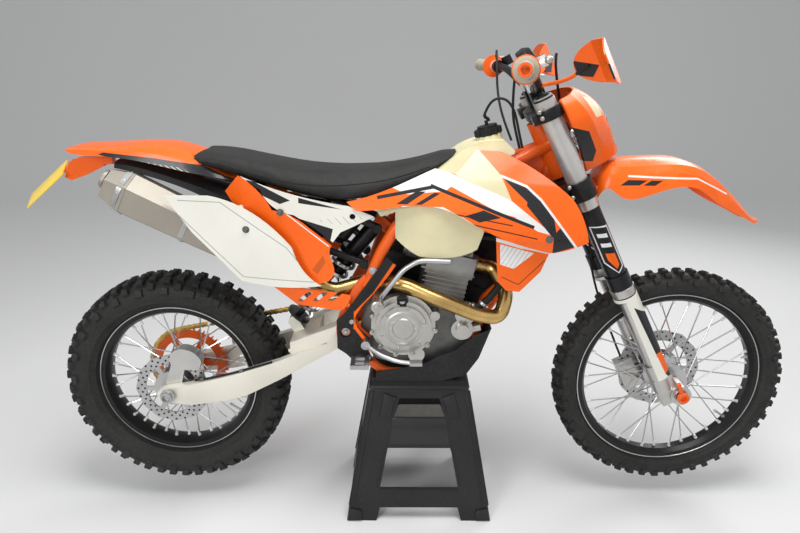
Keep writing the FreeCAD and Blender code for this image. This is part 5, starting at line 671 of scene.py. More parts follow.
front_section = [(0.2686, 0.0204), (0.2808, 0.0206), (0.2815, 0.0260), (0.2860, 0.0340), (0.2875, 0.0345),
    (0.2960, 0.0390), (0.2970, 0.0402), (0.3000, 0.0405), (0.3010, 0.0398), (0.3120, 0.0420),
    (0.3220, 0.0412), (0.3300, 0.0360), (0.3345, 0.0260), (0.3365, 0.0130), (0.3370, 0.0)]
front_knobs = [(0.3360, 0.0120, 6, 0.020, 0.016, 0.014, 0.0), (0.3290, 0.0330, 38, 0.020, 0.017, 0.013, 0.05),
    (0.3365, 0.0, 0, 0.018, 0.018, 0.0135, 0.5), (0.3340, 0.0240, 24, 0.020, 0.015, 0.013, 0.5),
    (0.3200, 0.0405, 66, 0.020, 0.018, 0.006, 0.5)]
front_tyre = knobbly_tyre("front_knobbly_tyre", FRONT_AXLE, front_section, front_knobs, 26)
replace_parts(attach(front_tyre, "front_wheel"), "front_tyre")
print("tyres:", len(rear_tyre.data.polygons), "and", len(front_tyre.data.polygons), "faces")

# %% [markdown]
# The rims are black, and each spoke ends in a bright nipple that stands out of the rim's inner face.
# One nipple is turned and copied round, leaning by turns towards the hub's two flanges.
# A rim lock's nut and a valve stem stand between the spokes of each wheel.

# %% Spoke nipples, rim lock and valve
SPOKES = 36
nipple_silver = finish("plated nipples", (0.86, 0.86, 0.85), 0.35, metal=0.35)


def rim_fittings(name, axle, rim_radius, body):
    well = rim_radius - 0.026
    pieces = []
    for side in (1, -1):
        foot = axle + Vector((0.0, side * 0.005, well - 0.0005))
        rings = [(-0.002, 0.0052), (0.002, 0.0050), (0.0025, 0.0042), (0.015, 0.0040), (0.0155, 0.0026)]
        nipple = lathe(name, foot, Vector((0.0, side * 0.16, -1.0)), rings, 10)
        nipple.data.transform(turned(math.pi / 2 + (math.tau / SPOKES if side > 0 else 0.0), axle))
        pieces.append(ring_of(nipple, SPOKES // 2, axle, name))
    to_body(pieces, name + "_nipples", nipple_silver, body)
    foot = axle + UP * well
    valve = lathe(name, foot, DOWN, [(0.0, 0.006), (0.004, 0.006), (0.0045, 0.0032), (0.030, 0.0032),
        (0.0305, 0.0042), (0.040, 0.0040), (0.041, 0.003)], 14)
    valve.data.transform(turned(math.radians(125), axle))
    lock = join([hex_head(name, foot, DOWN, 0.006, 0.008), drum(name, foot, foot + DOWN * 0.016, 0.003, 12)], name)
    lock.data.transform(turned(math.radians(75), axle))
    to_body([valve, lock], name + "_valve_and_rim_lock", brushed_steel, body)


rim_fittings("rear_rim", REAR_AXLE, 0.241, "rear_wheel")
rim_fittings("front_rim", FRONT_AXLE, 0.280, "front_wheel")
print(2 * SPOKES, "nipples, two valves and two rim locks")

# %% [markdown]
# A drive chain is pairs of waisted plates on pins, narrow and wide links by turns, with a roller on every pin.
# One narrow and one wide link are shaped lying along x, and copies are laid from pin to pin round both sprockets,
# which is how the real one is put together. The pin places come from the sprockets' sizes.

# %% Where the chain's pins lie
PITCH = 0.015875
CHAIN_Y = 0.0840
LINKS = 112
REAR_PITCH_RADIUS = PITCH / (2 * math.sin(math.pi / 48))
DRIVE_PITCH_RADIUS = PITCH / (2 * math.sin(math.pi / 13))
DRIVE = Vector((-0.132, 0.0, 0.618))


def chain_pins(links):
    run = DRIVE - REAR_AXLE
    lean = math.asin((REAR_PITCH_RADIUS - DRIVE_PITCH_RADIUS) / run.length)
    straight = run.length * math.cos(lean)
    start = math.atan2(run.z, run.x) + math.pi / 2 - lean
    half = start + math.pi + 2 * lean
    stages = [(REAR_AXLE, REAR_PITCH_RADIUS, start, math.pi + 2 * lean), (REAR_AXLE, REAR_PITCH_RADIUS, half, 0.0),
        (DRIVE, DRIVE_PITCH_RADIUS, half, math.pi - 2 * lean),
        (DRIVE, DRIVE_PITCH_RADIUS, half + math.pi - 2 * lean, 0.0)]
    lengths = [radius * wrap if wrap else straight for _, radius, _, wrap in stages]
    pins = []
    for link in range(links):
        left, stage = sum(lengths) * link / links, 0
        while left > lengths[stage]:
            left -= lengths[stage]
            stage += 1
        centre, radius, turn, wrap = stages[stage]
        if wrap:
            turn, left = turn + left / radius, 0.0
        outward = Vector((math.cos(turn), 0.0, math.sin(turn)))
        pins.append(centre + outward * radius + Vector((-outward.z, 0.0, outward.x)) * left)
    return pins


pins = chain_pins(LINKS)
print(len(pins), "pins round two sprockets")

# %% [markdown]
# An inner link is two plates with two rollers, and an outer link is two plates with two pins. Each plate has round
# ends and a waist. The finished links are laid along the chain by turns.

# %% Drive chain
def link_plate(y_from, y_to, waist):
    """A plate with two round ends and a waist, along x from the first pin to the second."""
    points = []
    for centre, first in ((0.0, 90), (PITCH, -90)):
        for step in range(7):
            angle = math.radians(first + 30 * step)
            points.append((centre + 0.0072 * math.cos(angle), y_from, 0.0072 * math.sin(angle)))
        points.append((PITCH / 2, y_from, -waist if first == 90 else waist))
    return plate("link", points, (0.0, y_to - y_from, 0.0), 0.0003)


def chain_link(y_from, y_to, waist, bar, reach, radius, sides):
    """Two plates and the bar at each of their ends."""
    parts = [link_plate(side * y_from, side * y_to, waist) for side in (1, -1)]
    return join(parts + [drum(bar, (x, -reach, 0.0), (x, reach, 0.0), radius, sides) for x in (0.0, PITCH)], bar)


pair = (chain_link(0.0042, 0.0055, 0.0058, "roller", 0.0040, 0.0051, 14),
    chain_link(0.0056, 0.0067, 0.0050, "pin", 0.0076, 0.0024, 10))
links = []
for number, start in enumerate(pins):
    along = pins[(number + 1) % LINKS] - start
    tilt = Matrix.Rotation(-math.atan2(along.z, along.x), 4, "Y")
    links.append(copied(pair[number % 2], Matrix.Translation(start + LEFT * CHAIN_Y) @ tilt))
for pattern in pair:
    bpy.data.objects.remove(pattern)
chain = dress(join(links, "linked_drive_chain"), chain_gold)
smooth(chain, 40.0)
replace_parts(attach(chain, "chassis"), "chain")
print("chain of", len(pins), "links,", len(chain.data.polygons), "faces")

# %% [markdown]
# The stripes are printed on film that is moulded into the plastic, so they have no thickness of their own.
# They could be separate thin plates, but paint inside the finish follows every curve of the panel.
# Each painted area is a convex outline in side view, in millimetres, made of one half-plane for each of its edges.
# The design is our own: slanted bars, thin lines and a hatch in the machine's orange, black and white.

# %% Painted areas
SOFT = 0.0005


def along_line(tree, place, direction):
    """How far a place lies along a direction, in metres."""
    return shader_node(tree, "VectorMath", "Value", {0: place, 1: direction}, operation="DOT_PRODUCT")


def area(*points):
    """A convex painted area of (x, z) corners in millimetres, seen from the side."""
    def share(tree, place):
        middle = mm(sum(x for x, _ in points), 0.0, sum(z for _, z in points)) / len(points)
        whole = None
        for (x0, z0), (x1, z1) in zip(points, points[1:] + points[:1]):
            start = mm(x0, 0.0, z0)
            inward = Vector((z0 - z1, 0.0, x1 - x0)).normalized()
            if inward.dot(middle - start) < 0.0:
                inward = -inward
            edge = inward.dot(start)
            inside = between(tree, along_line(tree, place, inward), 0.0, 1.0, edge - SOFT, edge + SOFT)
            whole = inside if whole is None else maths(tree, "MINIMUM", whole, inside)
        return whole
    return share


def line(x0, z0, x1, z1, width):
    """A straight painted line, in millimetres."""
    across = Vector((z0 - z1, x1 - x0)).normalized() * width / 2.0
    return area((x0 - across.x, z0 - across.y), (x1 - across.x, z1 - across.y),
        (x1 + across.x, z1 + across.y), (x0 + across.x, z0 + across.y))


def hatched(region, direction, spacing, width):
    """Thin lines, spacing and width in millimetres, inside a painted area."""
    def share(tree, place):
        far = along_line(tree, place, Vector(direction).normalized())
        wave = maths(tree, "PINGPONG", far, spacing / 2000.0)
        ink = between(tree, wave, 1.0, 0.0, width / 2000.0 - 0.0001, width / 2000.0 + 0.0001)
        return maths(tree, "MINIMUM", region(tree, place), ink)
    return share


def on_sides(region, least):
    """Keeps a painted area to where the surface is at least this far out to a side, in metres."""
    def share(tree, place):
        out = maths(tree, "ABSOLUTE", shader_node(tree, "SeparateXYZ", "Y", {0: place}))
        far_out = between(tree, out, 0.0, 1.0, least - SOFT, least + SOFT)
        return maths(tree, "MINIMUM", region(tree, place), far_out)
    return share


# %% [markdown]
# A print is a list of layers in one order, the last on top, and each layer is an area with a colour.
# The panel gets its own copy of the finish, so that only it wears the print.

# %% Inks and layers
INK = (0.012, 0.012, 0.014)
WHITE = (0.82, 0.82, 0.80)
ORANGE = (0.95, 0.135, 0.004)
CREAM = (0.70, 0.64, 0.40)
GREY = (0.30, 0.30, 0.30)
RUST = (0.62, 0.10, 0.006)


def areas(colour, *outlines):
    return [(area(*points), colour) for points in outlines]


def lines(colour, width, *ends):
    """Straight lines of one colour and width, each (x0, z0, x1, z1)."""
    return [(line(*places, width), colour) for places in ends]


def printed(node, plain, name, layers):
    """Gives a CAD node its own copy of a finish, with layers of print on it."""
    film = plain.copy()
    film.name = name
    dress(nodes[node], repaint(film, layers))
    return film


print("five inks and a rust tone")

# %% [markdown]
# The shroud's print runs from the seat to the wing's tip: a white band along the top with a thin dark line under it,
# three slanted bars, a dark blade on the wing and a white strip along the lower edge.

# %% Print on the shrouds
TIP = ((207, 884), (300, 858), (247, 815), (210, 827))
printed("shrouds", orange_plastic, "printed shroud plastic", [
    *areas(CREAM, ((24, 1096), (103, 1052), (183, 1020), (232, 1000), (207, 1060), (146, 1126), (110, 1140))),
    *areas(WHITE, ((-90, 1030), (23, 1086), (102, 1052), (60, 1020), (-40, 1010)),
        ((60, 1040), (102, 1052), (200, 1014), (262, 956), (200, 970)),
        ((200, 1014), (232, 1000), (344, 914), (300, 925), (240, 960))),
    *lines(INK, 9, (-120, 1000, 30, 1030), (22, 1033, 290, 935)),
    *areas(INK, ((-70, 985), (-40, 985), (10, 1018), (-16, 1018)), ((-20, 985), (-2, 985), (48, 1014), (32, 1016)),
        ((112, 960), (150, 944), (205, 958), (160, 976))),
    *lines(INK, 3, (60, 968, 235, 938), (120, 940, 300, 905)),
    *areas(INK, ((207, 1058), (277, 1030), (296, 975), (234, 1033)),
        ((277, 1030), (338, 968), (350, 905), (336, 912), (270, 990)),
        ((338, 968), (396, 886), (345, 866), (308, 872), (340, 915))),
    *lines(WHITE, 6, (205, 1060, 272, 1036), (270, 1037, 306, 1005), (304, 1008, 402, 882)),
    *lines(WHITE, 9, (-54, 976, 52, 976), (50, 978, 106, 950), (102, 953, 192, 897), (188, 899, 270, 874)),
    *lines(WHITE, 8, (266, 876, 352, 856)),
    *areas(WHITE, TIP),
    (hatched(area(*TIP), (1.0, 0.0, -0.6), 11.0, 1.2), GREY),
    *lines(INK, 2, (215, 792, 262, 770), (262, 770, 330, 838)),
    ])
print("printed the shrouds")

# %% [markdown]
# The side plates are white with a dark wedge under the seat; the rear fender has a dark flank with a pale hatch.
# The number panel itself is left blank, with only a thin dark line set in from its edge.

# %% Print on the side plates, fenders and mask
printed("number_panels", white_plastic, "printed side panel plastic", [
    *areas(INK, ((-352, 950), (-240, 914), (-248, 880), (-277, 900)),
        ((-470, 1046), (-445, 1040), (-352, 992), (-380, 982), (-422, 1002)),
        ((-330, 1000), (-215, 968), (-330, 985))),
    (hatched(area((-340, 958), (-200, 950), (-110, 962), (-200, 925), (-260, 930)), (1.0, 0.0, 0.9), 17.0, 1.2), GREY),
    *lines(GREY, 2, (-640, 1000, -528, 996), (-528, 996, -362, 872), (-362, 872, -290, 772), (-290, 772, -480, 792),
        (-480, 792, -640, 960)),
    ])
printed("side_covers", orange_plastic, "printed side cover plastic", [
    *lines(WHITE, 3, (-430, 1010, -330, 930), (-330, 930, -252, 866)),
    *areas(RUST, ((-300, 800), (-268, 842), (-262, 820), (-286, 786))),
    ])
FLANK_OUT = 0.088
flank = area((-930, 1120), (-712, 1100), (-582, 1080), (-491, 1060), (-440, 1005), (-586, 1040), (-716, 1066),
    (-900, 1103))
flank_hatch = hatched(area((-760, 1092), (-640, 1075), (-600, 1050), (-716, 1070)), (1.0, 0.0, 1.4), 7.0, 1.6)
printed("rear_fender", orange_plastic, "printed rear fender plastic",
    [(on_sides(flank, FLANK_OUT), INK), (on_sides(flank_hatch, FLANK_OUT), CREAM)])
printed("front_fender", orange_plastic, "printed front fender plastic", [
    *lines(WHITE, 5, (560, 1050, 742, 1046)), *lines(WHITE, 4, (742, 1046, 838, 1000)),
    *areas(INK, ((560, 1040), (610, 1040), (590, 1026), (540, 1024)),
        ((620, 1040), (650, 1040), (630, 1026), (600, 1026))),
    ])
printed("headlight_mask", orange_plastic, "printed mask plastic", [
    *areas(INK, ((378, 1186), (431, 1174), (463, 1120), (460, 1090), (424, 1092), (391, 1146))),
    *areas(CREAM, ((414, 1262), (446, 1250), (474, 1212), (452, 1208))),
    ])
print("printed the side plates, both fenders and the mask")

# %% [markdown]
# The fork's tubes wear dark film with a panel outlined in white, and the white guard in front of each slider has a
# dark inset over an orange block. All of it is paint in the finish again, drawn along the fork's line.

# %% Print on the fork and its guards
def fork_area(*points):
    """A convex area by (ahead, up) along the fork, in millimetres."""
    places = [1000.0 * at_fork(ahead, 0.0, up) for ahead, up in points]
    return area(*[(place.x, place.z) for place in places])


film = printed("fork_outer_tubes", silver_alloy, "fork tube with film", [
    (fork_area((-60, 385), (-60, 640), (80, 640), (80, 385)), INK),
    (fork_area((0, 596), (46, 580), (46, 452), (26, 438), (0, 480)), WHITE),
    (fork_area((3, 592), (43, 576), (43, 454), (26, 442), (3, 482)), INK),
    (fork_area((10, 570), (36, 560), (36, 548), (10, 558)), WHITE),
    (fork_area((10, 540), (36, 530), (36, 518), (10, 528)), WHITE),
    (fork_area((12, 508), (36, 498), (36, 462), (26, 452), (12, 486)), ORANGE),
    ])
film.node_tree.nodes["Principled BSDF"].inputs["Metallic"].default_value = 0.55
printed("fork_guards", white_plastic, "printed fork guard plastic", [
    (fork_area((34, 150), (26, 326), (90, 250), (90, 150)), INK),
    (fork_area((38, 88), (34, 162), (90, 150), (90, 96)), ORANGE),
    (fork_area((46, 70), (38, 90), (90, 98), (90, 74)), INK),
    ])
print("fork film and guard print")

# %% [markdown]
# An open engine is most of what the eye reads as a motorcycle, so its castings get what a foundry and a fitter leave:
# screws round each cover, raised rings, ribs, a filler cap, hoses and clamps.
# They could be carved into the CAD solids, but they are small turned and extruded pieces that sit on them.

# %% The clutch cover and its screws
COVER_X = -49
COVER_Z = 625


def round_places(x, y, z, radius, angles):
    """Places on a circle that faces the machine's side, in millimetres."""
    return [mm(x + radius * math.cos(angle), y, z + radius * math.sin(angle)) for angle in angles]


rim_screws = round_places(COVER_X, -116.2, COVER_Z, 92, [math.pi * (0.9 + 1.22 * k / 7) for k in range(8)])
face_screws = round_places(COVER_X, -135.8, COVER_Z, 62, [math.tau * (k + 0.3) / 6 for k in range(6)])
screws = [hex_head("screw", place, RIGHT, 0.0048, 0.006) for place in rim_screws]
screws += [bolt("screw", place, RIGHT, 0.0045, 0.004) for place in face_screws]
to_body(screws, "clutch_cover_screws", brushed_steel)

face = [lathe("face", mm(COVER_X, -135.9, COVER_Z), RIGHT, [
    (0.0, 0.053), (0.0015, 0.053), (0.004, 0.049), (0.004, 0.044), (0.0022, 0.043), (0.0022, 0.031),
    (0.0045, 0.029), (0.0045, 0.002)], 64)]
face += [drum("rib", mm(COVER_X - 40, -137.6, z), mm(COVER_X + 40, -137.6, z), 0.0014, 8) for z in (606, 625, 644)]
to_body(face, "clutch_cover_face", bright_alloy)

cap = [lathe("filler", mm(-52, -118.0, 704), RIGHT, [(0.0, 0.015), (0.010, 0.015), (0.012, 0.012), (0.012, 0.008),
    (0.007, 0.007)], 28)]
cap += [lathe("lobe", place, RIGHT, [(0.0, 0.004), (0.011, 0.004), (0.012, 0.003)], 10)
    for place in round_places(-52, -118.0, 704, 13, [k * math.tau / 7 for k in range(7)])]
to_body(cap, "oil_filler_cap", black_plastic)
print("clutch cover dressed")

# %% [markdown]
# The water pump sits ahead of the clutch: a round housing with five screws, a ribbed snout and a hose that
# climbs to the radiator. Two more hoses join the cylinder head to the radiators, each held by a worm-drive clamp.

# %% Water pump, hoses and clamps
pump = [lathe("pump", mm(127, -116.0, 663), RIGHT, [(0.0, 0.031), (0.006, 0.031), (0.009, 0.028), (0.012, 0.017),
    (0.015, 0.012), (0.015, 0.002)], 40)]
pump += [bolt("screw", place, RIGHT, 0.0040, 0.004)
    for place in round_places(127, -120.0, 663, 27, [math.radians(20 + 72 * k) for k in range(5)])]
pump.append(soft_edges(drum("snout", mm(104, -114, 690), mm(152, -114, 682), 0.0125, 20), 0.003))
pump += [drum("rib", mm(108 + 9 * k, -114, 689.3 - 1.5 * k), mm(110 + 9 * k, -114, 689.0 - 1.5 * k), 0.0142, 20)
    for k in range(5)]
to_body(pump, "water_pump_cover", bright_alloy)


def hose(name, points, radius):
    """A bent hose of black rubber, round along a smooth line of places in millimetres."""
    return to_body([smooth(pipe(name, [mm(*point) for point in points], radius), 60.0)], name, black_rubber)


def clamp(place, toward, radius):
    """A worm-drive clamp round a hose: a thin band with a small screw box."""
    toward = Vector(toward).normalized()
    wide = radius + 0.0012
    band = lathe("clamp", place - toward * 0.004, toward,
        [(0.0, radius), (0.0005, wide), (0.0075, wide), (0.008, radius)], 24)
    worm = place + toward.cross(RIGHT).normalized() * (radius + 0.003)
    box = drum("worm", worm - RIGHT * 0.005, worm + RIGHT * 0.008, 0.0035, 8)
    return to_body([band, box], "hose_clamp", brushed_steel)


hose("lower_coolant_hose", [(152, -114, 682), (176, -114, 690), (205, -108, 722), (228, -100, 752), (246, -96, 775)],
    0.0105)
clamp(mm(176, -113, 694), (0.6, 0.0, 0.8), 0.0108)
clamp(mm(238, -98, 764), (0.7, 0.1, 0.8), 0.0108)
for side in (-1, 1):
    hose("upper_coolant_hose", [(68, side * 52, 872), (104, side * 66, 884), (150, side * 88, 888),
        (214, side * 96, 880), (262, side * 96, 884)], 0.0100)
    clamp(mm(84, side * 58, 879), (0.8, side * 0.3, 0.3), 0.0104)
print("pump, three hoses and clamps")

# %% [markdown]
# The cylinder is water-cooled: a smooth jacket with a few stiffening ribs, a head held by screws, and a cam cover.
# It leans forward, so its pieces are placed along its own two directions from the foot of the head.

# %% Cylinder and head
LEAN = math.radians(12.0)
CYLINDER_UP = Vector((math.sin(LEAN), 0.0, math.cos(LEAN)))
CYLINDER_AHEAD = Vector((math.cos(LEAN), 0.0, -math.sin(LEAN)))
CYLINDER_FOOT = mm(62, 0, 700)
HEAD_FOOT = CYLINDER_FOOT + CYLINDER_UP * 0.105


def rounded_block(name, centre, size, radius, angle=LEAN):
    """A block with eased edges, turned in side view."""
    clear()
    bpy.ops.mesh.primitive_cube_add(size=1.0)
    block = bpy.context.object
    block.name = name
    block.scale = size
    settle(block)
    soft_edges(block, radius)
    block.data.transform(Matrix.Translation(centre) @ Matrix.Rotation(angle, 4, "Y"))
    return block


def in_head(ahead, left, up):
    return HEAD_FOOT + CYLINDER_AHEAD * ahead + LEFT * left + CYLINDER_UP * up


ribs = [rounded_block("rib", CYLINDER_FOOT + CYLINDER_UP * (0.0135 * k - 0.020), (0.134, 0.130, 0.003), 0.0012)
    for k in range(7)]
to_body(ribs, "cylinder_ribs", cast_alloy)
cover = [rounded_block("joint", in_head(0.0, 0.0, -0.030), (0.156, 0.146, 0.005), 0.0015),
    rounded_block("cam cover", in_head(0.0, 0.0, 0.034), (0.118, 0.120, 0.030), 0.010)]
for side in (-1, 1):
    for ahead in (-0.062, -0.021, 0.021, 0.062):
        cover.append(bolt("screw", in_head(ahead, side * 0.0685, -0.010), LEFT * side, 0.0050, 0.005))
    cover.append(lathe("core plug", in_head(0.020, side * 0.068, 0.012), LEFT * side,
        [(0.0, 0.018), (0.004, 0.018), (0.006, 0.015), (0.006, 0.009), (0.003, 0.008)], 28))
to_body(cover, "cylinder_head_castings", cast_alloy)
print(len(ribs), "ribs and", len(cover), "pieces on the head")

# %% [markdown]
# A rubber boot with rings joins the head to the airbox behind it, with the throttle body between them.
# Each is turned in one piece on the line from the head's back.

# %% Throttle body, intake boot and plug cap
throttle = in_head(-0.076, 0.0, 0.0)
intake = lathe("intake", throttle, -CYLINDER_AHEAD + UP * 0.10, [
    (0.0, 0.024), (0.012, 0.026), (0.013, 0.031), (0.045, 0.031), (0.046, 0.027), (0.058, 0.027)], 32)
to_body([intake], "throttle_body", cast_alloy)
boot = lathe("boot", throttle - CYLINDER_AHEAD * 0.056 + UP * 0.006, -CYLINDER_AHEAD + UP * 0.12, [
    (0.0, 0.028), (0.006, 0.030), (0.008, 0.027), (0.014, 0.032), (0.018, 0.029), (0.026, 0.034),
    (0.030, 0.031), (0.044, 0.036)], 32)
to_body([boot], "intake_boot", black_rubber)
cap = lathe("plug cap", in_head(0.0, 0.0, 0.046), CYLINDER_UP,
    [(0.0, 0.011), (0.014, 0.011), (0.016, 0.008), (0.022, 0.008)], 20)
to_body([cap], "spark_plug_cap", black_rubber)
print("intake and plug cap")

# %% [markdown]
# Bolts with flanges hold the frame guards and the engine, and the kick lever folds on a knuckle with a bolt
# through it. All are turned heads over washers.

# %% Frame bolts and the kick lever's knuckle
fasteners = [hex_head("frame bolt", mm(x, side * y, z), LEFT * side, 0.0075, 0.007) for side in (-1, 1)
    for x, z, y in ((-214, 606, 112), (-134, 792, 118), (-196, 640, 118), (-150, 528, 118))]
to_body(fasteners, "frame_bolts", brushed_steel)
knuckle = [lathe("knuckle", mm(-120, -168, 712), RIGHT, [(0.0, 0.017), (0.026, 0.017), (0.028, 0.014)], 28),
    hex_head("knuckle bolt", mm(-120, -196, 712), RIGHT, 0.0075, 0.006)]
to_body(knuckle, "kick_lever_knuckle", bright_alloy)
print("frame bolts and kick knuckle")

# %% [markdown]
# The fork: polished outer tubes with a pale wear band and a film panel outlined in white, dust seals at their lower
# ends, clamp bolts in both yokes, and an axle pinched in the feet. The near foot carries an orange axle knob.
# Rings are turned on the tube's own line, and bolts point across the clamps' slots.

# %% Fork tubes, clamps and feet
FORK_HALF = 100
FORK_AXIS = 22
RINGS = ((False, ((0.640, 0.0300), (0.641, 0.0312), (0.672, 0.0312), (0.673, 0.0300))),
    (False, ((0.362, 0.0300), (0.363, 0.0335), (0.372, 0.0345), (0.386, 0.0345), (0.388, 0.0300))),
    (True, ((0.345, 0.0270), (0.346, 0.0325), (0.352, 0.0335), (0.360, 0.0325), (0.362, 0.0270))),
    (True, ((0.676, 0.0300), (0.677, 0.0306), (0.690, 0.0306), (0.691, 0.0300))))
tubes, pale, trim = [], [], []
for side in (-1, 1):
    at = at_fork(FORK_AXIS, side * FORK_HALF, 0)
    for dark, rings in RINGS:
        base = rings[0][0]
        ring = lathe("ring", at + FORK_UP * base, FORK_UP, [(s - base, r) for s, r in rings], 40)
        (tubes if dark else pale).append(ring)
    trim.append(lathe("fork cap", at + FORK_UP * 0.958, FORK_UP, [
        (0.0, 0.0275), (0.004, 0.0270), (0.005, 0.0200), (0.013, 0.0190), (0.014, 0.0060), (0.020, 0.0055)], 30))
to_body(tubes, "fork_seals_and_tapes", black_rubber, "steering")
to_body(pale, "fork_wear_bands", silver_alloy, "steering")
to_body(trim, "fork_caps", black_alloy, "steering")

pinch = []
for side in (-1, 1):
    for low, count in ((0.684, 3), (0.912, 2)):
        for index in range(count):
            spot = at_fork(-12, side * (126 if low < 0.8 else 122), 0) + FORK_UP * (low + 0.015 * index)
            pinch.append(bolt("pinch bolt", spot + FORK_AHEAD * 0.020, LEFT * side, 0.0055, 0.006))
            spot = at_fork(-20, side * 104, 0) + FORK_UP * (low + 0.015 * index)
            pinch.append(hex_head("pinch bolt", spot, -FORK_AHEAD, 0.0050, 0.006))
    for up in (18, 42):
        pinch.append(bolt("axle pinch bolt", at_fork(-4, side * 104, up), -FORK_AHEAD, 0.0045, 0.006))
to_body(pinch, "fork_pinch_bolts", silver_alloy, "steering")
knob_at = mm(768, -138, 410)
knob_body = [lathe("axle knob", knob_at, RIGHT, [
    (0.0, 0.012), (0.002, 0.0170), (0.010, 0.0170), (0.012, 0.0150), (0.013, 0.0090), (0.006, 0.0085)], 36)]
lever_end = mm(768, -144, 410) + FORK_UP * 0.052 + FORK_AHEAD * 0.004
knob_body.append(soft_edges(drum("axle lever", knob_at + RIGHT * 0.004, lever_end, 0.0058, 14), 0.001, 1))
to_body(knob_body, "front_axle_knob", orange_paint, "steering")
print("fork dressed")

# %% [markdown]
# Grips are moulded rubber: a wide flange at the inner end, raised rings along the body and a closed cap at the end.
# The near one is seen end-on, pale with an orange ring, so each grip is turned as one profile on the bar's own line,
# from where the CAD grip starts to where it ends.

# %% Grips and bar ends
grip_rubber = finish("pale grip rubber", (0.40, 0.36, 0.27), 0.55, cloud=30.0, contrast=0.10, grain=1400.0,
    depth=0.00006)
near_side = [v.co.copy() for v in nodes["grips"].data.vertices if v.co.y < 0.0]
tip = min(near_side, key=lambda v: v.y).y
inner_end = max(near_side, key=lambda v: v.y).y
ends = [[v for v in near_side if abs(v.y - y) < 0.012] for y in (tip, inner_end)]
middles = [sum(group, Vector()) / len(group) for group in ends]
outward = (middles[0] - middles[1]).normalized()
start = middles[1] - outward * 0.004
length = (middles[0] - start).length
rings = [(0.0, 0.0135), (0.0005, 0.0300), (0.0045, 0.0305), (0.0055, 0.0290), (0.0065, 0.0185)]
for index in range(14):
    along = 0.009 + index * (length - 0.018) / 14
    rings += [(along, 0.0168), (along + 0.0022, 0.0178), (along + 0.0052, 0.0178), (along + 0.0066, 0.0168)]
rings += [(length - 0.004, 0.0172), (length - 0.003, 0.0190), (length + 0.002, 0.0190), (length + 0.004, 0.0170)]
grip = dress(lathe("near_grip", start, outward, rings, 36), grip_rubber)
both_grips = join([grip, mirrored(grip, "far_grip")], "rubber_grips")
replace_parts(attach(both_grips, "steering"), "grips")
end_rings = [
    lathe("ring", start + outward * (length + 0.0030), outward,
        [(0.0, 0.0150), (0.0015, 0.0155), (0.0035, 0.0150), (0.0036, 0.0100), (0.0010, 0.0095)], 36),
    lathe("ring", start - outward * 0.0062, outward,
        [(0.0, 0.0150), (0.0005, 0.0330), (0.0045, 0.0335), (0.0055, 0.0320), (0.0056, 0.0150)], 40)]
to_body(end_rings + [mirrored(piece, "ring") for piece in end_rings], "grip_rings", orange_paint, "steering")
print("grip length", round(length, 3))

# %% [markdown]
# A small trip computer stands on two legs in front of the bar, tipped towards the rider, and the bar's clamps are
# held by eight screws. The dial is one block with eased edges.

# %% Trip computer and bar clamp screws
dial_at = at_fork(40, 0, 1062)
dial = rounded_block("dial", dial_at, (0.030, 0.096, 0.052), 0.006, math.radians(-40))
legs = [drum("leg", at_fork(34, y, 996), dial_at + mm(0, y, -4), 0.0045, 16) for y in (-27, 27)]
to_body([dial, *legs], "trip_computer", black_plastic, "steering")
bar_bolts = [bolt("clamp bolt", at_fork(ahead, y, 1006), FORK_UP, 0.0042, 0.006)
    for y in (-54, -30, 30, 54) for ahead in (14.8, 51.6)]
to_body(bar_bolts, "bar_clamp_bolts", brushed_steel, "steering")
print("bar fittings done")

# %% [markdown]
# The control cables run from the bar down to the frame, the brake hose runs down the fork, and the tank's breather
# curls into the steering stem. Each lies on the same route as its plain solid: one smooth spline through a few
# control points, round in section. Those that cross the steering become meshes that ride on no body.

# %% Helpers for cords
def spline_path(name, points):
    """The line that a spline with these control points follows, as places close together, and its length."""
    bare = tube(name, points, 0.0)
    shape = bpy.data.meshes.new_from_object(bare.evaluated_get(bpy.context.evaluated_depsgraph_get()))
    path = [corner.co.copy() for corner in shape.vertices]
    bpy.data.objects.remove(bare)
    return path, sum((b - a).length for a, b in zip(path, path[1:]))


def cord(name, points, radius, body=None):
    """A round cord through places in metres, which rides on one body, or is made a mesh that stays in place without
    one.
    """
    piece = tube(name, points, radius)
    piece.data.use_fill_caps = True
    dress(piece, black_rubber)
    path, length = spline_path(name, points)
    if body:
        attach(piece, body)
    else:
        take(piece)
        bpy.ops.object.convert(target="MESH")
        piece = smooth(bpy.context.object, 60.0)
        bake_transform(piece)
    return piece


# %% [markdown]
# Two cables cross the steering and are meshes that ride on no body. The breather stays on the tank, with a short
# spigot at its foot, and the brake hose stays on the fork, its route drawn in shares along and across it.

# %% Cables and hoses
CORD_RADIUS = 0.0035
ROUTES = {
    "throttle_cable": [(236, -252, 1352), (232, -222, 1372), (226, -186, 1352), (224, -158, 1312),
        (225, -143, 1262), (231, -118, 1212), (246, -92, 1166), (262, -68, 1124)],
    "clutch_hose": [(234, 258, 1356), (230, 228, 1380), (226, 192, 1364), (224, 162, 1322),
        (225, 144, 1270), (232, 119, 1218), (246, 94, 1170), (262, 68, 1128)],
    "breather_hose_line": [(172, -6, 1206), (180, -12, 1232), (201, -18, 1252), (230, -24, 1248),
        (250, -28, 1219), (260, -31, 1182), (268, -33, 1148), (276, -35, 1119)],
}
BRAKE_ROUTE = [(0.66, -1.98, 0.985), (0.76, -1.50, 0.965), (0.74, -1.05, 0.93), (0.72, -0.55, 0.885), (0.70, 0.0, 0.83),
    (0.65, 0.40, 0.765), (0.62, 0.60, 0.695), (0.60, 0.655, 0.625), (0.48, 0.66, 0.55), (0.18, 0.635, 0.465),
    (-0.14, 0.625, 0.375), (-0.28, 0.635, 0.28), (-0.34, 0.66, 0.185), (-0.37, 0.685, 0.0745)]
routes = {name: [mm(*point) for point in route] for name, route in ROUTES.items()}
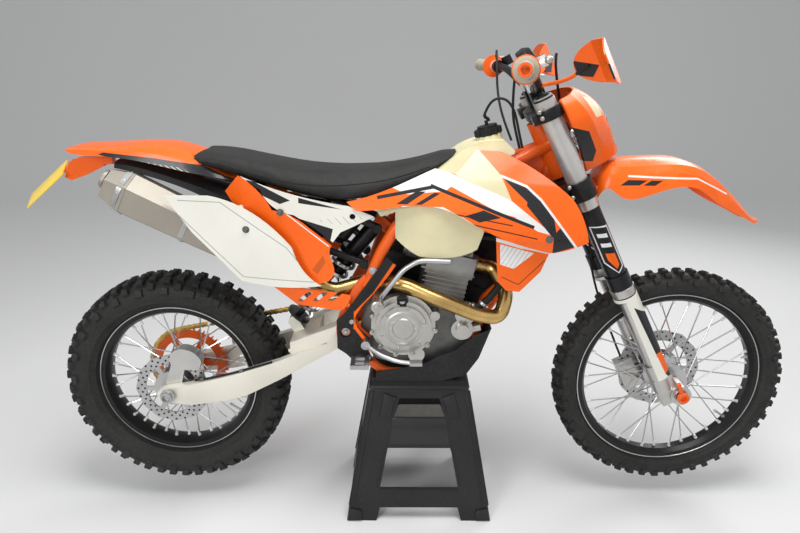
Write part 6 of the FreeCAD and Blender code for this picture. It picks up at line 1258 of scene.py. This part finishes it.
for name in ("throttle_cable", "clutch_hose"):
    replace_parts(cord(name, routes[name], CORD_RADIUS), "control_cables")
breather = cord("breather_hose_line", routes["breather_hose_line"], CORD_RADIUS, "chassis")
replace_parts(breather, "breather_hose")
cap_low, cap_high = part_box("fuel_cap")
stem = Vector(((cap_low.x + cap_high.x) / 2.0, 0.0, cap_high.z - 0.003))
spigot = pipe("spigot", [stem, stem + UP * 0.007, mm(173, -5, 1199), mm(172, -6, 1206)], 0.0046)
to_body([spigot], "vent_spigot", black_plastic)
places = [at_fork(100 * ahead, 100 * left, 1076 * up) for ahead, left, up in BRAKE_ROUTE]
places[0].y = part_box("front_brake_hose")[0].y + 0.0005
brake_hose = cord("brake_hose_line", places, CORD_RADIUS, "steering")
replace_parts(brake_hose, "front_brake_hose")
print("four cords")

# %% [markdown]
# The seat is a vinyl cover pulled over foam, so it has no hard facets: it swells between its edges and shows a seam
# where the side panels meet the top. The plain solid is copied, remeshed evenly, blown up a little as cloth with air
# inside, and capped so that it stays where the real seat ends. The seam is a cord laid on the finished surface.

# %% Padded seat
CAP = 0.005
FRAMES = 12

seat = copied(nodes["seat"], Matrix.Identity(4))
seat.modifiers.clear()
seat.parent = None
seat.name = "padded_seat"
seat.matrix_world = Matrix.Identity(4)
edit(seat)
bpy.ops.mesh.remove_doubles(threshold=0.0001)
done(seat)
modify(seat, "REMESH", mode="VOXEL", voxel_size=0.0060)
modify(seat, "SMOOTH", factor=0.5, iterations=14)
rest = [corner.co.copy() for corner in seat.data.vertices]
take(seat)
cloth = seat.modifiers.new("air", "CLOTH")
cloth.settings.use_pressure = True
cloth.settings.uniform_pressure_force = 3.0
cloth.settings.effector_weights.gravity = 0.0
cloth.settings.quality = 4
scene = bpy.context.scene
scene.frame_start, scene.frame_end = 1, FRAMES
for step in range(1, FRAMES + 1):
    scene.frame_set(step)
blown = seat.evaluated_get(bpy.context.evaluated_depsgraph_get()).data
swollen = [corner.co.copy() for corner in blown.vertices]
seat.modifiers.remove(cloth)
scene.frame_set(1)
for corner, start, end in zip(seat.data.vertices, rest, swollen):
    move = end - start
    corner.co = start + (move if move.length < CAP else move.normalized() * CAP)
modify(seat, "SMOOTH", factor=0.5, iterations=4)
modify(seat, "SUBSURF", levels=1, subdivision_type="CATMULL_CLARK")
smooth(seat, 180.0)
dress(seat, seat_vinyl)
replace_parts(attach(seat, "chassis"), "seat")
print("seat of", len(seat.data.polygons), "faces")

# %% [markdown]
# The seam is found by rays: one from above gives the seat's top, and one from the side gives the place a little
# lower on its flank. The cord of the seam is then laid through those places.

# %% Seat seams
def on_surface(piece, start, toward):
    """Where a ray first meets a piece, and the surface's direction there."""
    hit, place, normal = piece.ray_cast(start, toward)[:3]
    return (place, normal) if hit else (None, None)


seams = []
for side in (-1, 1):
    flank_line = []
    for index in range(34):
        x = -0.640 + 0.020 * index
        top = on_surface(seat, Vector((x, side * 0.03, 1.4)), DOWN)[0]
        if top is None:
            continue
        height = top.z - (0.020 + 0.016 * math.sin(math.pi * min(1.0, max(0.0, (x + 0.64) / 0.68))))
        place, normal = on_surface(seat, Vector((x, side * 0.4, height)), LEFT * -side)
        if place is not None:
            flank_line.append(place + normal * 0.0002)
    seams.append(pipe("seam", flank_line, 0.0014, capped=False))
to_body(seams, "seat_seams", black_rubber)
print("two seams of", len(flank_line), "points")

# %% [markdown]
# The silencer is a dull titanium shell held by riveted bands, with an outlet at its end. The bands follow the
# shell's own outline, which rays find where a plane cuts it, and the rivets are one small turned piece, copied.

# %% Silencer fittings
shell = [v.co.copy() for v in nodes["silencer"].data.vertices]
axis = mm(-286, 0, 160).normalized()
middle = sum(shell, Vector()) / len(shell)
along = [(v - middle).dot(axis) for v in shell]
print("silencer reaches", round(min(along), 3), "to", round(max(along), 3), "along its axis")


def rim_at(share):
    """Corners of the silencer's outline where a plane cuts it, a little out of its surface."""
    centre = middle + axis * (min(along) + share * (max(along) - min(along)))
    up = axis.cross(LEFT).normalized()
    cuts = []
    for step in range(24):
        angle = math.tau * step / 24
        toward = LEFT * math.cos(angle) + up * math.sin(angle)
        place = on_surface(nodes["silencer"], centre + toward * 0.3, -toward)[0]
        if place is not None and (place - centre).length < 0.12:
            cuts.append(place + toward * 0.0008)
    return cuts


bands = []
for share in (0.90, 0.60, 0.30):
    loop, other = rim_at(share), rim_at(share + 0.022)
    if len(loop) == len(other) and len(loop) > 12:
        band = outline("band", loop)
        edit(band)
        bpy.ops.mesh.extrude_edges_move()
        done(band)
        for corner, place in zip(list(band.data.vertices)[len(loop):], other):
            corner.co = place
        modify(band, "SOLIDIFY", thickness=0.0012, offset=1.0)
        bands.append(smooth(band, 30.0))
        for k in range(0, len(loop), 3):
            spot = (loop[k] + other[k]) / 2
            out = (spot - middle - axis * (spot - middle).dot(axis)).normalized()
            bands.append(bolt("rivet", spot + out * 0.0008, out, 0.0028, 0.0018))
to_body(bands, "silencer_bands", brushed_steel)
tail = middle + axis * max(along)
outlet = lathe("outlet", tail, axis, [(-0.004, 0.027), (0.002, 0.027), (0.003, 0.024), (0.006, 0.0235),
    (0.007, 0.0225), (-0.002, 0.021)], 40)
# A black disc just inside the outlet is painted shade for the inside of the open pipe.
bore_shade = drum("bore_shade", tail + axis * 0.0005, tail + axis * 0.0025, 0.0215, 32)
to_body([outlet], "silencer_outlet", titanium)
to_body([bore_shade], "silencer_bore_shade", black_alloy)
print(len(bands), "band and rivet pieces")

# %% [markdown]
# Brake discs are drilled in rows. Each hole shows as a dark spot with an edge, so a small dark plug that is a hair
# longer than the disc is thick stands for it, copied round in three rows: painted shade where the open hole is.
# A thin silver ring on each of the rims' edges is a painted highlight along the flange.

# %% Drilled discs, painted rim highlights and axle nuts
# Dark plugs stand for the holes: painted shade where the open holes are.
def disc_hole_shade(name, axle, y, radius, body):
    spots = []
    for share, shift in ((0.94, 0.0), (0.84, 0.5), (0.76, 0.0)):
        place = axle + Vector((0.0, y, radius * share))
        hole = drum("hole", place + LEFT * 0.00215, place + RIGHT * 0.00215, 0.0034, 10)
        hole.data.transform(turned(math.tau * shift / 24, axle))
        spots.append(ring_of(hole, 24, axle, "holes"))
    return to_body(spots, name, black_alloy, body)


# Each rim gets a thin silver ring at both flanges: a painted highlight along the rim's edge.
def rim_highlight_rings(axle, radius, half, body):
    rings = []
    for side in (-1, 1):
        section = [axle + Vector((0.0, side * (half + out), radius - back))
            for out, back in ((-0.0008, 0.0045), (0.0008, 0.0035), (0.0006, 0.0010), (-0.0008, 0.0004))]
        rings.append(spun("edge", section, axle, 96))
    return to_body(rings, body + "_rim_highlight_rings", silver_alloy, body)


for name, disc, axle, radius, body in (("rear_disc_hole_shade", "rear_brake_disc", REAR_AXLE, 0.110, "rear_wheel"),
        ("front_disc_hole_shade", "front_brake_disc", FRONT_AXLE, 0.130, "front_wheel")):
    low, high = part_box(disc)
    disc_hole_shade(name, axle, (low.y + high.y) / 2, radius, body)
rim_highlight_rings(REAR_AXLE, 0.2410, 0.0340, "rear_wheel")
rim_highlight_rings(FRONT_AXLE, 0.2800, 0.0260, "front_wheel")
nuts = [lathe("axle nut", mm(-740, side * 137, 408), LEFT * side, [
    (-0.004, 0.021), (0.001, 0.021), (0.002, 0.016), (0.012, 0.0155), (0.013, 0.011), (0.006, 0.010)], 36)
    for side in (-1, 1)]
to_body(nuts, "rear_axle_nuts", brushed_steel)
print("discs, rims and axle")

# %% [markdown]
# The bars carry polished levers that end in a ball, so nothing sharp meets a hand, and the risers over the dark top
# clamp are bare alloy. Both exist in the plain solids: the levers are picked out by paint from where the grips
# begin, and small turned balls and bolts are added.

# %% Levers, risers and clamp bolts
BARE = 0.262
EVERYWHERE = area((-2000, -2000), (2000, -2000), (2000, 2000), (-2000, 2000))
printed("bar_controls", black_alloy, "controls with bare levers", [(on_sides(EVERYWHERE, BARE), (0.72, 0.72, 0.71))])
printed("triple_clamps", black_alloy, "clamps with bare risers",
    [(fork_area((-120, 982), (-120, 1200), (120, 1200), (120, 982)), (0.62, 0.62, 0.61))])
printed("hand_guards", orange_plastic, "hand guard with dark inset",
    [(on_sides(area((321, 1354), (404, 1340), (398, 1312), (326, 1318)), 0.2), INK)])
lever_points = [v.co for v in nodes["bar_controls"].data.vertices]
balls = []
for side in (-1, 1):
    reach = max(place.y * side for place in lever_points)
    tips = [place for place in lever_points if place.y * side > reach - 0.004]
    centre = sum(tips, Vector()) / len(tips)
    balls.append(lathe("ball", centre + LEFT * side * 0.008, LEFT * side, [
        (-0.002, 0.0052), (0.002, 0.0074), (0.006, 0.0088), (0.010, 0.0092), (0.014, 0.0086), (0.018, 0.0066),
        (0.020, 0.0034)], 24))
to_body(balls, "lever_balls", bright_alloy, "steering")
heads = [bolt("clamp bolt", mm(x, side * 136, z), LEFT * side, 0.0062, 0.006)
    for x, z in ((295, 1222), (304, 1207), (387, 1029), (399, 1002)) for side in (-1, 1)]
to_body(heads, "side_clamp_bolts", bright_alloy, "steering")
print(len(balls), "lever balls and", len(heads), "clamp bolts")

# %% [markdown]
# Behind the cylinder and the shroud the real machine is dark and crowded: a rubber flap keeps mud off the coil, and
# the wiring and the carburettor's boot lie behind the kick lever. Each is a shaped black plate with ribs, and stands
# partly for those parts and partly as painted shade that fills the dark gaps behind the engine.

# %% Rubber flap and loom cover, partly painted shade
def ribbed_plate(name, points, y, thick, ribs, material):
    pieces = [plate(name, [mm(x, y, z) for x, z in points], LEFT * thick, 0.003)]
    pieces += [drum("rib", mm(x0, y - 3, z0), mm(x1, y - 3, z1), 0.0035, 10) for x0, z0, x1, z1 in ribs]
    return to_body(pieces, name, material)


ribbed_plate("coil_flap_and_shade", [(112, 838), (236, 842), (236, 700), (196, 636), (130, 636), (112, 700)], 40, 0.010,
    [(156, 820, 206, 800), (160, 780, 214, 756), (164, 736, 216, 712), (172, 690, 208, 672)], black_rubber)
ribbed_plate("loom_cover_and_shade", [(-112, 800), (-96, 846), (-40, 852), (12, 800), (8, 690), (-80, 684), (-122, 716)], 44,
    0.012, [(-84, 770, -30, 780), (-92, 740, -28, 746)], black_plastic)
print("flap and loom cover")

# %% [markdown]
# The frame guards show the orange frame along their front edge, and big flanged bolts hold the rear plates and the
# side panels. Paint does the edge, and turned bolt heads with washers do the rest.

# %% Guard edge and panel bolts
printed("frame_guards", black_plastic, "frame guard with bare edge", [
    *lines(ORANGE, 9, (-74, 812, -130, 726), (-130, 726, -184, 668), (-184, 672, -186, 618)),
    *lines(ORANGE, 10, (-186, 624, -150, 572)),
    ])


def fastener(name, x, z, side, radius, node):
    """A flanged screw set on a side surface, found by a ray from outside."""
    place, normal = on_surface(nodes[node], mm(x, side * 400, z), LEFT * -side)
    if place is None:
        return []
    washer = [(-0.001, radius * 1.7), (0.0012, radius * 1.6), (0.0014, radius)]
    return [lathe("washer", place, normal, washer, 24), hex_head(name, place + normal * 0.0012, normal, radius, 0.005)]


SCREW_PLACES = ((-465, 923, "number_panels"), (-300, 790, "number_panels"), (-209, 690, "frame"),
    (-211, 610, "frame_guards"), (-213, 567, "frame"), (60, 900, "shrouds"), (330, 905, "shrouds"),
    (-30, 950, "side_covers"), (-380, 960, "side_covers"))
screws = []
for side in (-1, 1):
    for x, z, node in SCREW_PLACES:
        screws += fastener("panel screw", x, z, side, 0.0058, node)
to_body(screws, "panel_screws", dark_alloy)
print(len(screws), "washers and screws")

# %% [markdown]
# A brake caliper is a casting with round piston covers and slide bolts. The rear brake's hose runs along the
# swingarm under small guides. Turned pieces on the plain block give it its crowded look.

# %% Caliper castings, brake hose and its guides
def caliper_castings(name, node, side, body, radius):
    """Two piston covers and three slide bolts on one face of a caliper's block, placed by shares of its size."""
    low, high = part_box(node)
    middle = (low + high) / 2
    size = high - low
    face = high.y if side > 0 else low.y
    piston = [(-0.004, radius), (0.004, radius * 0.94), (0.005, radius * 0.8), (0.003, radius * 0.7),
        (0.003, radius * 0.3), (0.005, radius * 0.25)]
    pieces = []
    for along, up, is_piston in ((-0.192, 0.12, True), (0.192, 0.12, True), (-0.40, -0.30, False),
            (0.36, -0.32, False), (0.0, 0.42, False)):
        spot = Vector((middle.x + along * size.x, face + side * 0.05, middle.z + up * size.z))
        hit = on_surface(nodes[node], spot, LEFT * -side)[0]
        if hit is None:
            continue
        pieces.append(lathe("piston cover", hit, LEFT * side, piston, 28) if is_piston
            else hex_head("slide bolt", hit, LEFT * side, 0.0048, 0.004))
    return to_body(pieces, name, bright_alloy, body)


caliper_castings("front_caliper_castings", "front_caliper", 1, "steering", 0.015)
line_points = [(-664, -108, 470), (-640, -112, 482), (-600, -117, 492), (-520, -121, 518), (-430, -122, 552),
    (-342, -120, 584), (-290, -116, 604)]
brake_line = [on_surface(nodes["swingarm"], mm(x, y, z + 60), DOWN)[0] for x, y, z in line_points]
brake_line = [place + UP * 0.0042 for place in brake_line if place is not None]
to_body([pipe("rear_brake_line", brake_line, 0.0032, capped=False)], "rear_brake_line", black_rubber)
guides = []
for a, b in zip(brake_line[1:-1:2], brake_line[2::2]):
    toward = (b - a).normalized()
    guides.append(drum("guide", a - toward * 0.006, a + toward * 0.006, 0.0054, 16))
to_body(guides, "brake_line_guides", dark_alloy)
print("brake line over", len(brake_line), "points")

# %% [markdown]
# The stand is blow-moulded plastic: its legs have raised edges, the hand slot sits between sloping facets over a
# lighter ledge, a smooth panel fills the space above the window, and the feet are thick pads. Its four faces lean
# in, so each raised part is drawn on the leaning plane of its face and pushed out a few millimetres.

# %% Leaning faces of the stand
stand = nodes["paddock_stand"]
stand_low, stand_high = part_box("paddock_stand")
TOP = 1000.0 * stand_high.z


def leaning_face(out, spots):
    """Gives a function from (across, up) in millimetres to a place on a leaning face, and its outward direction."""
    across = UP.cross(out)
    hits = [on_surface(stand, (across * u + UP * z) / 1000.0 + out * 0.6, -out)[0] for u, z in spots]
    normal = (hits[1] - hits[0]).cross(hits[2] - hits[0]).normalized()
    if normal.dot(out) < 0.0:
        normal = -normal

    def at(u, z):
        place = (across * u + UP * z) / 1000.0
        return place + out * ((hits[0] - place).dot(normal) / out.dot(normal))
    return at, normal


def raised(name, at, normal, spots, thick, bevel):
    """A plate drawn on a leaning face, its foot a little inside the plastic."""
    piece = plate(name, [at(u, z) - normal * 0.0004 for u, z in spots], normal * thick, bevel)
    edit(piece)
    return face_out(piece)


def strip(at, normal, u0, z0, u1, z1, width, thick):
    side = Vector((z0 - z1, u1 - u0)).normalized() * width / 2.0
    spots = [(u0 - side.x, z0 - side.y), (u1 - side.x, z1 - side.y), (u1 + side.x, z1 + side.y),
        (u0 + side.x, z0 + side.y)]
    return raised("rib", at, normal, spots, thick, 0.0014)


def half_width(height, index):
    """How far the stand reaches at a height, along x (0) or y (1), in millimetres."""
    return 1000.0 * max(v.co[index] for v in stand.data.vertices if abs(v.co.z - height) < 0.002)


print("stand is", round(TOP), "mm high")

# %% [markdown]
# Each face gets two edges along its legs and one under its top. The two long faces also have a window's edges, the
# facets beside the hand slot, the feet's pads, a ledge and a smooth panel.

# %% Raised edges, facets and panel of the stand
edge_work, ledges, panels = [], [], []
for out in (LEFT, -LEFT, FORWARD, -FORWARD):
    long_face = out.y != 0.0
    index = 0 if long_face else 1
    low_half, high_half = half_width(stand_low.z, index), half_width(stand_high.z, index)
    reach = 30 if long_face else 20
    at, normal = leaning_face(out, ((-reach, 300), (reach, 300), (0, 72)))
    slope = (low_half - high_half) / TOP
    for end in (-1, 1):
        foot, head = end * (low_half - 11.0 - slope * 44.0), end * (high_half - 9.0 + slope * 18.0)
        edge_work.append(strip(at, normal, foot, 44, head, TOP - 18, 7, 0.004))
        if long_face:
            edge_work.append(strip(at, normal, end * 127, 108, end * 96, 238, 5, 0.003))
            facet = [(end * 66, TOP - 36), (end * 104, TOP - 22), (end * 122, TOP - 96), (end * 84, TOP - 96),
                (end * 78, TOP - 60)]
            facet = facet if end * out.y < 0 else facet[::-1]
            edge_work.append(raised("facet", at, normal, facet, 0.006, 0.005))
            pad = [(end * (low_half - 2), 4), (end * (low_half - 46), 4), (end * (low_half - 40 - slope * 38), 34),
                (end * (low_half - 4 - slope * 44), 42)]
            edge_work.append(raised("foot", at, normal, pad, 0.007, 0.003))
    edge_work.append(strip(at, normal, 16 - high_half, TOP - 14, high_half - 16, TOP - 14, 5, 0.004))
    if long_face:
        edge_work.append(strip(at, normal, -121, 99, 121, 99, 5, 0.003))
        ledge = ((-62, TOP - 56), (62, TOP - 56), (76, TOP - 94), (-76, TOP - 94))
        ledges.append(raised("ledge", at, normal, ledge, 0.003, 0.002))
        panel = ((-80, 326), (80, 326), (92, 244), (-92, 244))
        panels.append(raised("panel", at, normal, panel, 0.0018, 0.001))
# The ledge under the hand slot is a lighter grey plastic than the stand, with more dust specks.
ledge_plastic = finish("lighter grey ledge plastic", (0.075, 0.072, 0.064), 0.55, cloud=12.0, contrast=0.12, grain=700.0,
    depth=0.00006, dust=0.06, sockets=(MATT,))
panel_gloss = finish("smooth panel plastic", (0.008, 0.008, 0.009), 0.20, cloud=6.0, grain=500.0, depth=0.00002)
to_body(edge_work, "stand_raised_edges", stand_plastic)
to_body(ledges, "stand_ledges", ledge_plastic)
to_body(panels, "stand_panels", panel_gloss)
print(len(edge_work), "raised edges on the stand")
